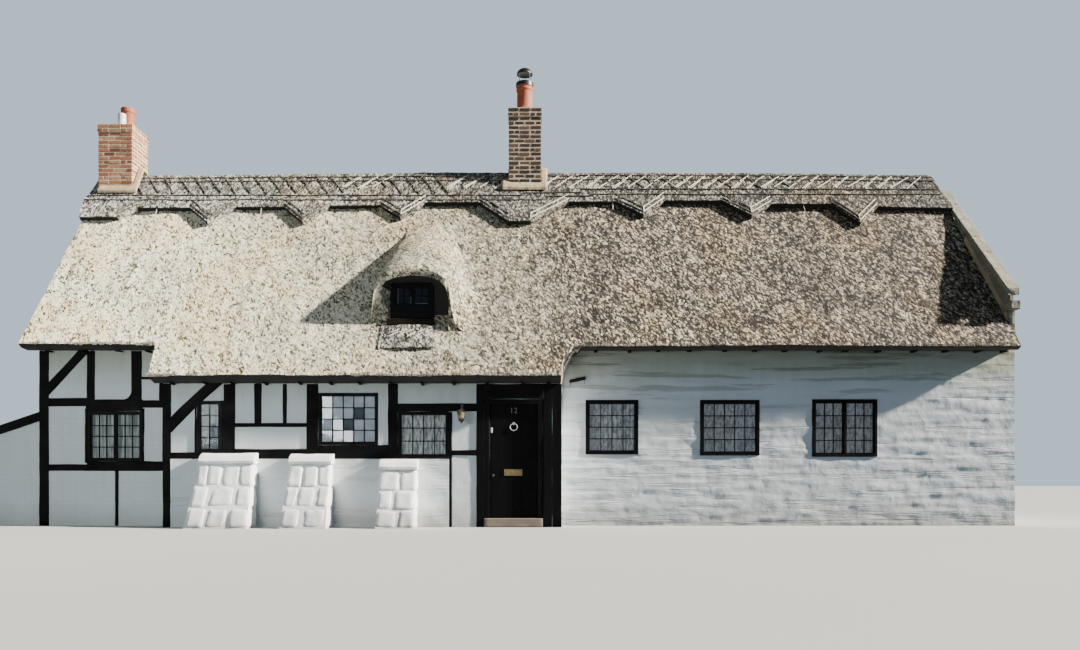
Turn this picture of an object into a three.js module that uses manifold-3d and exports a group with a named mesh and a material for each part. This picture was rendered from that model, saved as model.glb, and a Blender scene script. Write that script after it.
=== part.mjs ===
// Thatched cottage: a timber-framed and whitewashed stone house under one long thatched roof.
// Millimetres. +X runs along the front to the right, +Y away from the front, +Z up.
// The front of the small outshot is the plane Y = 0, and the ground is Z = 0.
import * as THREE from 'three';
import { mergeVertices } from 'three/addons/utils/BufferGeometryUtils.js';
import Module from 'manifold-3d';

const wasm = await Module();
wasm.setup();

// Joint between two pieces that touch
const GAP = 0.3;

// Plan of the house
const HOUSE_LEFT = -8760;
const HOUSE_RIGHT = 8310;
const HOUSE_FRONT = 500;
const HOUSE_REAR = 5800;
const BAY_RIGHT = -6390;
const OUTSHOT_FRONT = 0;
const OUTSHOT_RIGHT = 370;
const STONE_WALL = 450;
const FRAME_WALL = 300;
const STONE_LEFT = OUTSHOT_RIGHT - FRAME_WALL;
const BAY_INSIDE = HOUSE_FRONT + FRAME_WALL;
const STONE_INSIDE = HOUSE_FRONT + STONE_WALL;
const REAR_INSIDE = HOUSE_REAR - STONE_WALL;
const LEFT_INSIDE = HOUSE_LEFT + FRAME_WALL;
const RIGHT_INSIDE = HOUSE_RIGHT - STONE_WALL;

// Floors
const FLOOR_TOP = 150;
const ATTIC_FLOOR_BOTTOM = 2290;
const ATTIC_FLOOR_TOP = 2435;
const STAIR_HATCH = { x0: 1500, x1: 3500, depth: 900 };

// Roof
const PITCH = 1.258;
const RIDGE_Y = 3150;
const RIDGE_Z = 6850;
const THATCH_DEPTH = 450;
const THATCH_LEFT = -8960;
const THATCH_RIGHT = HOUSE_RIGHT - 180;
const THATCH_FOOT_RIGHT = 8244;
const EAVE_FRONT = 165;
const EAVE_OUTSHOT = -290;
const EAVE_REAR = 6150;
const OUTSHOT_THATCH_LEFT = -6560;
const OUTSHOT_THATCH_RIGHT = 360;
const EAVE_SWEEP = 340;
const EAVE_EDGE = 50;

// Block-cut ridge cap, humped towards its crest
const CAP_DEPTH = 185;
const CAP_CREST = 7075;
const CREST_HALF = 80;
const HUMP_REACH = 500;

// Its scalloped lower edge as [x, level reach from the ridge] points, with a tongue between each two dips
const CAP_EDGE = [
  [-8960, 925], [-8240, 920], [-7930, 640], [-6890, 640], [-6444, 930], [-5998, 630], [-5043, 620],
  [-4597, 930], [-4151, 605], [-3162, 585], [-2716, 840], [-2270, 550], [-1210, 535], [-607, 905],
  [-184, 905], [574, 540], [1507, 540], [2030, 790], [2470, 530], [3622, 530], [4140, 805],
  [4580, 580], [5761, 610], [6207, 960], [6653, 640], [8130, 695],
];

// Hooded dormer: front elevations of the swept hood and of its mouth as [x, z] points
const HOOD_FRONT = 300;
const HOOD_FOOT = 530;
const HOOD_LEAN = { z0: 3540, z1: 4420 };
const HOOD_BACK = 2600;
const HOOD_RISE = 0.604;
const HOOD_OUTLINE = [
  [-3020, 1500], [-3020, 3230], [-2930, 3430], [-2885, 3620], [-2882, 3900], [-2862, 4100], [-2800, 4265],
  [-2670, 4385], [-2450, 4465], [-2198, 4500], [-1950, 4480], [-1730, 4400], [-1560, 4260], [-1430, 4050],
  [-1310, 3820], [-1160, 3610], [-960, 3430], [-700, 3300], [-430, 3210], [-430, 1500],
];
const MOUTH_OUTLINE = [
  [-2640, 2000], [-2640, 3740], [-2725, 3920], [-2770, 4050], [-2742, 4165], [-2655, 4255], [-2480, 4315],
  [-2198, 4340], [-1910, 4315], [-1725, 4245], [-1625, 4125], [-1590, 3950], [-1590, 2000],
];
const APRON_PLAN = [
  [-2765, 20], [-1850, 20], [-1850, 450], [-2640 + GAP, 450], [-2640 + GAP, HOOD_FRONT - GAP],
  [-2765, HOOD_FRONT - GAP],
];
const APRON_DEPTH = 145;
const DORMER_WALL = 580;
const DORMER_WINDOW = { x0: -2620, x1: -1870, z0: 3650, z1: 4270 };

// Chimneys
const LEFT_STACK = { x0: -8860, x1: -8180, y0: 2800, y1: 3530, top: 7940 };
const CENTRE_STACK = { x0: -630, x1: 20, y0: 2850, y1: 3520, top: 8290 };
const CHIMNEY_CAP = 170;
const CHIMNEY_LIP = 28;
const FLAUNCHING_WIDTH = 130;
const FLAUNCHING_FRONT = 80;
const FLAUNCHING_DEPTH = 80;
const POT_HEIGHT = 580;

// Coping on the right gable
const COPING_PITCH = 1.04;
const COPING_APEX = 6710;
const COPING_DEPTH = 130;
const COPING_FRONT = 540;
const KNEELER = { y0: 400, y1: 750, z0: 3775, z1: 3940, out: 70 };

// Door and its frame
const DOORWAY_LEFT = -949;
const DOORWAY_RIGHT = 51;
const DOOR_FRAME = 90;
const DOOR_FRAME_TOP = 2170;
const DOOR_LEAF = { x0: -853, x1: -46, y0: 50, y1: 95, z0: 156, z1: 2073 };

// Windows: outer edges of each frame, left to right
const BAY_WINDOW = { name: 'window_bay', x0: -7905, x1: -6960, z0: 1130, z1: 2000, lights: 2 };
const OUTSHOT_WINDOWS = [
  { name: 'window_outshot_left', x0: -5810, x1: -5400, z0: 1270, z1: 2140, lights: 1 },
  { name: 'window_outshot_middle', x0: -3755, x1: -2745, z0: 1393, z1: 2275, lights: 1 },
  { name: 'window_outshot_right', x0: -2405, x1: -1545, z0: 1180, z1: 1960, lights: 1 },
];
const STONE_WINDOWS = [
  { name: 'window_front_left', x0: 800, x1: 1720, z0: 1250, z1: 2200, lights: 1 },
  { name: 'window_front_middle', x0: 2804, x1: 3841, z0: 1231, z1: 2200, lights: 1 },
  { name: 'window_front_right', x0: 4764, x1: 5901, z0: 1208, z1: 2212, lights: 2 },
];
const REAR_WINDOWS = [
  { name: 'window_rear_left', x0: -6200, x1: -5063, z0: 1208, z1: 2212, lights: 2 },
  { name: 'window_rear_middle', x0: -1900, x1: -863, z0: 1231, z1: 2200, lights: 1 },
  { name: 'window_rear_right', x0: 4764, x1: 5901, z0: 1208, z1: 2212, lights: 2 },
];
const WINDOW_DEPTH = 80;
const WINDOW_BAR = 62;
const WINDOW_PROUD = 10;
const GLASS = 5;

// Timber framing: how far it stands proud of the wall and how deep it is let in
const TIMBER_PROUD = 12;
const TIMBER_LET_IN = 120;
const PLINTH_TOP = 1156;
const PLINTH_LEFT = -6253;
const PLINTH_RIGHT = -1542;

// Raking buttresses against the plinth
const BUTTRESSES = [
  { name: 'buttress_left', x0: -5690, x1: -4770, top: 1250 },
  { name: 'buttress_middle', x0: -4190, x1: -3480, top: 1240 },
  { name: 'buttress_right', x0: -2680, x1: -2050, top: 1150 },
];
const BUTTRESS_FOOT = 600;
const BUTTRESS_HEAD = 230;

// Lean-to at the left end
const LEAN_TO = { x0: -10060, y0: 550, y1: 2500, wall: 220, eave: 1400, pitch: 0.34, roof: 160 };

// The origin is the middle of the whole outline at ground level
const OUTLINE_LEFT = LEAN_TO.x0 - 60;
const OUTLINE_RIGHT = HOUSE_RIGHT + KNEELER.out;
const OUTLINE_FRONT = -BUTTRESS_FOOT;
const CENTRE_X = (OUTLINE_LEFT + OUTLINE_RIGHT) / 2;
const CENTRE_Y = (OUTLINE_FRONT + EAVE_REAR) / 2;

// Colour, roughness and metalness of each finish
const FINISHES = {
  thatch: ['#9a9082', 0.95, 0],
  ridge_thatch: ['#7e776c', 0.95, 0],
  whitewash: ['#dfe0dc', 0.9, 0],
  black_timber: ['#17181a', 0.65, 0],
  black_joinery: ['#1a1c22', 0.5, 0],
  brick: ['#7d4334', 0.9, 0],
  mortar: ['#d6cbb0', 0.95, 0],
  terracotta: ['#a5654a', 0.85, 0],
  coping_stone: ['#8d8a78', 0.95, 0],
  floor_stone: ['#8e877a', 0.9, 0],
  floor_boards: ['#7a5c3e', 0.75, 0],
  glass: ['#9fb0b8', 0.08, 0],
  iron: ['#222326', 0.6, 0.6],
  brass: ['#b08a3c', 0.35, 0.9],
  zinc: ['#b9bcbd', 0.5, 0.7],
};

const cottage = new THREE.Group();

function addPiece(name, geometry, finish, position = [0, 0, 0], parent = cottage) {
  const [color, roughness, metalness] = FINISHES[finish];
  const mesh = new THREE.Mesh(geometry, new THREE.MeshStandardMaterial({ color, roughness, metalness }));
  mesh.name = name;
  mesh.position.set(...position);
  parent.add(mesh);
}

// Plain shapes

function block(x0, x1, y0, y1, z0, z1) {
  const geometry = new THREE.BoxGeometry(x1 - x0, y1 - y0, z1 - z0);
  return geometry.translate((x0 + x1) / 2, (y0 + y1) / 2, (z0 + z1) / 2);
}

function outline(points) {
  return new THREE.Shape(points.map(([a, b]) => new THREE.Vector2(a, b)));
}

// A prism over a plan outline of [x, y] points, or a ready shape
function planPrism(plan, z0, z1) {
  const shape = Array.isArray(plan) ? outline(plan) : plan;
  const geometry = new THREE.ExtrudeGeometry(shape, { depth: z1 - z0, bevelEnabled: false });
  return geometry.translate(0, 0, z0);
}

// A prism along the house from a cross-section of [y, z] points
function crossPrism(points, x0, x1) {
  const geometry = new THREE.ExtrudeGeometry(outline(points), { depth: x1 - x0, bevelEnabled: false });
  const turn = new THREE.Matrix4().makeBasis(
    new THREE.Vector3(0, 1, 0),
    new THREE.Vector3(0, 0, 1),
    new THREE.Vector3(1, 0, 0),
  );
  return geometry.applyMatrix4(turn).translate(x0, 0, 0);
}

// A prism from front to back from an elevation of [x, z] points
function frontPrism(points, y0, y1) {
  const geometry = new THREE.ExtrudeGeometry(outline(points), { depth: y1 - y0, bevelEnabled: false });
  const turn = new THREE.Matrix4().makeBasis(
    new THREE.Vector3(1, 0, 0),
    new THREE.Vector3(0, 0, 1),
    new THREE.Vector3(0, -1, 0),
  );
  return geometry.applyMatrix4(turn).translate(0, y1, 0);
}

// A body turned from a profile of [radius, height] points that starts and ends on the axis
function turned(profile, sides) {
  const points = profile.map(([r, z]) => new THREE.Vector2(r, z));
  return new THREE.LatheGeometry(points, sides).rotateX(Math.PI / 2);
}

// Joining and cutting

function solid(geometry) {
  const bare = geometry.clone();
  bare.deleteAttribute('normal');
  bare.deleteAttribute('uv');
  const merged = mergeVertices(bare, 0.001);
  return new wasm.Manifold(new wasm.Mesh({
    numProp: 3,
    vertProperties: new Float32Array(merged.attributes.position.array),
    triVerts: new Uint32Array(merged.index.array),
  }));
}

function surface(body) {
  const mesh = body.getMesh();
  const geometry = new THREE.BufferGeometry();
  geometry.setAttribute('position', new THREE.BufferAttribute(new Float32Array(mesh.vertProperties), 3));
  geometry.setIndex(new THREE.BufferAttribute(new Uint32Array(mesh.triVerts), 1));
  geometry.computeVertexNormals();
  return geometry;
}

function joined(geometries) {
  return geometries.map(solid).reduce((sum, body) => sum.add(body));
}

// The roof planes

const thatchTop = (y) => RIDGE_Z - PITCH * Math.abs(y - RIDGE_Y);
const thatchUnder = (y) => thatchTop(y) - THATCH_DEPTH;

// A layer that follows both slopes, from one height above the thatch to another
function roofLayer(low, high) {
  const front = -1500;
  const rear = 7500;
  return solid(crossPrism([
    [front, thatchTop(front) + low],
    [RIDGE_Y, RIDGE_Z + low],
    [rear, thatchTop(rear) + low],
    [rear, thatchTop(rear) + high],
    [RIDGE_Y, RIDGE_Z + high],
    [front, thatchTop(front) + high],
  ], -11000, 11000));
}

const aboveWalls = roofLayer(-THATCH_DEPTH - GAP, 12000);
const belowThatchTop = roofLayer(-12000, GAP);
const underRoof = (body) => body.subtract(aboveWalls);

function stackHole(stack, margin = GAP) {
  return solid(block(
    stack.x0 - margin, stack.x1 + margin, stack.y0 - margin, stack.y1 + margin, -10, stack.top + 1000,
  ));
}

// Windows

function windowHole(window, y0, y1) {
  return solid(block(window.x0 - GAP, window.x1 + GAP, y0, y1, window.z0 - GAP, window.z1 + GAP));
}

// A frame with one opening for each light, standing in the wall's face
function windowFrame(width, height, lights) {
  const body = solid(block(0, width, 0, WINDOW_DEPTH, 0, height));
  const lightWidth = (width - WINDOW_BAR * (lights + 1)) / lights;
  const holes = Array.from({ length: lights }, (_, i) => {
    const x0 = WINDOW_BAR + i * (lightWidth + WINDOW_BAR);
    return solid(block(x0, x0 + lightWidth, -10, WINDOW_DEPTH + 10, WINDOW_BAR, height - WINDOW_BAR));
  });
  return surface(holes.reduce((frame, hole) => frame.subtract(hole), body));
}

function addWindow({ name, x0, x1, z0, z1, lights }, y) {
  addPiece(name, windowFrame(x1 - x0, z1 - z0, lights), 'black_joinery', [x0, y, z0]);
}

// One sheet of glass inside a wall closes all of that wall's windows
function addGlass(name, windows, y) {
  const x0 = Math.min(...windows.map((w) => w.x0)) - 30;
  const x1 = Math.max(...windows.map((w) => w.x1)) + 30;
  const z0 = Math.min(...windows.map((w) => w.z0)) - 30;
  const z1 = Math.min(Math.max(...windows.map((w) => w.z1)) + 30, ATTIC_FLOOR_BOTTOM - GAP);
  addPiece(name, new THREE.BoxGeometry(x1 - x0, GLASS, z1 - z0), 'glass', [(x0 + x1) / 2, y, (z0 + z1) / 2]);
}

// Timber framing

// An upright or level timber given by its face: [x0, x1, z0, z1]
function timber([x0, x1, z0, z1], face, grow) {
  return block(
    x0 - grow, x1 + grow, face - TIMBER_PROUD - grow, face + TIMBER_LET_IN + grow, z0 - grow, z1 + grow,
  );
}

// A sloping timber between two points of its centre line
function brace({ from, to, width }, face, grow) {
  const dx = to[0] - from[0];
  const dz = to[1] - from[1];
  const length = Math.hypot(dx, dz);
  const depth = TIMBER_PROUD + TIMBER_LET_IN;
  const geometry = new THREE.BoxGeometry(length + 2 * grow, depth + 2 * grow, width + 2 * grow);
  geometry.rotateY(-Math.atan2(dz, dx));
  const middle = [(from[0] + to[0]) / 2, face + (TIMBER_LET_IN - TIMBER_PROUD) / 2, (from[1] + to[1]) / 2];
  return geometry.translate(...middle);
}

function timberFrame({ timbers, braces, face, windows }, grow) {
  const straight = timbers.map((edges) => timber(edges, face, grow));
  const sloping = braces.map((bar) => brace(bar, face, grow));
  const body = joined([...straight, ...sloping]);
  return windows.reduce((frame, w) => frame.subtract(windowHole(w, face - 100, face + 400)), body);
}

const BAY_FRAME = {
  face: HOUSE_FRONT,
  windows: [BAY_WINDOW],
  timbers: [
    [HOUSE_LEFT, -8593, 0, 3200],
    [-7928, -7788, 2150, 3200],
    [-7151, -6972, 2150, 3200],
    [-6680, -6600, 1080, 3200],
    [-8600, -7900, 2086, 2235],
    [-7950, -6950, 1955, 2209],
    [-6990, BAY_RIGHT - 20, 2060, 2200],
    [-6990, -6590, 2560, 2600],
    [-8600, -7905, 958, 1080],
    [-7930, -6590, 958, 1130 + 20],
    [-7431, -7375, 300, 970],
  ],
  braces: [{ from: [-8660, 2340], to: [-7990, 3100], width: 160 }],
};

const OUTSHOT_FRAME = {
  face: OUTSHOT_FRONT,
  windows: OUTSHOT_WINDOWS,
  timbers: [
    [BAY_RIGHT + 2, PLINTH_LEFT, 0, 2700],
    [-5363, -5163, 1300, 2700],
    [-4838, -4719, 1300, 2700],
    [-4355, -4295, 1300, 2700],
    [-3956, -3779, 1300, 2700],
    [-2565, -2435, PLINTH_TOP + GAP, 2700],
    [-1078, DOORWAY_LEFT - GAP, 0, 2700],
    [-6260, -2560, PLINTH_TOP + GAP, 1325],
    [-2440, -1500, PLINTH_TOP + GAP, 1240],
    [-5170, -3950, 1698, 1766],
    [-2570, -1070, 1918, 2096],
    [-1600, -1070, 1213, 1308],
    [PLINTH_RIGHT, -1491, 0, 1260],
  ],
  braces: [{ from: [-6310, 1665], to: [-5440, 2500], width: 190 }],
};

function addFloors() {
  const groundPlan = [
    [LEFT_INSIDE, BAY_INSIDE], [BAY_RIGHT + FRAME_WALL, BAY_INSIDE], [BAY_RIGHT + FRAME_WALL, FRAME_WALL],
    [DOORWAY_LEFT, FRAME_WALL], [DOORWAY_LEFT, OUTSHOT_FRONT], [DOORWAY_RIGHT, OUTSHOT_FRONT],
    [DOORWAY_RIGHT, STONE_INSIDE], [RIGHT_INSIDE, STONE_INSIDE],
    [RIGHT_INSIDE, REAR_INSIDE], [LEFT_INSIDE, REAR_INSIDE],
  ];
  const shrink = (value, middle) => value + Math.sign(middle - value) * GAP;
  const inner = groundPlan.map(([x, y]) => [shrink(x, CENTRE_X), shrink(y, RIDGE_Y)]);
  const ground = solid(planPrism(inner, 0, FLOOR_TOP)).subtract(stackHole(LEFT_STACK));
  addPiece('ground_floor', surface(ground), 'floor_stone');

  const hatch = solid(block(
    STAIR_HATCH.x0, STAIR_HATCH.x1, REAR_INSIDE - STAIR_HATCH.depth, REAR_INSIDE + 100,
    ATTIC_FLOOR_BOTTOM - 100, ATTIC_FLOOR_TOP + 100,
  ));
  const atticPlan = [
    [LEFT_INSIDE, BAY_INSIDE], [BAY_RIGHT + FRAME_WALL, BAY_INSIDE], [BAY_RIGHT + FRAME_WALL, FRAME_WALL],
    [STONE_LEFT, FRAME_WALL], [STONE_LEFT, STONE_INSIDE], [RIGHT_INSIDE, STONE_INSIDE],
    [RIGHT_INSIDE, REAR_INSIDE], [LEFT_INSIDE, REAR_INSIDE],
  ];
  const boards = atticPlan.map(([x, y]) => [shrink(x, CENTRE_X), shrink(y, RIDGE_Y)]);
  const attic = solid(planPrism(boards, ATTIC_FLOOR_BOTTOM, ATTIC_FLOOR_TOP))
    .subtract(stackHole(LEFT_STACK))
    .subtract(stackHole(CENTRE_STACK))
    .subtract(hatch);
  addPiece('attic_floor', surface(attic), 'floor_boards');
}

function addBay() {
  const wall = solid(block(HOUSE_LEFT, BAY_RIGHT - GAP, HOUSE_FRONT, BAY_INSIDE, 0, 4000))
    .subtract(windowHole(BAY_WINDOW, 0, 2000))
    .subtract(timberFrame(BAY_FRAME, GAP));
  addPiece('bay_wall', surface(underRoof(wall)), 'whitewash');
  const frame = underRoof(timberFrame(BAY_FRAME, 0));
  addPiece('bay_timber_frame', surface(frame), 'black_timber');
  addWindow(BAY_WINDOW, HOUSE_FRONT - WINDOW_PROUD);
  addGlass('bay_glass', [BAY_WINDOW], BAY_INSIDE + GLASS);
}

function addOutshot() {
  const plinth = block(PLINTH_LEFT + GAP, PLINTH_RIGHT - GAP, OUTSHOT_FRONT - 30, FRAME_WALL, 0, PLINTH_TOP);
  addPiece('outshot_plinth', plinth, 'whitewash');
  const plinthRoom = solid(block(PLINTH_LEFT, PLINTH_RIGHT, -100, FRAME_WALL + 100, -10, PLINTH_TOP + GAP));
  const wall = OUTSHOT_WINDOWS.reduce(
    (body, w) => body.subtract(windowHole(w, -500, 1000)),
    solid(block(BAY_RIGHT, DOORWAY_LEFT - GAP, OUTSHOT_FRONT, FRAME_WALL, 0, 4000)).subtract(plinthRoom),
  ).subtract(timberFrame(OUTSHOT_FRAME, GAP));
  addPiece('outshot_wall', surface(underRoof(wall)), 'whitewash');
  const frame = underRoof(timberFrame(OUTSHOT_FRAME, 0));
  addPiece('outshot_timber_frame', surface(frame), 'black_timber');
  OUTSHOT_WINDOWS.forEach((w) => addWindow(w, OUTSHOT_FRONT - WINDOW_PROUD));
  addGlass('outshot_glass', OUTSHOT_WINDOWS, FRAME_WALL + GLASS);

  const leftReturn = solid(block(BAY_RIGHT, BAY_RIGHT + FRAME_WALL, FRAME_WALL + GAP, BAY_INSIDE, 0, 4000));
  addPiece('outshot_left_return', surface(underRoof(leftReturn)), 'whitewash');
  const rightReturn = solid(block(STONE_LEFT, OUTSHOT_RIGHT, OUTSHOT_FRONT, HOUSE_FRONT - GAP, 0, 4000));
  addPiece('outshot_right_return', surface(underRoof(rightReturn)), 'whitewash');
}

function addDoor() {
  const overDoor = solid(block(
    DOORWAY_LEFT + GAP, STONE_LEFT - GAP, OUTSHOT_FRONT, FRAME_WALL, DOOR_FRAME_TOP + GAP, 4000,
  ));
  addPiece('wall_over_door', surface(underRoof(overDoor)), 'whitewash');

  const width = DOORWAY_RIGHT - DOORWAY_LEFT - 2 * GAP;
  const height = DOOR_FRAME_TOP - FLOOR_TOP - GAP;
  const depth = 120;
  const opening = solid(block(DOOR_FRAME, width - DOOR_FRAME, -10, depth + 10, -10, height - DOOR_FRAME));
  const frame = solid(block(0, width, 0, depth, 0, height)).subtract(opening);
  addPiece('door_frame', surface(frame), 'black_joinery', [DOORWAY_LEFT + GAP, -TIMBER_PROUD, FLOOR_TOP + GAP]);

  const leaf = new THREE.Group();
  leaf.position.set(DOOR_LEAF.x0, DOOR_LEAF.y0, DOOR_LEAF.z0);
  cottage.add(leaf);
  const { x0, x1, y0, y1, z0, z1 } = DOOR_LEAF;
  const parts = [
    ['door_leaf', block(0, x1 - x0, 0, y1 - y0, 0, z1 - z0), 'black_timber', [0, 0, 0]],
    ['door_knob', doorKnob(), 'iron', [55, -GAP, 720]],
    ['letterbox', block(0, 310, -8, 0, 0, 110), 'brass', [243, -GAP, 717]],
    ['door_knocker', doorKnocker(), 'iron', [406, -GAP, 1560]],
  ];
  for (const [name, geometry, finish, position] of parts) {
    addPiece(name, geometry, finish, position, leaf);
  }
}

// A round knob on a short stem, pointing out of the door
function doorKnob() {
  const profile = [[0, 0], [26, 0], [26, 5], [9, 9], [9, 22], [24, 30], [26, 40], [18, 50], [0, 53]];
  return turned(profile, 16).rotateX(Math.PI / 2);
}

// A ring hung from a small round plate
function doorKnocker() {
  const plate = turned([[0, 0], [24, 0], [22, 12], [0, 14]], 12).rotateX(Math.PI / 2);
  const ring = new THREE.TorusGeometry(60, 8, 6, 20).rotateX(Math.PI / 2).translate(0, -9, -52);
  return surface(joined([plate, ring]));
}

function addButtresses() {
  const wallFace = OUTSHOT_FRONT - 30 - GAP;
  for (const { name, x0, x1, top } of BUTTRESSES) {
    const shoulder = top - 180;
    const profile = [
      [0, 0], [-BUTTRESS_FOOT - wallFace, 0], [-BUTTRESS_HEAD, shoulder], [-BUTTRESS_HEAD - 30, shoulder],
      [-BUTTRESS_HEAD - 30, shoulder + 60], [-BUTTRESS_HEAD + 30, top - 40], [-60, top], [0, top],
    ];
    addPiece(name, crossPrism(profile, 0, x1 - x0), 'whitewash', [x0, wallFace, 0]);
  }
}

function addLantern() {
  const body = turned([
    [0, 0], [38, 10], [40, 28], [52, 40], [76, 190], [82, 196], [60, 214], [22, 238], [8, 246], [8, 300], [0, 300],
  ], 4).rotateZ(Math.PI / 4);
  const arm = block(-8, 8, -10, 200 - TIMBER_PROUD - GAP, 292, 308);
  const plate = block(-22, 22, 180, 200 - TIMBER_PROUD - GAP, 230, 340);
  addPiece('lantern', surface(joined([body, arm, plate])), 'iron', [-1313, -200, 1745]);
}

function addStoneWall() {
  const raw = solid(block(STONE_LEFT, HOUSE_RIGHT, HOUSE_FRONT, STONE_INSIDE, 0, 4500));
  const wall = STONE_WINDOWS.reduce((body, w) => body.subtract(windowHole(w, 0, 2000)), raw);
  addPiece('stone_wall', surface(underRoof(wall)), 'whitewash');
  STONE_WINDOWS.forEach((w) => addWindow(w, HOUSE_FRONT - WINDOW_PROUD));
  addGlass('stone_wall_glass', STONE_WINDOWS, STONE_INSIDE + GLASS);

  const bar = turned([
    [0, 0], [14, 4], [20, 60], [30, 145], [20, 230], [14, 286], [0, 290],
  ], 10).rotateY(Math.PI / 2);
  addPiece('swingletree_bar', bar, 'black_timber', [508, HOUSE_FRONT - 30 - GAP, 2545]);
}

function addRearWall() {
  const raw = solid(block(HOUSE_LEFT, HOUSE_RIGHT, REAR_INSIDE, HOUSE_REAR, 0, 4500));
  const wall = REAR_WINDOWS.reduce((body, w) => body.subtract(windowHole(w, 5000, 7000)), raw);
  addPiece('rear_wall', surface(underRoof(wall)), 'whitewash');
  REAR_WINDOWS.forEach((w) => addWindow(w, HOUSE_REAR + WINDOW_PROUD - WINDOW_DEPTH));
  addGlass('rear_wall_glass', REAR_WINDOWS, REAR_INSIDE - GLASS);
}

function addGables() {
  const frontHalf = solid(block(
    HOUSE_LEFT, LEFT_INSIDE, BAY_INSIDE + GAP, LEFT_STACK.y0 - GAP, 0, RIDGE_Z,
  ));
  addPiece('left_gable_front', surface(underRoof(frontHalf)), 'whitewash');
  const rearHalf = solid(block(
    HOUSE_LEFT, LEFT_INSIDE, LEFT_STACK.y1 + GAP, REAR_INSIDE - GAP, 0, RIDGE_Z,
  ));
  addPiece('left_gable_rear', surface(underRoof(rearHalf)), 'whitewash');

  const copingUnder = (y) => COPING_APEX - COPING_DEPTH - COPING_PITCH * Math.abs(y - RIDGE_Y) - GAP;
  const mirrored = (y) => 2 * RIDGE_Y - y;
  const raw = solid(crossPrism([
    [HOUSE_FRONT, 0], [HOUSE_REAR, 0], [HOUSE_REAR, KNEELER.z0 - GAP],
    [mirrored(KNEELER.y1) - GAP, KNEELER.z0 - GAP], [mirrored(KNEELER.y1) - GAP, copingUnder(KNEELER.y1)],
    [RIDGE_Y, copingUnder(RIDGE_Y)], [KNEELER.y1 + GAP, copingUnder(KNEELER.y1)],
    [KNEELER.y1 + GAP, KNEELER.z0 - GAP], [HOUSE_FRONT, KNEELER.z0 - GAP],
  ], RIGHT_INSIDE, HOUSE_RIGHT));
  const underThatch = aboveWalls.intersect(
    solid(block(-9000, THATCH_RIGHT + GAP, -1000, 8000, 0, 9000)),
  );
  const wallRoom = (y0, y1) => solid(block(0, 9000, y0, y1, -10, 4500))
    .subtract(roofLayer(-THATCH_DEPTH, 12000));
  const gable = raw
    .subtract(underThatch)
    .subtract(wallRoom(0, STONE_INSIDE + GAP))
    .subtract(wallRoom(REAR_INSIDE - GAP, 8000));
  addPiece('right_gable_wall', surface(gable), 'whitewash');
}

function addCoping() {
  const top = (y) => COPING_APEX - COPING_PITCH * (RIDGE_Y - y);
  const slab = solid(crossPrism([
    [COPING_FRONT, top(COPING_FRONT)], [COPING_FRONT, KNEELER.z1 + 20], [COPING_FRONT + 30, KNEELER.z0],
    [KNEELER.y1, KNEELER.z0], [KNEELER.y1, top(KNEELER.y1) - COPING_DEPTH],
    [RIDGE_Y - GAP, COPING_APEX - COPING_DEPTH], [RIDGE_Y - GAP, COPING_APEX],
  ], THATCH_RIGHT + 2 * GAP, HOUSE_RIGHT + 20));
  const kneeler = solid(block(
    THATCH_RIGHT + 2 * GAP, HOUSE_RIGHT + KNEELER.out, KNEELER.y0, KNEELER.y1, KNEELER.z0, KNEELER.z1,
  ));
  const front = slab.add(kneeler);
  addPiece('coping_front', surface(front), 'coping_stone');
  const turn = new THREE.Matrix4().makeScale(1, -1, 1).setPosition(0, 2 * RIDGE_Y, 0);
  const rear = front.transform(turn.elements);
  addPiece('coping_rear', surface(rear), 'coping_stone');
}

// The plan of the front thatch, with the eave swept up where the outshot roof ends
function frontThatchPlan() {
  const corner = OUTSHOT_THATCH_RIGHT + EAVE_SWEEP;
  const shape = new THREE.Shape();
  shape.moveTo(THATCH_LEFT, EAVE_FRONT);
  shape.lineTo(OUTSHOT_THATCH_LEFT - 40, EAVE_FRONT);
  shape.lineTo(OUTSHOT_THATCH_LEFT + 30, EAVE_OUTSHOT);
  shape.lineTo(OUTSHOT_THATCH_RIGHT, EAVE_OUTSHOT);
  shape.absarc(corner, EAVE_FRONT - EAVE_SWEEP, EAVE_SWEEP, Math.PI, Math.PI / 2, true);
  shape.lineTo(THATCH_FOOT_RIGHT, EAVE_FRONT);
  shape.lineTo(THATCH_FOOT_RIGHT, HOUSE_FRONT - GAP);
  shape.lineTo(THATCH_RIGHT, HOUSE_FRONT - GAP);
  shape.lineTo(THATCH_RIGHT, RIDGE_Y - GAP / 2);
  shape.lineTo(THATCH_LEFT, RIDGE_Y - GAP / 2);
  return shape;
}

// What is cut away under an eave: from the drip edge back to the wall face, over one run of the house
function soffit(edgeY, wallY, x0, x1) {
  const away = Math.sign(edgeY - wallY);
  return solid(crossPrism([
    [edgeY + away * 500, 0], [wallY, 0], [wallY, thatchUnder(wallY) - GAP],
    [edgeY, thatchTop(edgeY) - EAVE_EDGE], [edgeY + away * 500, thatchTop(edgeY) - EAVE_EDGE],
  ], x0, x1));
}

// The hood rises to the back less steeply than the roof, so the roof swallows it; its front leans back
function dormerHood() {
  const lift = -HOOD_RISE * HOOD_FRONT;
  const rise = new THREE.Matrix4().set(1, 0, 0, 0, 0, 1, 0, 0, 0, HOOD_RISE, 1, lift, 0, 0, 0, 1);
  const outer = frontPrism(HOOD_OUTLINE, HOOD_FRONT, HOOD_BACK).applyMatrix4(rise);
  const mouth = frontPrism(MOUTH_OUTLINE, 0, DORMER_WALL);
  const lean = solid(crossPrism([
    [0, 1500], [HOOD_FOOT, 1500], [HOOD_FOOT, HOOD_LEAN.z0], [HOOD_FRONT, HOOD_LEAN.z1], [0, HOOD_LEAN.z1],
  ], -4000, 0));
  return solid(outer).subtract(solid(mouth)).subtract(lean).subtract(belowThatchTop);
}

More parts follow.
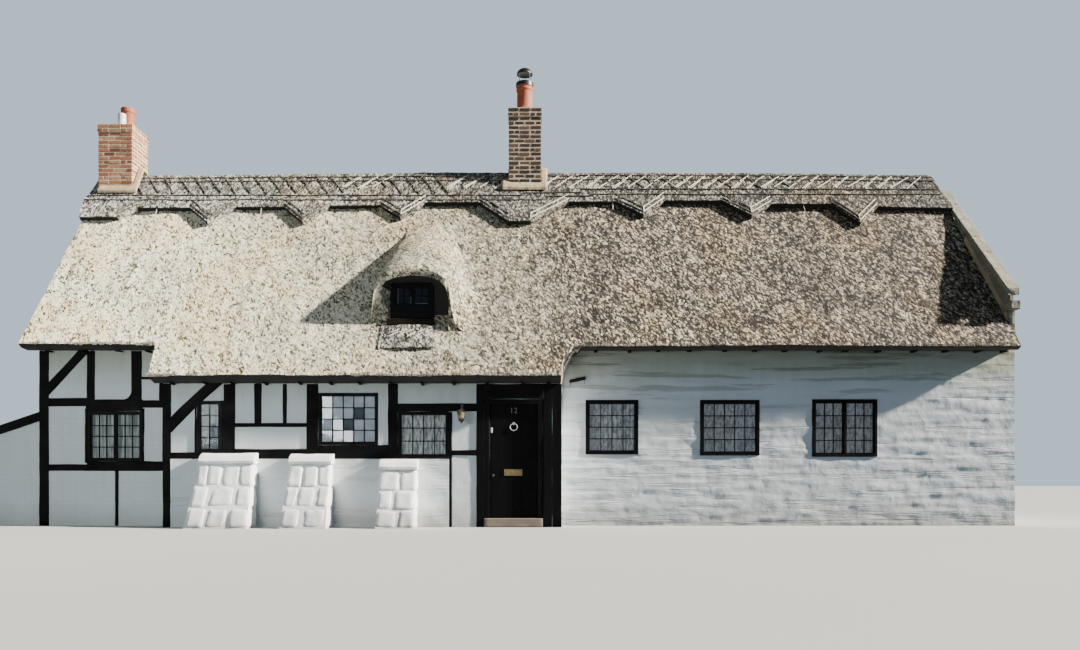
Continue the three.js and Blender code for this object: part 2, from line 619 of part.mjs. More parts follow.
function addThatch() {
  const slab = roofLayer(-THATCH_DEPTH, 0);
  const sweepEnd = OUTSHOT_THATCH_RIGHT + EAVE_SWEEP;
  const sweep = solid(frontPrism([
    [OUTSHOT_THATCH_RIGHT, -10], [OUTSHOT_THATCH_RIGHT, 2420], [OUTSHOT_THATCH_RIGHT + 60, 2720],
    [OUTSHOT_THATCH_RIGHT + 180, 2940], [sweepEnd, 3030], [sweepEnd, -10],
  ], -1000, HOUSE_FRONT));
  const tunnel = solid(block(
    DORMER_WINDOW.x0, DORMER_WINDOW.x1, DORMER_WALL - 100, HOOD_BACK, DORMER_WINDOW.z0, DORMER_WINDOW.z1,
  ));
  const front = slab
    .intersect(solid(planPrism(frontThatchPlan(), 0, RIDGE_Z + 500)))
    .subtract(soffit(EAVE_FRONT, HOUSE_FRONT, -11000, OUTSHOT_THATCH_LEFT - 40))
    .subtract(soffit(EAVE_OUTSHOT, OUTSHOT_FRONT, OUTSHOT_THATCH_LEFT - 40, OUTSHOT_THATCH_RIGHT))
    .subtract(soffit(EAVE_FRONT, HOUSE_FRONT, sweepEnd, 11000))
    .subtract(sweep)
    .subtract(stackHole(LEFT_STACK))
    .subtract(stackHole(CENTRE_STACK))
    .subtract(tunnel);
  addPiece('thatch_front', surface(front), 'thatch');

  const rearPlan = [
    [THATCH_LEFT, RIDGE_Y + GAP / 2], [THATCH_RIGHT, RIDGE_Y + GAP / 2], [THATCH_RIGHT, HOUSE_REAR + GAP],
    [THATCH_FOOT_RIGHT, HOUSE_REAR + GAP], [THATCH_FOOT_RIGHT, EAVE_REAR], [THATCH_LEFT, EAVE_REAR],
  ];
  const rear = slab
    .intersect(solid(planPrism(rearPlan, 0, RIDGE_Z + 500)))
    .subtract(soffit(EAVE_REAR, HOUSE_REAR, -11000, 11000))
    .subtract(stackHole(LEFT_STACK))
    .subtract(stackHole(CENTRE_STACK));
  addPiece('thatch_rear', surface(rear), 'thatch');

  addPiece('dormer_hood', surface(dormerHood().subtract(tunnel)), 'thatch');
  const apron = roofLayer(GAP, APRON_DEPTH).intersect(solid(planPrism(APRON_PLAN, 0, 9000)));
  addPiece('dormer_apron', surface(apron), 'ridge_thatch');
}

// The hump between the two slopes of the cap; a lift raises it to clear what lies on it
function capHump(lift) {
  const foot = thatchTop(RIDGE_Y - HUMP_REACH) + lift;
  return solid(crossPrism([
    [RIDGE_Y - HUMP_REACH, foot - CAP_DEPTH], [RIDGE_Y - HUMP_REACH, foot + CAP_DEPTH],
    [RIDGE_Y - CREST_HALF, CAP_CREST + lift], [RIDGE_Y + CREST_HALF, CAP_CREST + lift],
    [RIDGE_Y + HUMP_REACH, foot + CAP_DEPTH], [RIDGE_Y + HUMP_REACH, foot - CAP_DEPTH],
  ], THATCH_LEFT, THATCH_RIGHT));
}

function addRidgeCap() {
  const front = CAP_EDGE.map(([x, reach]) => [x, RIDGE_Y - reach]);
  const rear = CAP_EDGE.map(([x, reach]) => [x, RIDGE_Y + reach]).reverse();
  const cap = roofLayer(GAP, CAP_DEPTH)
    .add(capHump(0).subtract(belowThatchTop))
    .intersect(solid(planPrism([...front, ...rear], 0, 9000)))
    .subtract(solid(block(-11000, 11000, 0, 7000, CAP_CREST, 9000)))
    .subtract(stackHole(LEFT_STACK))
    .subtract(stackHole(CENTRE_STACK));
  const behind = solid(block(-11000, 11000, RIDGE_Y - GAP / 2, 9000, 0, 9999));
  const before = solid(block(-11000, 11000, 0, RIDGE_Y + GAP / 2, 0, 9999));
  addPiece('ridge_cap_front', surface(cap.subtract(behind)), 'ridge_thatch');
  addPiece('ridge_cap_rear', surface(cap.subtract(before)), 'ridge_thatch');
}

// A mortar skirt that fills the angle between a stack and the ridge cap
function flaunching(stack) {
  const wide = FLAUNCHING_WIDTH;
  const deep = FLAUNCHING_FRONT;
  return capHump(FLAUNCHING_DEPTH)
    .subtract(capHump(GAP))
    .subtract(roofLayer(-THATCH_DEPTH, CAP_DEPTH + GAP))
    .intersect(solid(block(stack.x0 - wide, stack.x1 + wide, stack.y0 - deep, stack.y1 + deep, 0, 9000)))
    .subtract(stackHole(stack));
}

function chimneyStack({ x0, x1, y0, y1, top }, foot) {
  const cap = block(
    x0 - CHIMNEY_LIP, x1 + CHIMNEY_LIP, y0 - CHIMNEY_LIP, y1 + CHIMNEY_LIP, top - CHIMNEY_CAP, top,
  );
  return surface(joined([block(x0, x1, y0, y1, foot, top), cap]));
}

function addChimneys() {
  addPiece('left_chimney', chimneyStack(LEFT_STACK, 0), 'brick');
  const leftSkirt = flaunching(LEFT_STACK).subtract(solid(block(-9999, THATCH_LEFT, 0, 9000, 0, 9999)));
  addPiece('left_chimney_flaunching', surface(leftSkirt), 'mortar');
  addPiece('left_chimney_pot', turned([
    [0, 0], [150, 0], [150, 30], [128, 60], [126, 400], [141, 430], [141, 515],
    [112, 515], [100, 400], [100, 40], [0, 40],
  ], 20), 'terracotta', [-8501, 3330, LEFT_STACK.top + GAP]);
  addPiece('left_chimney_flue', turned([
    [0, 0], [77, 0], [77, 280], [66, 280], [66, 20], [0, 20],
  ], 16), 'zinc', [-8480, 3010, LEFT_STACK.top + GAP]);

  addPiece('centre_chimney', chimneyStack(CENTRE_STACK, FLOOR_TOP + GAP), 'brick');
  addPiece('centre_chimney_flaunching', surface(flaunching(CENTRE_STACK)), 'mortar');
  const potX = -313;
  const potY = (CENTRE_STACK.y0 + CENTRE_STACK.y1) / 2;
  const potTop = CENTRE_STACK.top + GAP + POT_HEIGHT;
  addPiece('centre_chimney_pot', turned([
    [0, 0], [200, 0], [192, 80], [158, 110], [158, POT_HEIGHT - 110], [176, POT_HEIGHT - 90],
    [176, POT_HEIGHT], [144, POT_HEIGHT], [130, POT_HEIGHT - 70], [130, 60], [0, 60],
  ], 20), 'terracotta', [potX, potY, CENTRE_STACK.top + GAP]);
  const legs = [0, 1, 2, 3].map((i) => {
    const turn = (i + 0.5) * Math.PI / 2;
    return block(-9, 9, -9, 9, 0, 310).translate(152 * Math.cos(turn), 152 * Math.sin(turn), 0);
  });
  const hood = turned([[0, 290], [170, 290], [175, 306], [155, 334], [60, 354], [0, 358]], 20);
  const base = turned([[146, 0], [172, 0], [172, 50], [146, 50], [146, 0]], 20);
  addPiece('centre_chimney_cowl', surface(joined([...legs, hood, base])), 'iron', [potX, potY, potTop + GAP]);
}

function addDormerWindow() {
  const { x0, x1, z0, z1 } = DORMER_WINDOW;
  const board = 230;
  const stile = 75;
  const width = x1 - x0 - 2 * GAP;
  const height = z1 - z0 - 2 * GAP;
  const opening = solid(block(stile, width - stile, -10, WINDOW_DEPTH + 10, board, height - stile));
  const frame = solid(block(0, width, 0, WINDOW_DEPTH, 0, height)).subtract(opening);
  addPiece('dormer_window', surface(frame), 'black_joinery', [x0 + GAP, DORMER_WALL, z0 + GAP]);
  const glassWidth = width - 2 * stile;
  addPiece('dormer_glass', new THREE.BoxGeometry(glassWidth - 2 * GAP, GLASS, height - stile - board - 2 * GAP),
    'glass', [(x0 + x1) / 2, DORMER_WALL + WINDOW_DEPTH / 2, z0 + (board + height - stile) / 2 + GAP]);
}

function addLeanTo() {
  const { x0, y0, y1, wall, eave, pitch, roof } = LEAN_TO;
  const right = HOUSE_LEFT - GAP;
  const top = (x) => eave + pitch * (x - x0);
  const walls = joined([block(x0, right, y0, y0 + wall, 0, 3000), block(x0, x0 + wall, y0, y1, 0, 3000)]);
  const above = solid(frontPrism([
    [x0 - 500, top(x0 - 500)], [right + 500, top(right + 500)], [right + 500, 4000], [x0 - 500, 4000],
  ], 0, 4000));
  addPiece('lean_to_wall', surface(walls.subtract(above)), 'whitewash');
  addPiece('lean_to_roof', frontPrism([
    [x0 - 60, top(x0 - 60) + GAP], [right, top(right) + GAP],
    [right, top(right) + roof], [x0 - 60, top(x0 - 60) + roof],
  ], y0 - 50, y1 + 50), 'black_timber');
}

addFloors();
addBay();
addOutshot();
addDoor();
addButtresses();
addLantern();
addStoneWall();
addRearWall();
addGables();
addCoping();
addThatch();
addRidgeCap();
addDormerWindow();
addChimneys();
addLeanTo();

cottage.position.set(-CENTRE_X, -CENTRE_Y, 0);

export default cottage;
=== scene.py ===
"""Thatched cottage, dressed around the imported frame.

All sizes below are metres in the facade's own axes: X to the right along the front, Y away from the front
with Y = 0 at the face of the outshot, Z up from the ground. Each finished piece is moved into the
frame's axes.
"""
import logging
import math
import random
from collections.abc import Iterator
from contextlib import contextmanager
from dataclasses import dataclass
from enum import Enum

import bpy
from mathutils import Matrix, Vector, noise


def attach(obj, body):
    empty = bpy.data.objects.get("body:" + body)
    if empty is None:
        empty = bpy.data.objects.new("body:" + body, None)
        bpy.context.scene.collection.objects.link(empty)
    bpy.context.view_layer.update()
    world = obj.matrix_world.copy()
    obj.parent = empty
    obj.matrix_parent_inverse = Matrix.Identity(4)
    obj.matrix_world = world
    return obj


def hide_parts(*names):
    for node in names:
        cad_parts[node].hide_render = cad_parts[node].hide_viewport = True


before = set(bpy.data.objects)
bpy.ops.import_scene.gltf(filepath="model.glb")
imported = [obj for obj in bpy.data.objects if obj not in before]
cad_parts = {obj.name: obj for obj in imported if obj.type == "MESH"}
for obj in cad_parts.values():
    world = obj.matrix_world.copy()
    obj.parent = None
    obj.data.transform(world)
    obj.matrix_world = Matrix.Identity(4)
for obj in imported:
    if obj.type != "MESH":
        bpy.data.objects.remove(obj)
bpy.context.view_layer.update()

log = logging.getLogger("cottage")

# From the facade's axes to the frame's
SHIFT = Vector((0.870, -2.775, 0.0))

# Outer faces of the walls
OUTSHOT_FACE = 0.0
FRONT_FACE = 0.5
REAR_FACE = 5.8
LEFT_FACE = -8.76
RIGHT_FACE = 8.31

Box = tuple[float, float, float, float, float, float]
Point = tuple[float, float, float]
Colour = tuple[float, float, float]
Socket = bpy.types.NodeSocket
Value = bpy.types.NodeSocket | float
Tint = bpy.types.NodeSocket | Colour


class Face(Enum):
    """Which way a wall looks."""

    FRONT = 1
    REAR = -1


# Modelling


def deselect() -> None:
    """Leave nothing selected."""
    bpy.ops.object.select_all(action="DESELECT")


def activate(piece: bpy.types.Object) -> bpy.types.Object:
    """Select this piece alone and make it the active one.

    Args:
        piece: the piece to select.

    Returns:
        The piece.
    """
    deselect()
    piece.select_set(True)
    bpy.context.view_layer.objects.active = piece
    return piece


@contextmanager
def editing(piece: bpy.types.Object) -> Iterator[None]:
    """Open a piece's mesh for editing, and close it again.

    Args:
        piece: the mesh to edit.

    Returns:
        The context in which the mesh is open.
    """
    activate(piece)
    bpy.ops.object.mode_set(mode="EDIT")
    yield
    bpy.ops.object.mode_set(mode="OBJECT")


def freeze(piece: bpy.types.Object) -> bpy.types.Object:
    """Write the object's place, turn and scale into its mesh.

    Args:
        piece: the piece to change.

    Returns:
        The piece.
    """
    activate(piece)
    bpy.ops.object.transform_apply(location=True, rotation=True, scale=True)
    return piece


def placed(piece: bpy.types.Object, place: Point, turn: Point) -> bpy.types.Object:
    """Turn a piece and put it in its place.

    Args:
        piece: the piece to move.
        place: where it goes.
        turn: its turn about x, y and z, in radians.

    Returns:
        The piece.
    """
    piece.rotation_euler = turn
    piece.location = place
    return freeze(piece)


def apply_modifier(piece: bpy.types.Object, kind: str, **settings: object) -> None:
    """Add a modifier and apply it at once.

    Args:
        piece: the mesh to change.
        kind: the modifier's type.
        settings: its values by name.
    """
    activate(piece)
    modifier = piece.modifiers.new(kind.lower(), kind)
    for name, value in settings.items():
        setattr(modifier, name, value)
    bpy.ops.object.modifier_apply(modifier=modifier.name)


def block(name: str, box: Box) -> bpy.types.Object:
    """A box given by x0, x1, y0, y1, z0, z1.

    Args:
        name: the piece's name.
        box: its edges along x, y and z.

    Returns:
        The box.
    """
    x0, x1, y0, y1, z0, z1 = box
    middle = ((x0 + x1) / 2, (y0 + y1) / 2, (z0 + z1) / 2)
    bpy.ops.mesh.primitive_cube_add(size=1, location=middle)
    piece = bpy.context.object
    piece.name = name
    piece.scale = (x1 - x0, y1 - y0, z1 - z0)
    return freeze(piece)


def rod(name: str, start: Point, end: Point, radius: float, sides: int = 6) -> bpy.types.Object:
    """A round bar between two points.

    Args:
        name: the piece's name.
        start: one end.
        end: the other end.
        radius: the bar's radius.
        sides: number of sides.

    Returns:
        The bar.
    """
    a = Vector(start)
    b = Vector(end)
    span = b - a
    bpy.ops.mesh.primitive_cylinder_add(
        vertices=sides, radius=radius, depth=span.length, location=(a + b) / 2,
    )
    piece = bpy.context.object
    piece.name = name
    piece.rotation_euler = span.to_track_quat("Z", "Y").to_euler()
    return freeze(piece)


class Stick:
    """One straight round stick, modelled once and copied for every rod."""

    def __init__(self, sides: int = 5) -> None:
        """Model the stick, 1 m long and 1 m in radius, along Z."""
        bpy.ops.mesh.primitive_cylinder_add(vertices=sides, radius=1, depth=1)
        self.model = bpy.context.object

    def between(self, start: Vector, end: Vector, radius: float) -> bpy.types.Object:
        """A copy that runs from one place to another.

        Args:
            start: one end.
            end: the other end.
            radius: radius of the stick.

        Returns:
            The copy.
        """
        span = end - start
        piece = copy_of(self.model)
        size = Matrix.Diagonal((radius, radius, span.length, 1))
        turn = span.to_track_quat("Z", "Y").to_matrix().to_4x4()
        piece.data.transform(Matrix.Translation((start + end) / 2) @ turn @ size)
        return piece


def mesh_piece(name: str, points: list, edges: list, faces: list) -> bpy.types.Object:
    """A piece made of plain points, edges and faces.

    Args:
        name: the piece's name.
        points: its points.
        edges: pairs of point numbers.
        faces: rings of point numbers.

    Returns:
        The piece.
    """
    mesh = bpy.data.meshes.new(name)
    mesh.from_pydata(points, edges, faces)
    piece = bpy.data.objects.new(name, mesh)
    bpy.context.collection.objects.link(piece)
    return piece


def turned(
    name: str, profile: list[tuple[float, float]], centre: Point = (0, 0, 0), steps: int = 40,
) -> bpy.types.Object:
    """A body spun about a vertical axis.

    Args:
        name: the piece's name.
        profile: radius and height of each point, in order.
        centre: where the axis stands.
        steps: number of sides.

    Returns:
        The piece, with its seam welded.
    """
    points = [(r, 0.0, z) for r, z in profile]
    piece = mesh_piece(name, points, [(i, i + 1) for i in range(len(points) - 1)], [])
    with editing(piece):
        bpy.ops.mesh.select_all(action="SELECT")
        bpy.ops.mesh.spin(steps=steps, angle=math.tau, center=(0, 0, 0), axis=(0, 0, 1))
        bpy.ops.mesh.select_all(action="SELECT")
        bpy.ops.mesh.remove_doubles(threshold=0.0002)
        bpy.ops.mesh.normals_make_consistent(inside=False)
    smooth(piece, 35)
    piece.location = centre
    return freeze(piece)


def ring(radius: float, wire: float, sides: tuple[int, int], place: Point, turn: Point) -> bpy.types.Object:
    """A ring of round wire.

    Args:
        radius: from the middle of the ring to the middle of the wire.
        wire: radius of the wire.
        sides: number of sides round the ring and round the wire.
        place: the ring's middle.
        turn: its turn about x, y and z.

    Returns:
        The ring.
    """
    bpy.ops.mesh.primitive_torus_add(
        major_radius=radius, minor_radius=wire, major_segments=sides[0], minor_segments=sides[1],
        location=place, rotation=turn,
    )
    return freeze(bpy.context.object)


def join(name: str, pieces: list[bpy.types.Object]) -> bpy.types.Object:
    """Make one piece of several.

    Args:
        name: name of the joined piece.
        pieces: the pieces, which it takes in.

    Returns:
        The joined piece.
    """
    deselect()
    for piece in pieces:
        piece.select_set(True)
    bpy.context.view_layer.objects.active = pieces[0]
    if len(pieces) > 1:
        bpy.ops.object.join()
    joined = bpy.context.view_layer.objects.active
    joined.name = name
    return joined


def copy_of(piece: bpy.types.Object) -> bpy.types.Object:
    """A copy with its own mesh.

    Args:
        piece: the piece to copy.

    Returns:
        The copy.
    """
    twin = piece.copy()
    twin.data = piece.data.copy()
    bpy.context.collection.objects.link(twin)
    return twin


def cad_copy(node: str, name: str) -> bpy.types.Object:
    """A welded copy of a CAD node in the facade's axes.

    Args:
        node: the CAD node.
        name: the copy's name.

    Returns:
        The copy.
    """
    piece = copy_of(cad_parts[node])
    piece.name = name
    piece.parent = None
    for key in list(piece.keys()):
        if key.startswith("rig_"):
            del piece[key]
    piece.data.materials.clear()
    piece.data.transform(Matrix.Translation(-SHIFT))
    with editing(piece):
        bpy.ops.mesh.select_all(action="SELECT")
        bpy.ops.mesh.remove_doubles(threshold=0.0001)
        bpy.ops.mesh.dissolve_limited(angle_limit=0.02)
        bpy.ops.mesh.normals_make_consistent(inside=False)
    return piece


def remove(piece: bpy.types.Object) -> None:
    """Take a helper out of the scene."""
    bpy.data.objects.remove(piece, do_unlink=True)


def recalculate(piece: bpy.types.Object) -> None:
    """Turn all faces outwards.

    Args:
        piece: the piece to change.
    """
    with editing(piece):
        bpy.ops.mesh.select_all(action="SELECT")
        bpy.ops.mesh.normals_make_consistent(inside=False)


def paint(piece: bpy.types.Object, *finishes: bpy.types.Material) -> None:
    """Add finishes to a piece, in order."""
    for finish in finishes:
        piece.data.materials.append(finish)


def smooth(piece: bpy.types.Object, angle: float = 40) -> None:
    """Shade faces smoothly where they meet at less than this angle in degrees."""
    activate(piece)
    bpy.ops.object.shade_smooth_by_angle(angle=math.radians(angle))


def chamfer(piece: bpy.types.Object, width: float, segments: int = 2) -> None:
    """Round the sharp edges of a piece."""
    apply_modifier(piece, "BEVEL", width=width, segments=segments, limit_method="ANGLE", angle_limit=0.7)


def refine(piece: bpy.types.Object, levels: int) -> None:
    """Divide every face of a piece into smaller ones without changing its shape."""
    apply_modifier(piece, "SUBSURF", levels=levels, render_levels=levels, subdivision_type="SIMPLE")


def slice_at(place: Point, normal: Point) -> None:
    """Slice the mesh that is open for editing along a plane, and keep both sides."""
    bpy.ops.mesh.select_all(action="SELECT")
    bpy.ops.mesh.bisect(plane_co=place, plane_no=normal)


def cut(piece: bpy.types.Object, cutter: bpy.types.Object) -> None:
    """Cut a solid out of a piece and drop the cutter."""
    apply_modifier(piece, "BOOLEAN", operation="DIFFERENCE", object=cutter, solver="EXACT")
    remove(cutter)


def cross_cuts(piece: bpy.types.Object, axis: int, spacing: float) -> None:
    """Cut a plain block across its length into short lengths.

    Args:
        piece: a block that lies along one axis.
        axis: 0, 1 or 2 for the axis that its length follows.
        spacing: distance between cuts.
    """
    mesh = piece.data
    values = [v.co[axis] for v in mesh.vertices]
    cuts = int((max(values) - min(values)) / spacing)
    if cuts < 1:
        return
    with editing(piece):
        bpy.ops.mesh.select_mode(type="EDGE")
    for edge in mesh.edges:
        a, b = (mesh.vertices[i].co for i in edge.vertices)
        edge.select = abs(a[axis] - b[axis]) > 1e-5
    with editing(piece):
        bpy.ops.mesh.subdivide(number_cuts=cuts)


@dataclass(frozen=True)
class Relief:
    """One layer of unevenness on a surface.

    Args:
        size: length of a lump along x, y and z.
        depth: height from the lowest to the highest point.
        kind: the texture, CLOUDS or VORONOI.
        direction: NORMAL, X, Y or Z.
        middle: the texture value that stays where it is.
    """

    size: Point
    depth: float
    kind: str = "CLOUDS"
    direction: str = "NORMAL"
    middle: float = 0.5

    def press(self, piece: bpy.types.Object, group: str = "") -> None:
        """Press this layer into a piece, or into one of its vertex groups.

        Args:
            piece: the piece to change.
            group: name of a vertex group, or nothing for the whole piece.
        """
        texture = bpy.data.textures.new("relief", self.kind)
        texture.noise_scale = 1.0
        if self.kind == "CLOUDS":
            texture.noise_depth = 2
        bpy.ops.object.empty_add(location=(0.37, 0.21, 0.53))
        guide = bpy.context.object
        guide.scale = self.size
        bpy.context.view_layer.update()
        apply_modifier(
            piece, "DISPLACE", texture=texture, texture_coords="OBJECT", texture_coords_object=guide,
            strength=self.depth, mid_level=self.middle, direction=self.direction, vertex_group=group,
        )
        remove(guide)


def solid_of(name: str, loops: list[list[Point]]) -> bpy.types.Object:
    """A solid through a row of closed cross-sections with the same number of points.

    Args:
        name: the piece's name.
        loops: the cross-sections in order.

    Returns:
        The piece, closed at both ends.
    """
    count = len(loops[0])
    faces = []
    for i in range(len(loops) - 1):
        a = i * count
        b = a + count
        faces += [(a + j, a + (j + 1) % count, b + (j + 1) % count, b + j) for j in range(count)]
    faces.append(tuple(reversed(range(count))))
    faces.append(tuple((len(loops) - 1) * count + j for j in range(count)))
    piece = mesh_piece(name, [p for loop in loops for p in loop], [], faces)
    recalculate(piece)
    return piece


def piecewise(points: list[tuple[float, float]], x: float) -> float:
    """The height of a bent line at x, flat beyond its ends.

    Args:
        points: the line's corners from left to right.
        x: where to read it.

    Returns:
        The height there.
    """
    if x <= points[0][0]:
        return points[0][1]
    for (x0, z0), (x1, z1) in zip(points, points[1:]):
        if x <= x1:
            return z0 + (z1 - z0) * (x - x0) / (x1 - x0)
    return points[-1][1]


def evenly(start: float, end: float, count: int) -> list[float]:
    """Both ends and the places that divide the way between them into a number of equal steps."""
    return [start + (end - start) * i / count for i in range(count + 1)]


def ripple(x: float, y: float = 0.0, z: float = 0.0) -> float:
    """Smooth random height at a place, from -1 to 1."""
    return noise.noise(Vector((x, y, z)))


def hand_over(
    piece: bpy.types.Object, finishes: list[bpy.types.Material], nodes: tuple[str, ...] = (),
    body: str = "cottage",
) -> bpy.types.Object:
    """Finish a piece: its materials, its place in the frame and what it stands for.

    Args:
        piece: the piece in the facade's axes.
        finishes: its materials; the first is used where a piece has no others yet.
        nodes: the CAD nodes that it stands for.
        body: the body that it moves with.

    Returns:
        The piece.
    """
    freeze(piece)
    if min(corner[2] for corner in piece.bound_box) < 0:
        for vertex in piece.data.vertices:
            vertex.co.z = max(vertex.co.z, 0.0)
    piece.data.transform(Matrix.Translation(SHIFT))
    if not piece.data.materials:
        paint(piece, *finishes)
    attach(piece, body)
    if nodes:
        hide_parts(*nodes)
    triangles = sum(len(p.vertices) - 2 for p in piece.data.polygons)
    log.info("%s: %d triangles", piece.name, triangles)
    return piece


# Finishes


class Shader:
    """A material's node tree, built a few nodes at a time."""

    def __init__(self, name: str, roughness: float = 0.9, metallic: float = 0.0) -> None:
        """Start a material with a plain principled surface.

        Args:
            name: the material's name.
            roughness: how dull it is.
            metallic: 1 for bare metal.
        """
        self.material = bpy.data.materials.new(name)
        self.material.use_nodes = True
        self.nodes = self.material.node_tree.nodes
        self.links = self.material.node_tree.links
        self.nodes.clear()
        self.surface = self.nodes.new("ShaderNodeBsdfPrincipled")
        self.surface.inputs["Roughness"].default_value = roughness
        self.surface.inputs["Metallic"].default_value = metallic
        output = self.nodes.new("ShaderNodeOutputMaterial")
        self.links.new(self.surface.outputs[0], output.inputs["Surface"])
        self.place = self.nodes.new("ShaderNodeTexCoord").outputs["Object"]

    def link(self, value: Value | Tint, socket: Socket) -> None:
        """Feed a socket from another socket or a plain value.

        Args:
            value: a socket or a plain value.
            socket: the socket to feed.
        """
        if isinstance(value, bpy.types.NodeSocket):
            self.links.new(value, socket)
        else:
            socket.default_value = value

    def mapped(self, vector: Socket, scale: Point = (1, 1, 1), turn: Point = (0, 0, 0)) -> Socket:
        """Turn a vector, then scale it.

        Args:
            vector: the vector socket.
            scale: stretch along x, y and z.
            turn: turn about x, y and z, in radians.

        Returns:
            The new vector.
        """
        first = self.nodes.new("ShaderNodeMapping")
        first.inputs["Rotation"].default_value = turn
        self.links.new(vector, first.inputs["Vector"])
        second = self.nodes.new("ShaderNodeMapping")
        second.inputs["Scale"].default_value = scale
        self.links.new(first.outputs[0], second.inputs["Vector"])
        return second.outputs[0]

    def noise(
        self, vector: Socket, scale: float, detail: float = 3, rough: float = 0.55, colour: bool = False,
    ) -> Socket:
        """Cloudy noise from 0 to 1.

        Args:
            vector: the vector socket.
            scale: number of features to a metre.
            detail: number of finer layers.
            rough: strength of the finer layers.
            colour: whether three separate values are wanted.

        Returns:
            The noise.
        """
        node = self.nodes.new("ShaderNodeTexNoise")
        node.inputs["Scale"].default_value = scale
        node.inputs["Detail"].default_value = detail
        node.inputs["Roughness"].default_value = rough
        self.links.new(vector, node.inputs["Vector"])
        return node.outputs["Color" if colour else "Fac"]

    def cells(self, vector: Socket, scale: float) -> tuple[Socket, Socket]:
        """Cells: their distance and their own grey tone.

        Args:
            vector: the vector socket.
            scale: number of features to a metre.

        Returns:
            The distance to the nearest cell's middle, and that cell's tone.
        """
        node = self.nodes.new("ShaderNodeTexVoronoi")
        node.inputs["Scale"].default_value = scale
        self.links.new(vector, node.inputs["Vector"])
        split = self.nodes.new("ShaderNodeSeparateColor")
        self.links.new(node.outputs["Color"], split.inputs[0])
        return node.outputs["Distance"], split.outputs[0]

    def ramp(self, fac: Socket, stops: list[tuple[float, Colour]]) -> Socket:
        """Colours along a value.

        Args:
            fac: the value.
            stops: places from 0 to 1 with their colours.

        Returns:
            The colour.
        """
        node = self.nodes.new("ShaderNodeValToRGB")
        elements = node.color_ramp.elements
        while len(elements) < len(stops):
            elements.new(0.5)
        for element, (place, colour) in zip(elements, stops):
            element.position = place
            element.color = (*colour, 1)
        self.links.new(fac, node.inputs["Fac"])
        return node.outputs["Color"]

    def spread(
        self, value: Socket, low: float, high: float, out_low: float = 0.0, out_high: float = 1.0,
    ) -> Socket:
        """Stretch a range of values to another, held at its ends.

        Args:
            value: the value socket.
            low: start of the range.
            high: end of the range.
            out_low: value at the start.
            out_high: value at the end.

        Returns:
            The stretched value.
        """
        node = self.nodes.new("ShaderNodeMapRange")
        node.inputs["From Min"].default_value = low
        node.inputs["From Max"].default_value = high
        node.inputs["To Min"].default_value = out_low
        node.inputs["To Max"].default_value = out_high
        self.links.new(value, node.inputs["Value"])
        return node.outputs["Result"]

    def maths(self, operation: str, a: Value, b: Value) -> Socket:
        """Two values combined.

        Args:
            operation: the kind of sum.
            a: the first value.
            b: the second value.

        Returns:
            The result.
        """
        node = self.nodes.new("ShaderNodeMath")
        node.operation = operation
        self.link(a, node.inputs[0])
        self.link(b, node.inputs[1])
        return node.outputs[0]

    def plus(self, a: Value, b: Value) -> Socket:
        """Two values added."""
        return self.maths("ADD", a, b)

    def minus(self, a: Value, b: Value) -> Socket:
        """One value less another."""
        return self.maths("SUBTRACT", a, b)

    def times(self, a: Value, b: Value) -> Socket:
        """Two values multiplied."""
        return self.maths("MULTIPLY", a, b)

    def mix(self, fac: Value, a: Tint, b: Tint, blend: str = "MIX") -> Socket:
        """Two colours mixed.

        Args:
            fac: share of the second colour.
            a: the first colour.
            b: the second colour.
            blend: how they are combined.

        Returns:
            The mixed colour.
        """
        node = self.nodes.new("ShaderNodeMix")
        node.data_type = "RGBA"
        node.blend_type = blend
        self.link(fac, node.inputs[0])
        self.link(a if isinstance(a, bpy.types.NodeSocket) else (*a, 1), node.inputs[6])
        self.link(b if isinstance(b, bpy.types.NodeSocket) else (*b, 1), node.inputs[7])
        return node.outputs[2]

    def shifted(self, vector: Socket, amount: Socket, strength: float) -> Socket:
        """A vector moved by a colour's value.

        Args:
            vector: the vector.
            amount: the colour.
            strength: how far it moves.

        Returns:
            The moved vector.
        """
        scale = self.nodes.new("ShaderNodeVectorMath")
        scale.operation = "MULTIPLY_ADD"
        self.links.new(amount, scale.inputs[0])
        scale.inputs[1].default_value = (strength, strength, strength)
        self.links.new(vector, scale.inputs[2])
        return scale.outputs[0]

    def axis(self, vector: Socket, which: str) -> Socket:
        """One axis of a vector.

        Args:
            vector: the vector.
            which: X, Y or Z.

        Returns:
            The value along that axis.
        """
        node = self.nodes.new("ShaderNodeSeparateXYZ")
        self.links.new(vector, node.inputs[0])
        return node.outputs[which]

    def own(self, name: str) -> Socket:
        """A value stored on the piece itself.

        Args:
            name: the value's name.

        Returns:
            The value.
        """
        node = self.nodes.new("ShaderNodeAttribute")
        node.attribute_name = name
        return node.outputs["Fac"]

    def colour(self, socket: Socket) -> None:
        """Set the surface colour."""
        self.link(socket, self.surface.inputs["Base Color"])

    def rough(self, socket: Socket) -> None:
        """Set the roughness from a texture."""
        self.link(socket, self.surface.inputs["Roughness"])

    def bump(self, height: Socket, distance: float, strength: float = 1.0) -> None:
        """Add small relief, over any that is there already.

        Args:
            height: the height socket.
            distance: depth in metres.
            strength: how much of it shows.
        """
        node = self.nodes.new("ShaderNodeBump")
        node.inputs["Distance"].default_value = distance
        node.inputs["Strength"].default_value = strength
        self.links.new(height, node.inputs["Height"])
        normal = self.surface.inputs["Normal"]
        if normal.is_linked:
            self.links.new(normal.links[0].from_socket, node.inputs["Normal"])
        self.links.new(node.outputs[0], normal)


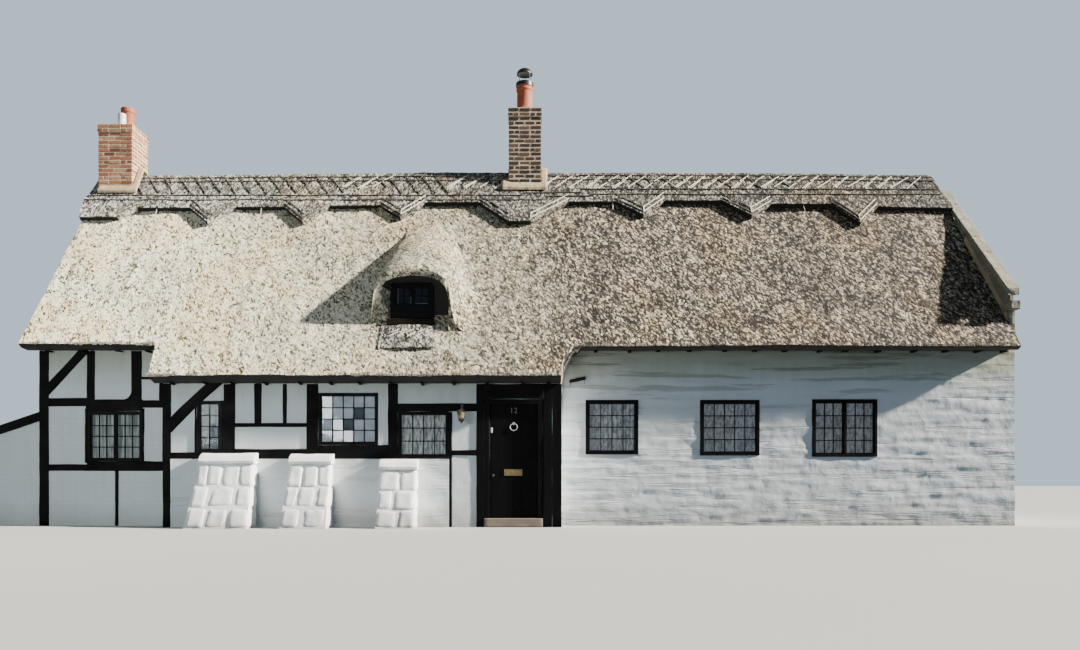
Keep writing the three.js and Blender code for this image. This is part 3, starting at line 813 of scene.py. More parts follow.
@dataclass(frozen=True)
class ThatchFinish:
    """Weather-worn straw that lies down a slope, with painted sunlight at the left end of the house and
    painted shade at the right end.

    Args:
        name: the material's name.
        turn: angle about X that lays the slope flat, in radians.
        lean: how far the straw leans to the side as it runs down.
        weathered_shaded_tones: at the right, painted shade in the gaps, then common straw, light straw and
            bright ends, all painted darker as in shade.
        painted_sunlit_tones: the same at the left, painted brighter as in sunlight.
        fade: where along the house the painted sunlight gives way to the painted shade.
    """

    name: str
    turn: float
    lean: float = 0.42
    weathered_shaded_tones: tuple[Colour, ...] = (
        (0.005, 0.004, 0.003), (0.060, 0.048, 0.034), (0.22, 0.185, 0.135), (0.70, 0.63, 0.48),
    )
    painted_sunlit_tones: tuple[Colour, ...] = (
        (0.050, 0.042, 0.026), (0.56, 0.50, 0.32), (0.95, 0.88, 0.64), (1.0, 0.97, 0.79),
    )
    fade: tuple[float, float] = (-6.3, 1.6)

    def straws(self, s: Shader, flat: Socket) -> tuple[Socket, Socket]:
        """The tone of every straw end, in two sizes.

        Args:
            s: the shader.
            flat: the place on the slope laid flat.

        Returns:
            The tone, and the skewed place.
        """
        wander = s.noise(flat, 2.2, 2, colour=True)
        skewed = s.mapped(s.shifted(flat, wander, 0.10), turn=(0, 0, -self.lean))
        gap, clump = s.cells(s.mapped(skewed, scale=(1 / 0.029, 1 / 0.062, 1 / 0.034)), 1.0)
        _, spot = s.cells(s.mapped(skewed, scale=(1 / 0.017, 1 / 0.038, 1 / 0.021)), 1.0)
        bundle = s.noise(s.mapped(skewed, scale=(6.0, 2.4, 5.0)), 1.0, 3)
        shade = s.plus(s.times(clump, 0.66), s.times(spot, 0.42))
        # Painted shade: darker in the gaps between the straws.
        shade = s.minus(shade, s.times(gap, 0.26))
        return s.plus(shade, s.times(s.minus(bundle, 0.5), 0.55)), skewed

    def make(self) -> bpy.types.Material:
        """Build the material.

        Returns:
            The material.
        """
        s = Shader(self.name, 0.95)
        flat = s.mapped(s.place, turn=(self.turn, 0, 0))
        shade, skewed = self.straws(s, flat)
        # Painted light: the left end of the house takes the brighter, sunlit tones and the right end the
        # darker, shaded ones.
        right = s.ramp(shade, list(zip((0.22, 0.40, 0.58, 0.84), self.weathered_shaded_tones)))
        left = s.ramp(shade, list(zip((0.08, 0.25, 0.43, 0.72), self.painted_sunlit_tones)))
        patch = s.noise(s.mapped(flat, scale=(0.45, 0.6, 0.6)), 1.0, 4)
        along = s.plus(s.axis(s.place, "X"), s.times(s.minus(patch, 0.5), 5.0))
        straw = s.mix(s.spread(along, *self.fade), left, right)
        golden = s.noise(s.mapped(flat, scale=(0.8, 0.55, 0.6)), 1.0, 3)
        straw = s.mix(s.spread(golden, 0.50, 0.62, 0, 0.55), straw, (0.95, 0.80, 0.58), "MULTIPLY")
        straw = s.mix(s.spread(golden, 0.36, 0.46, 0.55, 0), straw, (0.62, 0.58, 0.62), "MULTIPLY")
        # Painted shade: darker still towards the right end.
        far = s.spread(along, 2.0, 9.0, 0, 0.50)
        straw = s.mix(far, straw, (0.66, 0.60, 0.58), "MULTIPLY")
        course = s.noise(s.mapped(flat, scale=(0.42, 11.0, 1.0)), 1.0, 2)
        straw = s.mix(s.spread(course, 0.69, 0.76, 0, 0.40), straw, (0.36, 0.33, 0.28), "MULTIPLY")
        streak = s.noise(s.mapped(skewed, scale=(2.4, 0.25, 1.0)), 1.0, 4)
        straw = s.mix(s.spread(streak, 0.52, 0.72, 0, 0.30), straw, (0.50, 0.46, 0.42), "MULTIPLY")
        s.colour(straw)
        s.bump(shade, 0.016, 0.9)
        return s.material


@dataclass(frozen=True)
class PlainStrawFinish:
    """Cut straw ends and loose straws."""

    name: str
    light: Colour = (0.62, 0.52, 0.36)
    dark: Colour = (0.10, 0.07, 0.045)

    def make(self) -> bpy.types.Material:
        """Build the material.

        Returns:
            The material.
        """
        s = Shader(self.name, 0.9)
        gap, tone = s.cells(s.place, 90)
        coarse = s.noise(s.place, 6, 3)
        shade = s.plus(s.times(tone, 0.7), s.times(coarse, 0.4))
        s.colour(s.ramp(shade, [(0.15, self.dark), (0.9, self.light)]))
        s.bump(gap, 0.004, 0.6)
        return s.material


@dataclass(frozen=True)
class LimewashFinish:
    """Many coats of white limewash.

    Args:
        name: the material's name.
        tint: the clean colour.
        courses: height of the brick courses that show through, or 0.
        algae: height at which green staining begins, or a height above the walls.
        shaded_creases: whether long level ridges show, as over rubble, with painted shade along the hollows
            between them.
    """

    name: str
    tint: Colour = (0.80, 0.81, 0.79)
    courses: float = 0.0
    algae: float = 90.0
    shaded_creases: bool = False

    def make(self) -> bpy.types.Material:
        """Build the material.

        Returns:
            The material.
        """
        s = Shader(self.name, 0.85)
        wide = s.noise(s.place, 1.3, 5)
        run = s.noise(s.mapped(s.place, scale=(7.0, 7.0, 0.8)), 1.0, 5)
        fine = s.noise(s.place, 38, 4)
        height = s.axis(s.place, "Z")
        paint = s.mix(s.spread(wide, 0.38, 0.72, 0, 0.30), self.tint, (0.66, 0.67, 0.65))
        paint = s.mix(s.spread(run, 0.52, 0.78, 0, 0.28), paint, (0.58, 0.58, 0.54))
        splash = s.spread(s.minus(height, s.times(wide, 0.5)), -0.25, 0.22, 0.55, 0.0)
        paint = s.mix(splash, paint, (0.36, 0.34, 0.28))
        stain = s.spread(s.plus(height, s.times(run, 0.35)), self.algae, self.algae + 0.35, 0, 0.55)
        paint = s.mix(stain, paint, (0.42, 0.45, 0.34))
        under_eaves = s.spread(s.plus(height, s.times(wide, 0.30)), 2.50, 2.90, 0, 0.55)
        paint = s.mix(under_eaves, paint, (0.62, 0.60, 0.42), "MULTIPLY")
        if self.shaded_creases:
            # Painted shade: thin dark level lines under the rubble's ridges, stronger higher up the wall.
            line = s.noise(s.mapped(s.place, scale=(0.55, 0.55, 9.0)), 1.0, 4, 0.6)
            strong = s.spread(height, 1.3, 2.9, 0.18, 0.60)
            painted_crease_shadow = s.times(s.spread(line, 0.545, 0.60, 0, 1), strong)
            paint = s.mix(painted_crease_shadow, paint, (0.36, 0.36, 0.31), "MULTIPLY")
            s.bump(s.minus(1.0, s.spread(line, 0.54, 0.60, 0, 1)), 0.010, 0.6)
        if self.courses:
            bricks = s.nodes.new("ShaderNodeTexBrick")
            bricks.inputs["Scale"].default_value = 1.0
            bricks.inputs["Mortar Size"].default_value = 0.006
            bricks.inputs["Mortar Smooth"].default_value = 0.6
            bricks.inputs["Brick Width"].default_value = 0.23
            bricks.inputs["Row Height"].default_value = self.courses
            wavy = s.shifted(s.place, s.noise(s.place, 2.0, 2, colour=True), 0.02)
            swap = s.nodes.new("ShaderNodeCombineXYZ")
            s.links.new(s.axis(wavy, "X"), swap.inputs["X"])
            s.links.new(s.axis(wavy, "Z"), swap.inputs["Y"])
            s.links.new(swap.outputs[0], bricks.inputs["Vector"])
            low = s.spread(height, 2.02, 2.12, 1.0, 0.0)
            joint = s.times(bricks.outputs["Fac"], low)
            paint = s.mix(s.times(joint, 0.16), paint, (0.45, 0.46, 0.44))
            s.bump(s.minus(1.0, joint), 0.003, 0.7)
        s.colour(paint)
        s.bump(fine, 0.004, 0.5)
        s.bump(s.noise(s.place, 11, 3), 0.010, 0.5)
        return s.material


@dataclass(frozen=True)
class BlackWoodFinish:
    """Tarred oak or black painted joinery.

    Args:
        name: the material's name.
        colour: the body colour.
        worn: the colour of the worn high spots.
        roughness: how dull it is.
        grain: stretch of the grain along x, y and z.
    """

    name: str
    colour: Colour = (0.0016, 0.0016, 0.0019)
    worn: Colour = (0.0075, 0.0070, 0.0068)
    roughness: float = 0.6
    grain: Point = (30.0, 30.0, 30.0)

    def make(self) -> bpy.types.Material:
        """Build the material.

        Returns:
            The material.
        """
        s = Shader(self.name, self.roughness)
        s.surface.inputs["Specular IOR Level"].default_value = 0.08
        streak = s.noise(s.mapped(s.place, scale=self.grain), 1.0, 4, 0.6)
        blotch = s.noise(s.place, 3.1, 4)
        wear = s.times(s.spread(streak, 0.45, 0.75), s.spread(blotch, 0.35, 0.7))
        s.colour(s.mix(wear, self.colour, self.worn))
        s.rough(s.spread(blotch, 0.3, 0.7, self.roughness - 0.12, self.roughness + 0.2))
        s.bump(streak, 0.004, 0.8)
        return s.material


@dataclass(frozen=True)
class BrickFinish:
    """Old handmade bricks, with a tone stored on each.

    Args:
        name: the material's name.
        tones: brick colours from dark to light.
    """

    name: str
    tones: tuple[Colour, Colour, Colour, Colour]

    def make(self) -> bpy.types.Material:
        """Build the material.

        Returns:
            The material.
        """
        s = Shader(self.name, 0.92)
        own = s.own("tone")
        a, b, c, d = self.tones
        body = s.ramp(own, [(0.0, a), (0.35, b), (0.7, c), (1.0, d)])
        fleck = s.noise(s.place, 55, 4, 0.7)
        body = s.mix(s.spread(fleck, 0.45, 0.75, 0, 0.55), body, (0.07, 0.045, 0.035))
        soot = s.noise(s.place, 2.4, 4)
        body = s.mix(s.spread(soot, 0.48, 0.75, 0, 0.5), body, (0.10, 0.085, 0.07))
        s.colour(body)
        s.bump(fleck, 0.004, 0.9)
        return s.material


@dataclass(frozen=True)
class MasonryFinish:
    """Mortar, stone, tile or clay with soft mottling.

    Args:
        name: the material's name.
        base: the main colour.
        stain: the colour of its stains.
        moss: the colour of the small growth or specks.
        scale: number of mottles to a metre.
        roughness: how dull it is.
        growth: how much of the surface the specks cover, from 0 to 1.
    """

    name: str
    base: Colour
    stain: Colour
    moss: Colour
    scale: float = 8.0
    roughness: float = 0.92
    growth: float = 0.4

    def make(self) -> bpy.types.Material:
        """Build the material.

        Returns:
            The material.
        """
        s = Shader(self.name, self.roughness)
        wide = s.noise(s.place, self.scale * 0.3, 5, 0.6)
        speck = s.noise(s.place, self.scale * 3, 5, 0.65)
        body = s.mix(s.spread(wide, 0.35, 0.68), self.base, self.stain)
        low = 0.75 - 0.35 * self.growth
        body = s.mix(s.spread(speck, low, low + 0.15, 0, 0.85), body, self.moss)
        s.colour(body)
        s.bump(speck, 0.008, 0.6)
        return s.material


@dataclass(frozen=True)
class MetalFinish:
    """Painted iron, zinc or brass, a little uneven."""

    name: str
    base: Colour
    tarnish: Colour
    roughness: float
    metallic: float

    def make(self) -> bpy.types.Material:
        """Build the material.

        Returns:
            The material.
        """
        s = Shader(self.name, self.roughness, self.metallic)
        blotch = s.noise(s.place, 26, 5, 0.6)
        s.colour(s.mix(s.spread(blotch, 0.4, 0.7), self.base, self.tarnish))
        s.rough(s.spread(blotch, 0.3, 0.7, self.roughness - 0.08, self.roughness + 0.22))
        s.bump(blotch, 0.0015, 0.6)
        return s.material


@dataclass(frozen=True)
class GlassFinish:
    """Old window glass, faintly wavy.

    Args:
        name: the material's name.
        clear: how much of it is seen through, from 0 to 1.
        thin: the darker tint of its veil.
        thick: the lighter tint of its veil.
    """

    name: str = "window_glass"
    clear: float = 0.86
    thin: Colour = (0.05, 0.08, 0.10)
    thick: Colour = (0.16, 0.21, 0.24)

    def make(self) -> bpy.types.Material:
        """Build the material.

        Returns:
            The material.
        """
        s = Shader(self.name, 0.04)
        s.surface.inputs["Alpha"].default_value = 1 - self.clear
        wave = s.noise(s.place, 4.5, 2)
        s.colour(s.mix(s.spread(wave, 0.35, 0.65), self.thin, self.thick))
        s.bump(wave, 0.004, 0.35)
        return s.material


@dataclass(frozen=True)
class NetFinish:
    """White net with a fine weave, glowing faintly as painted light.

    Args:
        name: the material's name.
        light: the colour of the cloth.
        fold: the darker colour, painted as shade between the folds; the weave, the stripes and the blotches
            also take it.
        stripes: number of folds or stripes to a metre.
        rows: number of marks to a metre down a stripe.
        depth: how strong the stripes are.
    """

    name: str
    light: Colour = (0.92, 0.93, 0.92)
    fold: Colour = (0.22, 0.26, 0.28)
    stripes: float = 14.0
    rows: float = 1.2
    depth: float = 0.6

    def make(self) -> bpy.types.Material:
        """Build the material.

        Returns:
            The material.
        """
        s = Shader(self.name, 0.95)
        s.surface.inputs["Alpha"].default_value = 0.95
        weave = s.noise(s.mapped(s.place, scale=(150.0, 150.0, 40.0)), 1.0, 2)
        cloth = s.mix(s.spread(weave, 0.35, 0.65, 0, 0.3), self.light, self.fold)
        wavy = s.shifted(s.place, s.noise(s.place, 2.5, 2, colour=True), 0.03)
        band = s.noise(s.mapped(wavy, scale=(self.stripes, self.stripes, self.rows)), 1.0, 3)
        cloth = s.mix(s.spread(band, 0.44, 0.60, 0, self.depth), cloth, self.fold)
        blotch = s.noise(s.place, 4.2, 3)
        cloth = s.mix(s.spread(blotch, 0.50, 0.68, 0, 0.35), cloth, self.fold)
        s.colour(cloth)
        # Painted light: the net glows faintly, though it is no lamp.
        s.links.new(cloth, s.surface.inputs["Emission Color"])
        s.surface.inputs["Emission Strength"].default_value = 0.16
        return s.material


@dataclass(frozen=True)
class BoardFinish:
    """Brown boards or stone flags, shown only inside."""

    name: str
    dark: Colour
    light: Colour
    length: float
    width: float

    def make(self) -> bpy.types.Material:
        """Build the material.

        Returns:
            The material.
        """
        s = Shader(self.name, 0.75)
        bricks = s.nodes.new("ShaderNodeTexBrick")
        bricks.inputs["Scale"].default_value = 1.0
        bricks.inputs["Mortar Size"].default_value = 0.006
        bricks.inputs["Brick Width"].default_value = self.length
        bricks.inputs["Row Height"].default_value = self.width
        bricks.inputs["Color1"].default_value = (*self.dark, 1)
        bricks.inputs["Color2"].default_value = (*self.light, 1)
        bricks.inputs["Mortar"].default_value = (0.03, 0.025, 0.02, 1)
        s.links.new(s.place, bricks.inputs["Vector"])
        grain = s.noise(s.mapped(s.place, scale=(4.0, 40.0, 40.0)), 1.0, 4)
        s.colour(s.mix(s.spread(grain, 0.4, 0.7, 0, 0.4), bricks.outputs["Color"], (0.08, 0.06, 0.045)))
        s.bump(bricks.outputs["Fac"], -0.004, 0.7)
        return s.material


@dataclass(frozen=True)
class StageFinish:
    """A pale floor."""

    def make(self) -> bpy.types.Material:
        """Build the material.

        Returns:
            The material.
        """
        s = Shader("studio_floor", 0.95)
        s.colour(s.mix(s.noise(s.place, 0.15, 2), (0.40, 0.40, 0.39), (0.43, 0.43, 0.42)))
        return s.material


class Paintbox:
    """Every finish of the cottage, made once."""

    def __init__(self, pitch: float) -> None:
        """Make the finishes; pitch is the roof's angle in radians.

        Args:
            pitch: the roof's angle in radians.
        """
        self.thatch_front = ThatchFinish("thatch_front", -pitch).make()
        self.thatch_rear = ThatchFinish("thatch_rear", pitch, lean=-0.30).make()
        ridge = {
            "weathered_shaded_tones": (
                (0.007, 0.006, 0.006), (0.050, 0.045, 0.038), (0.17, 0.16, 0.13), (0.52, 0.49, 0.42),
            ),
            "painted_sunlit_tones": (
                (0.010, 0.009, 0.008), (0.075, 0.070, 0.060), (0.25, 0.24, 0.20), (0.66, 0.64, 0.57),
            ),
        }
        self.ridge_front = ThatchFinish("ridge_front", -pitch, lean=0.05, **ridge).make()
        self.ridge_rear = ThatchFinish("ridge_rear", pitch, lean=0.05, **ridge).make()
        self.straw_ends = PlainStrawFinish("straw_ends", (0.50, 0.33, 0.18), (0.10, 0.055, 0.03)).make()
        # Near-black straw, painted shade: for the underside of the thatch, the cut edges that look down or
        # away from the sun, and the dormer's mouth.
        self.straw_shade = PlainStrawFinish(
            "straw_painted_shade", (0.0022, 0.0019, 0.0017), (0.0010, 0.0009, 0.0008),
        ).make()
        self.fringe = PlainStrawFinish("eave_straws", (0.42, 0.38, 0.29), (0.06, 0.05, 0.04)).make()
        # Pale hazel stands for rods in sunlight (painted light); the darker copy stands for old rods and
        # rods in shade (painted shade).
        self.hazel = PlainStrawFinish("hazel_rods", (0.86, 0.81, 0.69), (0.52, 0.46, 0.36)).make()
        self.shaded_weathered_hazel = PlainStrawFinish(
            "weathered_rods", (0.14, 0.12, 0.095), (0.03, 0.025, 0.02),
        ).make()
        # The rubble and panel whites are tinted darker and blue-grey as painted shade; the buttresses'
        # white is brighter as painted sunlight.
        self.limewash = LimewashFinish(
            "limewash_rubble", (0.70, 0.745, 0.76), algae=2.70, shaded_creases=True,
        ).make()
        self.sunlit_white = LimewashFinish("limewash_sunlit", (0.90, 0.905, 0.90)).make()
        self.panel = LimewashFinish("limewash_panel", (0.74, 0.80, 0.79), algae=2.20).make()
        self.panel_brick = LimewashFinish(
            "limewash_brick", (0.75, 0.80, 0.79), courses=0.075, algae=2.85,
        ).make()
        self.oak = BlackWoodFinish("tarred_oak").make()
        self.weathered_oak = BlackWoodFinish(
            "weathered_oak", (0.016, 0.010, 0.007), (0.045, 0.030, 0.022), 0.8,
        ).make()
        self.oak_upright = BlackWoodFinish("tarred_oak_upright", grain=(38.0, 38.0, 3.0)).make()
        self.joinery = BlackWoodFinish(
            "black_gloss", (0.0016, 0.0016, 0.0022), (0.006, 0.006, 0.008), 0.42, (40.0, 40.0, 40.0),
        ).make()
        self.brick_left = BrickFinish("orange_brick", (
            (0.17, 0.065, 0.035), (0.37, 0.135, 0.065), (0.50, 0.205, 0.095), (0.56, 0.33, 0.19),
        )).make()
        self.brick_centre = BrickFinish("dark_red_brick", (
            (0.012, 0.009, 0.009), (0.036, 0.016, 0.014), (0.075, 0.028, 0.022), (0.16, 0.08, 0.05),
        )).make()
        self.mortar = MasonryFinish(
            "lime_mortar", (0.66, 0.55, 0.39), (0.50, 0.41, 0.28), (0.24, 0.19, 0.13), 14, growth=0.25,
        ).make()
        self.flaunching = MasonryFinish(
            "mortar_flaunching", (0.52, 0.40, 0.24), (0.38, 0.29, 0.17), (0.20, 0.16, 0.10), 9, growth=0.3,
        ).make()
        self.terracotta = MasonryFinish(
            "terracotta", (0.38, 0.095, 0.042), (0.28, 0.075, 0.036), (0.12, 0.05, 0.035), 6, 0.7, 0.15,
        ).make()
        self.coping = MasonryFinish(
            "coping_stone", (0.22, 0.205, 0.155), (0.34, 0.31, 0.24), (0.075, 0.075, 0.045), 7, growth=0.6,
        ).make()
        self.sandstone = MasonryFinish(
            "threshold_stone", (0.26, 0.20, 0.15), (0.20, 0.16, 0.12), (0.10, 0.09, 0.06), 7, growth=0.35,
        ).make()
        self.flags = BoardFinish("stone_flags", (0.20, 0.185, 0.155), (0.28, 0.26, 0.22), 0.6, 0.45).make()
        self.boards = BoardFinish("floor_boards", (0.15, 0.09, 0.05), (0.22, 0.14, 0.08), 2.4, 0.18).make()
        self.iron = MetalFinish("black_iron", (0.016, 0.016, 0.018), (0.05, 0.045, 0.042), 0.5, 0.3).make()
        self.brass = MetalFinish("dull_brass", (0.26, 0.20, 0.09), (0.13, 0.10, 0.05), 0.45, 0.8).make()
        self.dull_metal = MetalFinish("dull_metal", (0.14, 0.15, 0.15), (0.07, 0.07, 0.07), 0.5, 0.5).make()
        self.cowl_black = MetalFinish(
            "cowl_black", (0.004, 0.004, 0.005), (0.010, 0.010, 0.011), 0.35, 0.0,
        ).make()
        self.zinc = MetalFinish(
            "galvanised_metal", (0.55, 0.57, 0.58), (0.36, 0.37, 0.38), 0.42, 0.8,
        ).make()
        self.putty = MasonryFinish(
            "putty", (0.20, 0.20, 0.19), (0.13, 0.13, 0.125), (0.06, 0.06, 0.06), 20, 0.8,
        ).make()
        self.white_paint = MetalFinish(
            "white_paint", (0.80, 0.80, 0.79), (0.62, 0.62, 0.60), 0.45, 0.0,
        ).make()
        self.glass = GlassFinish().make()
        # Painted shade: nearly black, nearly opaque panes for the dormer window, which stands in shade.
        self.painted_shade_glass = GlassFinish(
            "glass_painted_dark_shade", 0.25, (0.004, 0.005, 0.007), (0.010, 0.014, 0.022),
        ).make()
        self.amber = GlassFinish("lantern_glass", 0.45, (0.16, 0.11, 0.05), (0.34, 0.27, 0.15)).make()
        # Painted reflection: pale blue-white panes.
        self.painted_reflection_glass = GlassFinish(
            "glass_painted_reflection", 0.30, (0.50, 0.56, 0.60), (0.72, 0.76, 0.80),
        ).make()
        self.green_glass = GlassFinish("green_glass", 0.30, (0.03, 0.05, 0.055), (0.09, 0.13, 0.14)).make()
        self.net = NetFinish("net_curtain").make()
        self.folded_net = NetFinish(
            "folded_net", (0.70, 0.75, 0.70), (0.10, 0.13, 0.12), 16.0, 1.0, 0.75,
        ).make()
        self.dim_net = NetFinish("dim_net", (0.52, 0.56, 0.57), (0.10, 0.12, 0.13), 18.0, 14.0, 0.7).make()
        self.striped_net = NetFinish(
            "striped_net", (0.95, 0.96, 0.94), (0.16, 0.20, 0.19), 26.0, 7.0, 0.85,
        ).make()
        self.fine_net = NetFinish(
            "fine_net", (0.72, 0.74, 0.76), (0.16, 0.19, 0.21), 30.0, 12.0, 0.75,
        ).make()


# Roof


@dataclass(frozen=True)
class RoofForm:
    """The planes of the thatch."""

    pitch: float = 1.258
    ridge_y: float = 3.15
    ridge_z: float = 6.85
    depth: float = 0.45
    left: float = -8.96
    right: float = 8.13
    eave: float = 0.172
    bay_eave: float = 0.203
    outshot_eave: float = -0.270
    rear_eave: float = 6.12
    front_wall: float = FRONT_FACE
    rear_wall: float = REAR_FACE

    @property
    def angle(self) -> float:
        """The pitch in radians."""
        return math.atan(self.pitch)

    def top(self, y: float) -> float:
        """Height of the thatch over a line."""
        return self.ridge_z - self.pitch * abs(y - self.ridge_y)

    def under(self, y: float) -> float:
        """Height of the thatch's underside."""
        return self.top(y) - self.depth

    def normal(self, side: Face) -> Vector:
        """The way a slope faces."""
        return Vector((0, -side.value * math.sin(self.angle), math.cos(self.angle)))

    def verge(self, y: float) -> float:
        """Where the thatch ends at the right, over a line; it bows out over the gable's foot.

        Args:
            y: line across the house.

        Returns:
            The thatch's right end.
        """
        near = min(y, 2 * self.ridge_y - y)
        bow = [(0.16, 8.244), (0.50, 8.243), (0.99, 8.232), (1.40, 8.19), (1.86, 8.134), (2.3, self.right)]
        bow += [(2.8, 8.12), (3.15, 8.07)]
        return piecewise(bow, near)

    def point(self, side: Face, x: float, reach: float, height: float) -> Vector:
        """A point by its level distance from the ridge and its height square to the slope."""
        y = self.ridge_y - side.value * reach
        return Vector((x, y, self.top(y))) + self.normal(side) * height


@dataclass(frozen=True)
class Unevenness:
    """How a hand-laid slope departs from its plane, in metres."""

    sag: float = 0.030
    lumps: float = 0.018
    bundles: float = 0.011
    straw: float = 0.007

    def at(self, x: float, s: float, seed: float = 0.0) -> float:
        """The departure at a place along and down the slope.

        Args:
            x: place along the house.
            s: distance down the slope.
            seed: start of the random variation.

        Returns:
            The height above the plane.
        """
        wide = self.sag * ripple(x * 0.33, s * 0.45, seed)
        lump = self.lumps * ripple(x * 1.7, s * 0.8, seed + 5)
        bundle = self.bundles * ripple(x * 7.5, s * 1.9, seed + 9)
        fine = self.straw * ripple(x * 19.0, s * 7.0, seed + 13)
        return wide + lump + bundle + fine


@dataclass
class ThatchSlopes:
    """The two main slopes, with the eave swept up where the outshot ends."""

    form: RoofForm
    paints: Paintbox
    uneven: Unevenness = Unevenness()
    outshot_left: tuple[float, float] = (-6.60, -6.53)
    outshot_right: tuple[float, float] = (0.36, 0.70)
    sweep: float = 0.34
    drip: float = 0.06
    round_edge: float = 0.09
    verge_start: float = 7.6
    seam: float = 0.002

    def eave(self, x: float) -> tuple[float, float, float]:
        """The front eave at x: its line, the height of its drip edge and the wall behind it.

        Args:
            x: place along the house.

        Returns:
            The line, the height and the wall behind.
        """
        form = self.form
        wobble = 0.010 * ripple(x * 1.1, 3.0, 0.0) + 0.006 * ripple(x * 5, 1.0, 0.0)
        bay_end, outshot_start = self.outshot_left
        outshot_end, stone_start = self.outshot_right
        if x <= bay_end or x >= stone_start:
            line = (form.bay_eave if x < 0 else form.eave) + wobble
            return line, form.top(line) - self.drip, form.front_wall
        if x < outshot_start:
            line = form.bay_eave + (form.outshot_eave - form.bay_eave) * (x - bay_end) / 0.07
            return line, form.top(line) - self.drip, form.front_wall
        if x <= outshot_end:
            line = form.outshot_eave + wobble
            return line, form.top(line) - self.drip, OUTSHOT_FACE
        line = form.eave - self.sweep + math.sqrt(max(0.0, self.sweep**2 - (stone_start - x) ** 2))
        lip = piecewise([(outshot_end, 2.40), (0.42, 2.66), (0.54, 2.90), (stone_start, 3.00)], x)
        return line, min(lip, form.top(line) - self.drip), form.front_wall

    def side(self, x: float, y: float) -> float:
        """Where a column's point stands along the house; the last columns follow the verge.

        Args:
            x: the column's place.
            y: line across the house.

        Returns:
            The point's place.
        """
        form = self.form
        if x <= self.verge_start:
            return x
        return x + (form.verge(y) - form.right) * (x - self.verge_start) / (form.right - self.verge_start)

    def section(self, x: float, rows: int) -> list[Point]:
        """The front slope's closed cross-section at x.

        Args:
            x: place along the house.
            rows: number of points down the slope.

        Returns:
            The points in order.
        """
        form = self.form
        line, lip, wall = self.eave(x)
        normal = form.normal(Face.FRONT)
        points = []
        for i in range(rows + 1):
            t = i / rows
            y = form.ridge_y - self.seam + (line - form.ridge_y) * t
            s = (form.ridge_y - y) / math.cos(form.angle)
            rise = self.uneven.at(x, s) * min(1.0, i / 6)
            side = self.side(x, y)
            if x < form.left + 0.001:
                side = x + 0.012 * ripple(s * 2.5, 7.0, 0.0)
            points.append(tuple(Vector((side, y, form.top(y))) + normal * rise))
        end = points[-1]
        drop = end[2] - lip
        points.append((end[0], line + 0.006, end[2] - drop * 0.25))
        points.append((end[0], line + 0.045, end[2] - drop * 0.65))
        points.append((end[0], line + self.round_edge, lip))
        under = form.under(wall)
        inwards = wall - line - self.round_edge
        for t in (0.35, 0.7, 1.0):
            points.append((x, line + self.round_edge + inwards * t, lip + (under - lip) * t))
        for y in (1.6, 2.5, form.ridge_y - self.seam):
            points.append((x, y, form.under(y)))
        return points

    def rear_section(self, x: float, rows: int) -> list[Point]:
        """The rear slope's closed cross-section at x.

        Args:
            x: place along the house.
            rows: number of points down the slope.

        Returns:
            The points in order.
        """
        form = self.form
        line = form.rear_eave + 0.010 * ripple(x * 1.1, 8.0, 0.0)
        normal = form.normal(Face.REAR)
        points = []
        for i in range(rows + 1):
            y = form.ridge_y + self.seam + (line - form.ridge_y) * i / rows
            s = (y - form.ridge_y) / math.cos(form.angle)
            rise = self.uneven.at(x, s, 40.0) * min(1.0, i / 6)
            points.append(tuple(Vector((self.side(x, y), y, form.top(y))) + normal * rise))
        end = points[-1]
        lip = end[2] - self.drip
        points.append((end[0], line + 0.004, end[2] - 0.03))
        points.append((end[0], line - 0.03, lip))
        under = form.under(form.rear_wall)
        for t in (0.4, 1.0):
            points.append((x, line - 0.03 + (form.rear_wall - line + 0.03) * t, lip + (under - lip) * t))
        for y in (4.2, form.ridge_y + self.seam):
            points.append((x, y, form.under(y)))
        return points

    def columns(self, spacing: float) -> list[float]:
        """Where the cross-sections stand along the house.

        Args:
            spacing: distance between them.

        Returns:
            Their places, from left to right.
        """
        form = self.form
        fixed = [form.left, -6.605, -6.58, -6.555, -6.53, -6.525, form.right]
        fixed += [0.355, 0.3605, 0.39, 0.42, 0.46, 0.5, 0.54, 0.62, 0.7]
        even = evenly(form.left, form.right, int((form.right - form.left) / spacing))
        keep = [x for x in even if all(abs(x - f) > spacing * 0.4 for f in fixed)]
        return sorted(keep + fixed)

    def stack_holes(self, piece: bpy.types.Object, stacks: list[Box]) -> None:
        """Let the chimneys through."""
        for box in stacks:
            cut(piece, block("stack_hole", box))

    def shade_ends(self, piece: bpy.types.Object, side: Face) -> None:
        """Give the underside and the cut edges that look down a near-black finish as painted shade, and the
        side cut edges the cut-straw finish.

        Args:
            piece: the slope.
            side: which slope it is.
        """
        mesh = piece.data
        down = Vector((0, -side.value * math.cos(self.form.angle), -math.sin(self.form.angle)))
        top = self.form.normal(side)
        for face in mesh.polygons:
            normal = face.normal
            if normal.z < -0.1 or normal.dot(top) < 0.25 and normal.dot(down) > 0.5:
                face.material_index = 2
            elif normal.dot(top) < 0.25 and abs(normal.x) > 0.5:
                face.material_index = 1

    def build(self, stacks: list[Box], tunnel: Box) -> None:
        """Build both slopes.

        Args:
            stacks: the room that each chimney needs.
            tunnel: the way through the thatch behind the dormer window.
        """
        paints = self.paints
        front = solid_of("front_thatch", [self.section(x, 128) for x in self.columns(0.042)])
        self.stack_holes(front, stacks)
        cut(front, block("tunnel", tunnel))
        paint(front, paints.thatch_front, paints.straw_ends, paints.straw_shade)
        self.shade_ends(front, Face.FRONT)
        smooth(front, 50)
        hand_over(front, [], ("thatch_front",))

        rear = solid_of("rear_thatch", [self.rear_section(x, 66) for x in self.columns(0.075)])
        self.stack_holes(rear, stacks)
        paint(rear, paints.thatch_rear, paints.straw_ends, paints.straw_shade)
        self.shade_ends(rear, Face.REAR)
        smooth(rear, 50)
        hand_over(rear, [], ("thatch_rear",))


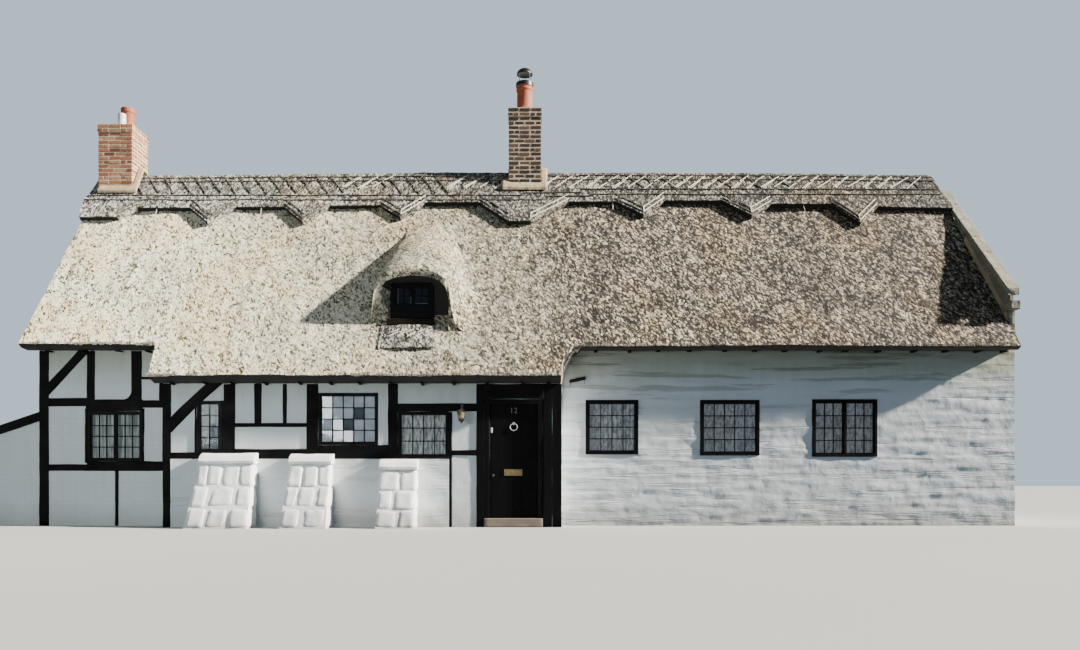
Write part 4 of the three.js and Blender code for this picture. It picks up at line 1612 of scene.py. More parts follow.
class StrawFringe:
    """Loose straw ends that show along the eaves and other cut edges."""

    def __init__(self, finish: bpy.types.Material, seed: int = 11) -> None:
        """Keep the finish and model three tufts.

        Args:
            finish: the straws' material.
            seed: start of the random draws.
        """
        self.finish = finish
        self.random = random.Random(seed)
        self.tufts = [self.tuft(i) for i in range(3)]

    def tuft(self, number: int) -> bpy.types.Object:
        """A handful of straws that point down, about 12 cm wide.

        Args:
            number: a number for its name.

        Returns:
            The tuft.
        """
        pick = self.random
        straws = []
        for _ in range(30):
            length = pick.uniform(0.035, 0.06)
            bpy.ops.mesh.primitive_cone_add(
                vertices=3, radius1=0.0022, radius2=0.0042, depth=length, end_fill_type="NOTHING",
                location=(
                    pick.uniform(-0.06, 0.06), pick.uniform(-0.008, 0.004),
                    length / 2 - pick.uniform(0, 0.012),
                ),
                rotation=(pick.uniform(-0.07, 0.07), pick.uniform(-0.16, 0.16), pick.uniform(0, 3)),
            )
            straws.append(bpy.context.object)
        tuft = join(f"tuft_{number}", straws)
        return freeze(tuft)

    def lay(self, name: str, places: list[tuple[Vector, Vector, Vector]]) -> None:
        """Lay tufts along a line.

        Args:
            name: the piece's name.
            places: for each tuft its centre, the way it points and the way along the edge.
        """
        copies = []
        for centre, down, along in places:
            twin = copy_of(self.random.choice(self.tufts))
            across = along.normalized()
            up = -down.normalized()
            out = up.cross(across).normalized()
            if self.random.random() < 0.5:
                across, out = -across, -out
            turn = Matrix((across, out, up)).transposed().to_4x4()
            twin.data.transform(Matrix.Translation(centre) @ turn)
            copies.append(twin)
        piece = join(name, copies)
        hand_over(piece, [self.finish])

    def clear(self) -> None:
        """Take the patterns away."""
        for tuft in self.tufts:
            remove(tuft)


@dataclass(frozen=True)
class Hood:
    """The swept hood over the dormer.

    Args:
        front: where its mouth stands.
        back: where the roof has swallowed it.
        rise: how steeply its crown rises to the back.
        wall: the line of the window behind it.
    """

    front: float = 0.30
    back: float = 2.42
    rise: float = 0.604
    wall: float = 0.58

    def face(self, z: float) -> float:
        """The line of its front at a height; the front leans back."""
        return piecewise([(3.54, 0.53), (4.42, self.front)], z)

    def outline(self) -> list[tuple[float, float]]:
        """The outside at the mouth, left to right.

        Returns:
            Places along the house with their heights.
        """
        return [
            (-3.12, 2.98), (-2.985, 3.06), (-2.960, 3.38), (-2.948, 3.60), (-2.926, 3.82), (-2.895, 4.02),
            (-2.860, 4.15), (-2.79, 4.27), (-2.72, 4.35), (-2.62, 4.405), (-2.45, 4.465), (-2.198, 4.50),
            (-1.95, 4.485), (-1.74, 4.41), (-1.57, 4.27), (-1.43, 4.07), (-1.30, 3.85), (-1.15, 3.65),
            (-0.95, 3.47), (-0.70, 3.33), (-0.43, 3.22), (-0.30, 3.18),
        ]

    def mouth(self) -> list[tuple[float, float]]:
        """The opening at the front, left to right.

        Returns:
            Places along the house with their heights.
        """
        return [
            (-2.61, 3.0), (-2.62, 3.60), (-2.655, 3.76), (-2.735, 3.92), (-2.772, 4.05), (-2.745, 4.165),
            (-2.66, 4.252), (-2.50, 4.305), (-2.34, 4.33), (-2.198, 4.34), (-2.03, 4.33), (-1.88, 4.305),
            (-1.73, 4.242), (-1.63, 4.125), (-1.592, 3.95), (-1.59, 3.70), (-1.59, 3.0),
        ]

    def rear_mouth(self) -> list[tuple[float, float]]:
        """The same points where the opening meets the window.

        Returns:
            Places along the house with their heights.
        """
        return [
            (-2.62, 3.2), (-2.62, 3.60), (-2.625, 3.76), (-2.64, 3.92), (-2.65, 4.03), (-2.63, 4.12),
            (-2.58, 4.20), (-2.46, 4.265), (-2.34, 4.28), (-2.198, 4.285), (-2.03, 4.28), (-1.93, 4.26),
            (-1.86, 4.20), (-1.84, 4.10), (-1.84, 3.95), (-1.84, 3.70), (-1.84, 3.2),
        ]


@dataclass
class DormerHood:
    """Builds the swept hood and its mouth."""

    form: RoofForm
    hood: Hood
    paints: Paintbox
    uneven: Unevenness = Unevenness(0.012, 0.014, 0.010, 0.006)
    soft_from: float = -1.66
    lip: float = 0.09
    sunk: float = 0.16

    def crown(self, x: float) -> float:
        """The outside's height at the mouth, smoothed.

        Args:
            x: place along the house.

        Returns:
            The height.
        """
        outline = self.hood.outline()
        if x < -2.84:
            return piecewise(outline, x)
        offsets = (-0.04, -0.02, 0.0, 0.02, 0.04)
        return sum(piecewise(outline, x + d) for d in offsets) / len(offsets)

    def height(self, x: float, y: float) -> float:
        """The hood's surface, blended into the slope.

        Args:
            x: place along the house.
            y: line across the house.

        Returns:
            The height.
        """
        raised = self.crown(x) + self.hood.rise * (y - self.hood.front)
        slope = self.form.top(y) - 0.035
        soft = 0.012 if x < -2.6 else 0.07
        gap = raised - slope
        if gap > 6 * soft:
            return raised
        if gap < -6 * soft:
            return slope
        return slope + soft * math.log(1 + math.exp(gap / soft))

    def fade(self, x: float, y: float, start: float) -> float:
        """How much of the hood's rise stands at a place: its right foot runs out into the slope.

        Args:
            x: place along the house.
            y: line across the house.
            start: the line of the hood's front.

        Returns:
            A share from 0 to 1.
        """
        run = piecewise([(self.soft_from, 0.0), (-1.45, 0.30), (-1.10, 0.75), (-0.60, 0.9)], x)
        if run < 0.02 or x < self.soft_from:
            return 1.0
        t = min(1.0, max(0.0, (y - start) / run))
        return t * t * (3 - 2 * t)

    def lid(self, x: float, y: float, start: float) -> float:
        """The height of the finished surface."""
        slope = self.form.top(y) - 0.02
        return slope + (self.height(x, y) - slope) * self.fade(x, y, start)

    def section(self, x: float) -> list[Point]:
        """The closed cross-section of the hood at x.

        Args:
            x: place along the house.

        Returns:
            The points in order.
        """
        hood = self.hood
        start = hood.front
        for _ in range(4):
            start = hood.face(self.height(x, start + 0.05))
        swept = x > self.soft_from
        if swept:
            start = piecewise([(self.soft_from, start), (-1.50, 0.36), (-1.0, 0.40), (-0.3, 0.42)], x)
        low = hood.face(3.0) if not swept else start
        base = self.form.top(low) - self.sunk
        top = self.lid(x, start + self.lip, start)
        points = [(x, low + 0.02, base)]
        for t in (0.15, 0.35, 0.55, 0.75):
            z = base + (top - 0.10 - base) * t
            y = start + 0.02 if swept else hood.face(z)
            points.append((x, y + 0.012 * math.sin(t * 3), z))
        for drop, inset in (
            (0.120, -0.002), (0.085, 0.008), (0.052, 0.024), (0.026, 0.046), (0.008, 0.070),
        ):
            points.append((x, start + inset, top - drop))
        rows = 58
        for i in range(rows + 1):
            y = start + self.lip + (hood.back - start - self.lip) * i / rows
            s = y / math.cos(self.form.angle)
            lift = self.uneven.at(x, s, 70.0)
            points.append((x, y - 0.55 * lift, self.lid(x, y, start) + 0.83 * lift))
        for y in (hood.back, 1.6, 0.9):
            points.append((x, y, self.form.top(y) - self.sunk))
        return points

    def mouth_cutter(self) -> bpy.types.Object:
        """The opening, wider at the front than at the window.

        Returns:
            The solid to cut away.
        """
        hood = self.hood
        front = hood.mouth()
        rear = hood.rear_mouth()
        loops = [[(x, 0.1, z) for x, z in front]]
        loops.append([(x, hood.face(z) - 0.01, z) for x, z in front])
        loops.append([(x, hood.face(z) + 0.03, z) for x, z in front])
        loops.append([(x, hood.wall + 0.02, z) for x, z in rear])
        return solid_of("mouth", loops)

    def build(self) -> None:
        """Build the hood."""
        left = self.hood.outline()[0][0]
        right = self.hood.outline()[-1][0]
        even = evenly(left, right, int((right - left) / 0.03))
        crisp = [
            -3.04, -3.01, -2.985, -2.972, -2.960, -2.954, -2.948, -2.937, -2.926, -2.911, -2.895, -2.878,
        ]
        crisp += [-2.86, -2.84]
        columns = sorted([x for x in even if x < -3.05 or x > -2.82] + crisp)
        hood = solid_of("dormer_hood_thatch", [self.section(x) for x in columns])
        cut(hood, self.mouth_cutter())
        cut(hood, block("window_room", (-2.62, -1.87, 0.5, 2.6, 3.56, 4.27)))
        paint(hood, self.paints.thatch_front, self.paints.straw_shade)
        # Painted shade: faces that look down, and the inside of the mouth except where it faces the sun,
        # take the near-black finish.
        for face in hood.data.polygons:
            x, y, z = face.center
            inside = y > self.hood.face(z) + 0.034 and z < self.height(x, y) - 0.045 and -2.80 < x < -1.575
            if face.normal.z < -0.45 or inside and face.normal.x < 0.3:
                face.material_index = 1
        smooth(hood, 55)
        hand_over(hood, [], ("dormer_hood",))


@dataclass
class RidgeCap:
    """The block-cut ridge with its tongues, rods and liggers."""

    form: RoofForm
    paints: Paintbox
    ligger: float = 0.0105
    thick_rod: float = 0.0095
    thin_rod: float = 0.009
    depth: float = 0.115
    hump: float = 0.50
    rounding: float = 0.085

    outline = (
        (-8.96, 0.79), (-8.24, 0.785), (-7.93, 0.60), (-6.89, 0.60), (-6.444, 0.89), (-5.998, 0.585),
        (-5.043, 0.58), (-4.597, 0.89), (-4.151, 0.564), (-3.162, 0.545), (-2.716, 0.798), (-2.27, 0.495),
        (-1.21, 0.48), (-0.607, 0.87), (-0.184, 0.87), (0.574, 0.477), (1.507, 0.470), (2.03, 0.747),
        (2.47, 0.452), (3.622, 0.450), (4.14, 0.757), (4.58, 0.520), (5.761, 0.525), (6.207, 0.918),
        (6.653, 0.580), (8.13, 0.61),
    )
    crests = [(-8.96, 7.015), (-8.2, 7.02), (-2.0, 7.085), (4.0, 7.075), (8.13, 7.03)]

    def __post_init__(self) -> None:
        """Model the stick of the rods, and note where the rods start and end."""
        self.stick = Stick()
        self.first = self.form.left + 0.03
        self.last = self.form.right - 0.10
        self.lap = math.sin(self.form.angle) * self.depth

    def surface(self, side: Face, x: float, d: float, lift: float = 0.0) -> Vector:
        """A point on the cap at a level distance from the ridge, raised square to the slope.

        Args:
            side: the front or the rear slope.
            x: place along the house.
            d: level distance from the ridge.
            lift: height above the cap.

        Returns:
            The point.
        """
        form = self.form
        flat = form.ridge_z + self.depth * math.sqrt(1 + form.pitch**2)
        wave = 0.012 * ripple(x * 0.8, 2.0, 0.0) + 0.010 * ripple(x * 4.0, 5.0, 0.0)
        rise = piecewise(self.crests, x) + wave - flat + form.pitch * self.rounding
        share = max(0.0, 1 - d / self.hump)
        z = flat - form.pitch * math.hypot(d, self.rounding) + rise * share**1.5
        return Vector((x + self.end(x, d), form.ridge_y - side.value * d, z)) + form.normal(side) * lift

    def end(self, x: float, d: float) -> float:
        """How far a place near either end is pushed out or drawn in along the house.

        Args:
            x: place along the house.
            d: level distance from the ridge.

        Returns:
            The shift along the house.
        """
        left = max(0.0, 1 - (x - self.form.left) / 0.35) ** 2
        right = max(0.0, 1 - (self.form.right - x) / 0.35) ** 2
        bulge = -0.12 * left * math.exp(-((d - 0.56) / 0.22) ** 2)
        return bulge - 0.17 * right * max(0.0, 1 - d / 0.58) ** 0.8

    def half_section(self, x: float, side: Face, reach: float) -> list[Point]:
        """One side's points from the foot of the cut edge up to the crest.

        Args:
            x: place along the house.
            side: the front or the rear slope.
            reach: level distance of the cut edge from the ridge.

        Returns:
            The points in order.
        """
        form = self.form
        reach += 0.008 * ripple(x * 9, side.value * 3.0, 0.0)
        points = []
        for inset, height in (
            (0.045, -0.04), (0.020, 0.0), (0.008, self.depth * 0.5), (0.0, self.depth * 0.88),
        ):
            shift = self.end(x, reach + 0.78 * height)
            points.append(form.point(side, x + shift, reach - inset, height))
        edge = reach + math.sin(form.angle) * self.depth - 0.008
        rows = 34
        for i in range(rows + 1):
            d = edge * (1 - i / rows)
            bump = 0.012 * ripple(x * 8, d * 5, side.value)
            bump += 0.009 * ripple(x * 21, d * 11, side.value)
            points.append(self.surface(side, x, d, bump * min(1.0, i / 3)))
        return points

    def section(self, x: float, reach: float) -> list[Point]:
        """The cap's closed cross-section.

        Args:
            x: place along the house.
            reach: level distance of the cut edge from the ridge.

        Returns:
            The points in order.
        """
        front = self.half_section(x, Face.FRONT, reach)
        rear = self.half_section(x, Face.REAR, reach)
        loop = front + list(reversed(rear))[1:]
        loop.append(Vector((x, self.form.ridge_y, self.form.ridge_z - 0.06)))
        return [tuple(p) for p in loop]

    def columns(self) -> list[float]:
        """Where the cross-sections stand along the house.

        Returns:
            Their places, from left to right.
        """
        form = self.form
        fixed = [x for x, _ in self.outline]
        even = evenly(form.left, form.right, int((form.right - form.left) / 0.05))
        return sorted([x for x in even if all(abs(x - f) > 0.018 for f in fixed)] + fixed)

    def spar(self, side: Face, start: tuple[float, float], end: tuple[float, float], radius: float) -> list:
        """A rod on the cap between two places given by x and reach, bent to the surface.

        Args:
            side: the front or the rear slope.
            start: x and reach of one end.
            end: x and reach of the other end.
            radius: the rod's radius.

        Returns:
            The rod's short straight lengths.
        """
        length = math.hypot(end[0] - start[0], end[1] - start[1])
        count = max(1, round(length / 0.16))
        places = []
        for i in range(count + 1):
            t = i / count
            x, d = start[0] + (end[0] - start[0]) * t, start[1] + (end[1] - start[1]) * t
            places.append(self.surface(side, x, d, 0.010))
        return [self.stick.between(a, b, radius) for a, b in zip(places, places[1:])]

    def liggers(self, side: Face, pick: random.Random) -> list:
        """The level rods along one side, in lengths that meet end to end.

        Args:
            side: the front or the rear slope.
            pick: the random draws.

        Returns:
            The rods.
        """
        laid = []
        for reach in (0.11, 0.185, 0.44, 0.533):
            x = self.first
            while x < self.last:
                end = min(x + pick.uniform(0.9, 1.4), self.last)
                wander = pick.uniform(-0.007, 0.007)
                inner = piecewise([(0.3, 0.02), (0.44, 0.11)], reach)
                inner *= piecewise([(-1.0, 0.0), (0.6, 1.0)], x)
                start = (x, reach + wander - inner)
                laid += self.spar(side, start, (end, reach - wander - inner), self.ligger)
                x = end
        return laid

    def crossed(self, side: Face, pick: random.Random) -> tuple[list, list]:
        """The crossed spars between the liggers, pale ones and dark ones.

        Args:
            side: the front or the rear slope.
            pick: the random draws.

        Returns:
            The pale rods and the dark ones.
        """
        pale = []
        dark = []
        x = self.first + 0.10
        while x < self.last - 0.5:
            wide = pick.uniform(0.37, 0.44)
            low, high = 0.31 + pick.uniform(-0.02, 0.02), 0.09 + pick.uniform(-0.01, 0.02)
            # Painted light: the same hazel is pale where sunlit and dark where in shade; rising rods right
            # of the middle, and some further left, are pale, and falling rods are dark.
            bright = x > -2.0 or x > -4.5 and pick.random() < 0.4
            low += 0.0 if bright else 0.09
            kind = pale if bright else dark
            if pick.random() < 0.4:
                middle = (low + high) / 2
                kind += self.spar(side, (x, low), (x + wide * 0.42, middle + 0.012), self.thick_rod)
                start = (x + wide * 0.5, middle - 0.016)
                kind += self.spar(side, start, (x + wide, high), self.thick_rod)
            else:
                kind += self.spar(side, (x, low), (x + wide, high), self.thick_rod)
            if bright and pick.random() < 0.5:
                pale += self.spar(side, (x + 0.045, low + 0.004), (x + wide * 0.8, high + 0.05), 0.008)
            if not bright or pick.random() < 0.3:
                dark += self.spar(side, (x, high), (x + wide * 0.8, low), self.thin_rod)
            x += pick.uniform(0.27, 0.33)
        return pale, dark

    def tongues(self, side: Face) -> tuple[list, list]:
        """The rods along the edges of the tongues, pale ones and dark ones.

        Args:
            side: the front or the rear slope.

        Returns:
            The pale rods and the dark ones.
        """
        pale = []
        dark = []
        for (x0, r0), (x1, r1) in zip(self.outline, self.outline[1:]):
            if abs(r0 - r1) < 0.15:
                continue
            # Painted light: rods along the right flanks of the tongues on the right part of the roof, which
            # face the sun, are pale; the others are dark as in shade.
            bright = r0 > r1 and x0 > -3.5
            for inset in (0.06, 0.15):
                start, end = (x0, r0 + self.lap - inset), (x1, r1 + self.lap - inset)
                (pale if bright else dark).extend(self.spar(side, start, end, self.thick_rod))
            if bright:
                start, end = (x0, r0 + self.lap - 0.06), (x0, r0 + self.lap - 0.15)
                pale += self.spar(side, start, end, self.thin_rod)
        return pale, dark

    def rods(self, side: Face, pick: random.Random) -> tuple[list, list]:
        """All the rods of one side, pale ones and dark ones.

        Args:
            side: the front or the rear slope.
            pick: the random draws.

        Returns:
            The pale rods and the dark ones.
        """
        dark = self.liggers(side, pick)
        pale, more_dark = self.crossed(side, pick)
        more_pale, edge_dark = self.tongues(side)
        pale += more_pale
        dark += more_dark + edge_dark
        x = 6.85
        while x < self.last - 0.25:
            dark += self.spar(side, (x, 0.56), (x + 0.16, 0.44), self.thin_rod)
            x += pick.uniform(0.15, 0.22)
        for x in (-7.55, -5.5, 1.45, 5.2):
            reach = piecewise(self.outline, x)
            a = self.surface(side, x, reach + self.lap - 0.10, 0.012)
            b = self.form.point(side, x + pick.uniform(-0.03, 0.05), reach + 0.10, 0.035)
            pale.append(self.stick.between(a, b, 0.006))
        return pale, dark

    def build(self, stacks: list[Box]) -> None:
        """Build the cap and its rods.

        Args:
            stacks: the room that each chimney needs.
        """
        cap = solid_of(
            "ridge_cap_straw", [self.section(x, piecewise(self.outline, x)) for x in self.columns()],
        )
        for box in stacks:
            cut(cap, block("stack_hole", box))
        paints = self.paints
        paint(cap, paints.ridge_front, paints.ridge_rear, paints.straw_shade)
        top = (self.form.normal(Face.FRONT), self.form.normal(Face.REAR))
        # Painted shade: cut faces that look down or to the left, away from the sun, take the near-black
        # finish; those that look to the right keep the straw.
        for face in cap.data.polygons:
            square = max(face.normal.dot(t) for t in top)
            if square > 0.45 or face.normal.x > 0.30:
                face.material_index = 0 if face.center.y < self.form.ridge_y else 1
            else:
                face.material_index = 2
        smooth(cap, 50)
        hand_over(cap, [], ("ridge_cap_front", "ridge_cap_rear"))
        pick = random.Random(5)
        pale = []
        dark = []
        for side in (Face.FRONT, Face.REAR):
            more_pale, more_dark = self.rods(side, pick)
            pale += more_pale
            dark += more_dark
        hand_over(join("pale_hazel_spars", pale), [paints.hazel])
        hand_over(join("dark_hazel_liggers", dark), [paints.shaded_weathered_hazel])
        remove(self.stick.model)


@dataclass
class Apron:
    """The patch of block-cut thatch under the dormer window, pinned with crossed rods."""

    form: RoofForm
    paints: Paintbox
    left: float = -2.765
    right: float = -1.85

    def place(self, x: float, y: float, height: float) -> Point:
        """A point over the front slope."""
        return tuple(self.form.point(Face.FRONT, x, self.form.ridge_y - y, height))

    def section(self, x: float) -> list[Point]:
        """The patch's closed cross-section.

        Args:
            x: place along the house.

        Returns:
            The points in order.
        """
        low = 0.100 + 0.012 * ripple(x * 7, 0, 0)
        thick = piecewise([(-2.66, 0.030), (-2.40, 0.062), (-1.95, 0.060), (-1.83, 0.035)], x)
        edge = ((low + 0.030, -0.03), (low + 0.015, 0.02), (low + 0.004, thick * 0.7))
        loop = [self.place(x, y, height) for y, height in edge]
        for j in range(14):
            y = low + 0.010 + (0.45 - low) * j / 13
            loop.append(self.place(x, y, thick + 0.010 * ripple(x * 9, y * 20, 3)))
        loop.append(self.place(x, 0.46, -0.03))
        return loop

    def build(self) -> None:
        """Build the patch and its rods."""
        patch = solid_of("apron_straw", [self.section(x) for x in evenly(self.left, self.right, 30)])
        paint(patch, self.paints.ridge_front, self.paints.straw_shade)
        top = self.form.normal(Face.FRONT)
        # Painted shade: the cut edges of the patch, which do not face up, take the near-black finish.
        for face in patch.data.polygons:
            face.material_index = 0 if face.normal.dot(top) > 0.4 else 1
        smooth(patch, 50)
        hand_over(patch, [], ("dormer_apron",))
        rods = []
        pick = random.Random(17)
        for i in range(5):
            x = -2.60 + 0.155 * i + pick.uniform(-0.02, 0.02)
            for low, high in ((0.275, 0.335), (0.335, 0.385)):
                start, end = self.place(x, low, 0.066), self.place(x + 0.12, high, 0.070)
                rods.append(rod("cross", start, end, 0.0075, 5))
                x += pick.uniform(-0.03, 0.05)
            if i % 2:
                start, end = self.place(x, 0.38, 0.068), self.place(x + 0.13, 0.29, 0.068)
                rods.append(rod("cross", start, end, 0.006, 5))
        hand_over(join("apron_rods", rods), [self.paints.hazel])


# Walls


@dataclass(frozen=True)
class Opening:
    """A hole in a wall."""

    x0: float
    x1: float
    z0: float
    z1: float


@dataclass(frozen=True)
class WallSize:
    """A wall that looks to the front or the rear.

    Args:
        name: the piece's name.
        x0: left end.
        x1: right end.
        face: the line of its outer face.
        depth: how thick it is, inwards from the face.
        top: height before the thatch cuts it.
        side: which way the face looks.
        z0: height of its foot.
        cell: size of its relief's cells.
    """

    name: str
    x0: float
    x1: float
    face: float
    depth: float
    top: float
    side: Face = Face.FRONT
    z0: float = 0.0
    cell: float = 0.04


@dataclass
class Wall:
    """A rendered wall with relief on its face, real thickness and openings cut through."""

    size: WallSize
    form: RoofForm
    openings: list[Opening]
    reliefs: list[Relief]

    def sheet(self) -> bpy.types.Object:
        """The face as a fine grid with its openings cut out.

        Returns:
            The sheet.
        """
        size = self.size
        wide = size.x1 - size.x0
        high = size.top - size.z0
        bpy.ops.mesh.primitive_grid_add(
            x_subdivisions=max(2, int(wide / size.cell)), y_subdivisions=max(2, int(high / size.cell)),
            size=1,
        )
        piece = bpy.context.object
        piece.name = size.name
        piece.scale = (wide, high, 1)
        piece.rotation_euler = (math.pi / 2, 0, 0)
        piece.location = ((size.x0 + size.x1) / 2, size.face, (size.z0 + size.top) / 2)
        freeze(piece)
        with editing(piece):
            for hole in self.openings:
                for x in (hole.x0, hole.x1):
                    slice_at((x, 0, 0), (1, 0, 0))
                for z in (hole.z0, hole.z1):
                    slice_at((0, 0, z), (0, 0, 1))
            bpy.ops.mesh.select_mode(type="FACE")
            bpy.ops.mesh.select_all(action="DESELECT")
        for face in piece.data.polygons:
            x, _, z = face.center
            face.select = any(h.x0 < x < h.x1 and h.z0 < z < h.z1 for h in self.openings)
        with editing(piece):
            bpy.ops.mesh.delete(type="FACE")
        return piece

    def thicken(self, piece: bpy.types.Object) -> None:
        """Push the sheet back to the wall's thickness and trim it under the thatch.

        Args:
            piece: the sheet.
        """
        size = self.size
        sign = size.side.value
        slope = (0, -sign * math.sin(self.form.angle), math.cos(self.form.angle))
        edge = (0, size.face, self.form.under(size.face) - 0.005)
        with editing(piece):
            bpy.ops.mesh.select_all(action="SELECT")
            bpy.ops.mesh.extrude_region_move(TRANSFORM_OT_translate={"value": (0, sign * size.depth, 0)})
            bpy.ops.mesh.select_all(action="SELECT")
            bpy.ops.mesh.bisect(plane_co=edge, plane_no=slope, clear_outer=True, use_fill=False)

    def build(self, finishes: list[bpy.types.Material], nodes: tuple[str, ...]) -> bpy.types.Object:
        """Build the wall.

        Args:
            finishes: its materials.
            nodes: the CAD nodes that it stands for.

        Returns:
            The wall.
        """
        piece = self.sheet()
        self.thicken(piece)
        with editing(piece):
            bpy.ops.mesh.select_mode(type="EDGE")
            bpy.ops.mesh.select_all(action="DESELECT")
            bpy.ops.mesh.select_non_manifold(extend=False)
            bpy.ops.mesh.edge_face_add()
        recalculate(piece)
        group = piece.vertex_groups.new(name="face")
        near = [v.index for v in piece.data.vertices if abs(v.co.y - self.size.face) < 1e-4]
        group.add(near, 1.0, "REPLACE")
        for relief in self.reliefs:
            relief.press(piece, "face")
        smooth(piece, 35)
        return hand_over(piece, finishes, nodes)


@dataclass
class RoughNode:
    """A plain CAD wall with painted rubble pressed into one of its faces.

    Args:
        node: the CAD node.
        axis: 0, 1 or 2 for the axis that its outer face looks along.
        face: where that face is on the axis.
        cell: size of the cells that the face is cut into.
    """

    node: str
    axis: int
    face: float
    cell: float

    def grid(self, piece: bpy.types.Object) -> None:
        """Cut the wall into cells across its face.

        Args:
            piece: the wall.
        """
        spans = []
        for axis in range(3):
            values = [v.co[axis] for v in piece.data.vertices]
            spans.append((min(values), max(values)))
        with editing(piece):
            for axis, (low, high) in enumerate(spans):
                if axis == self.axis:
                    continue
                normal = [0.0, 0.0, 0.0]
                normal[axis] = 1.0
                for value in evenly(low, high, int((high - low) / self.cell))[1:-1]:
                    place = [0.0, 0.0, 0.0]
                    place[axis] = value
                    slice_at(place, normal)

    def build(self, finish: bpy.types.Material, cutter: bpy.types.Object | None = None) -> None:
        """Build the wall, less a cutter.

        Args:
            finish: its material.
            cutter: a solid to cut away first.
        """
        piece = cad_copy(self.node, self.node + "_render")
        if cutter:
            cut(piece, cutter)
        self.grid(piece)
        group = piece.vertex_groups.new(name="face")
        near = [v.index for v in piece.data.vertices if abs(v.co[self.axis] - self.face) < 1e-3]
        group.add(near, 1.0, "REPLACE")
        along = "XYZ"[self.axis]
        stretch = [0.75, 0.75, 0.09]
        stretch[self.axis] = 1.0
        Relief(tuple(stretch), 0.026, direction=along).press(piece, "face")
        Relief((0.30, 0.30, 0.19), 0.016, direction=along).press(piece, "face")
        smooth(piece, 35)
        hand_over(piece, [finish], (self.node,))


RUBBLE = [
    Relief((0.75, 1.0, 0.085), 0.030, direction="Y", middle=0.42),
    Relief((0.30, 1.0, 0.19), 0.022, direction="Y", middle=0.42),
    Relief((0.09, 1.0, 0.07), 0.007, direction="Y"),
]
DAUB = [
    Relief((0.9, 1.0, 0.6), 0.010, direction="Y"),
    Relief((0.16, 1.0, 0.10), 0.006, direction="Y"),
]


# Timber framing


@dataclass(frozen=True)
class Timber:
    """An upright or level timber by the edges of its face."""

    x0: float
    x1: float
    z0: float
    z1: float


@dataclass(frozen=True)
class Brace:
    """A sloping timber between two points of its centre line."""

    start: tuple[float, float]
    end: tuple[float, float]
    width: float
    bow: float = 0.0


@dataclass
class TimberFrame:
    """A frame of hand-hewn timbers let into a wall."""

    name: str
    face: float
    form: RoofForm
    timbers: list[Timber]
    braces: list[Brace]
    proud: float = 0.016
    let_in: float = 0.12

    def hewn(self, piece: bpy.types.Object, axis: int) -> bpy.types.Object:
        """Give a squared block the wave and soft edges of axe work.

        Args:
            piece: the block.
            axis: 0, 1 or 2 for the axis along its length.

        Returns:
            The timber.
        """
        cross_cuts(piece, axis, 0.13)
        size = [0.30, 0.30, 0.30]
        size[axis] = 0.55
        Relief(tuple(size), 0.020).press(piece)
        chamfer(piece, 0.010)
        return piece

    def upright_or_level(self, timber: Timber) -> bpy.types.Object:
        """One straight timber.

        Args:
            timber: its edges.

        Returns:
            The timber.
        """
        top = min(timber.z1, self.form.under(self.face) - 0.01)
        y0 = self.face - self.proud
        piece = block("timber", (timber.x0, timber.x1, y0, self.face + self.let_in, timber.z0, top))
        upright = top - timber.z0 > timber.x1 - timber.x0
        return self.hewn(piece, 2 if upright else 0)

    def sloping(self, brace: Brace) -> bpy.types.Object:
        """One brace, bowed if it needs to be.

        Args:
            brace: its centre line, width and bow.

        Returns:
            The brace.
        """
        (xa, za), (xb, zb) = brace.start, brace.end
        length = math.hypot(xb - xa, zb - za)
        half = brace.width / 2
        piece = block("brace", (-length / 2, length / 2, -self.proud + 0.002, self.let_in, -half, half))
        cross_cuts(piece, 0, 0.10)
        for vertex in piece.data.vertices:
            t = 2 * vertex.co.x / length
            vertex.co.z += brace.bow * (1 - t * t)
        Relief((0.5, 0.3, 0.3), 0.018).press(piece)
        chamfer(piece, 0.010)
        return placed(
            piece, ((xa + xb) / 2, self.face, (za + zb) / 2), (0, -math.atan2(zb - za, xb - xa), 0),
        )

    def knee(self, x: float, z: float, reach: float) -> bpy.types.Object:
        """A solid corner piece with a hollow curve, to the left of x and above z.

        Args:
            x: its right edge.
            z: its lower edge.
            reach: its width and height.

        Returns:
            The knee.
        """
        curve = []
        for i in range(9):
            turn = math.pi / 2 * i / 8
            curve.append((x - reach * (1 - math.sin(turn)), z + reach * (1 - math.cos(turn))))
        outline = [(x + 0.01, z - 0.01)] + curve + [(x + 0.01, z + reach)]
        outline[1] = (x - reach, z - 0.01)
        loops = [
           
            [(px, y, pz) for px, pz in outline] for y in (self.face - self.proud, self.face + self.let_in)
        ]
        return solid_of("knee", loops)

    def build(self, finish: bpy.types.Material, node: str, knees: tuple = ()) -> None:
        """Build the frame.

        Args:
            finish: its material.
            node: the CAD node that it stands for.
            knees: x, z and reach of each corner piece.
        """
        parts = [self.upright_or_level(t) for t in self.timbers]
        parts += [self.sloping(b) for b in self.braces]
        parts += [self.knee(*k) for k in knees]
        piece = join(self.name, parts)
        smooth(piece, 40)
        hand_over(piece, [finish], (node,))


# Windows


@dataclass(frozen=True)
class WindowSize:
    """A wooden window.

    Args:
        name: the CAD node that it stands for.
        x0: left edge of the frame.
        x1: right edge of the frame.
        z0: lower edge of the frame.
        z1: upper edge of the frame.
        columns: panes across in each light.
        rows: panes high.
        lights: number of lights side by side.
        bar: width of the outer frame.
    """

    name: str
    x0: float
    x1: float
    z0: float
    z1: float
    columns: int
    rows: int
    lights: int = 1
    bar: float = 0.036
    mullion: float = 0.025

    def opening(self) -> Opening:
        """The hole that the wall needs."""
        return Opening(self.x0 - 0.002, self.x1 + 0.002, self.z0 - 0.002, self.z1 + 0.002)


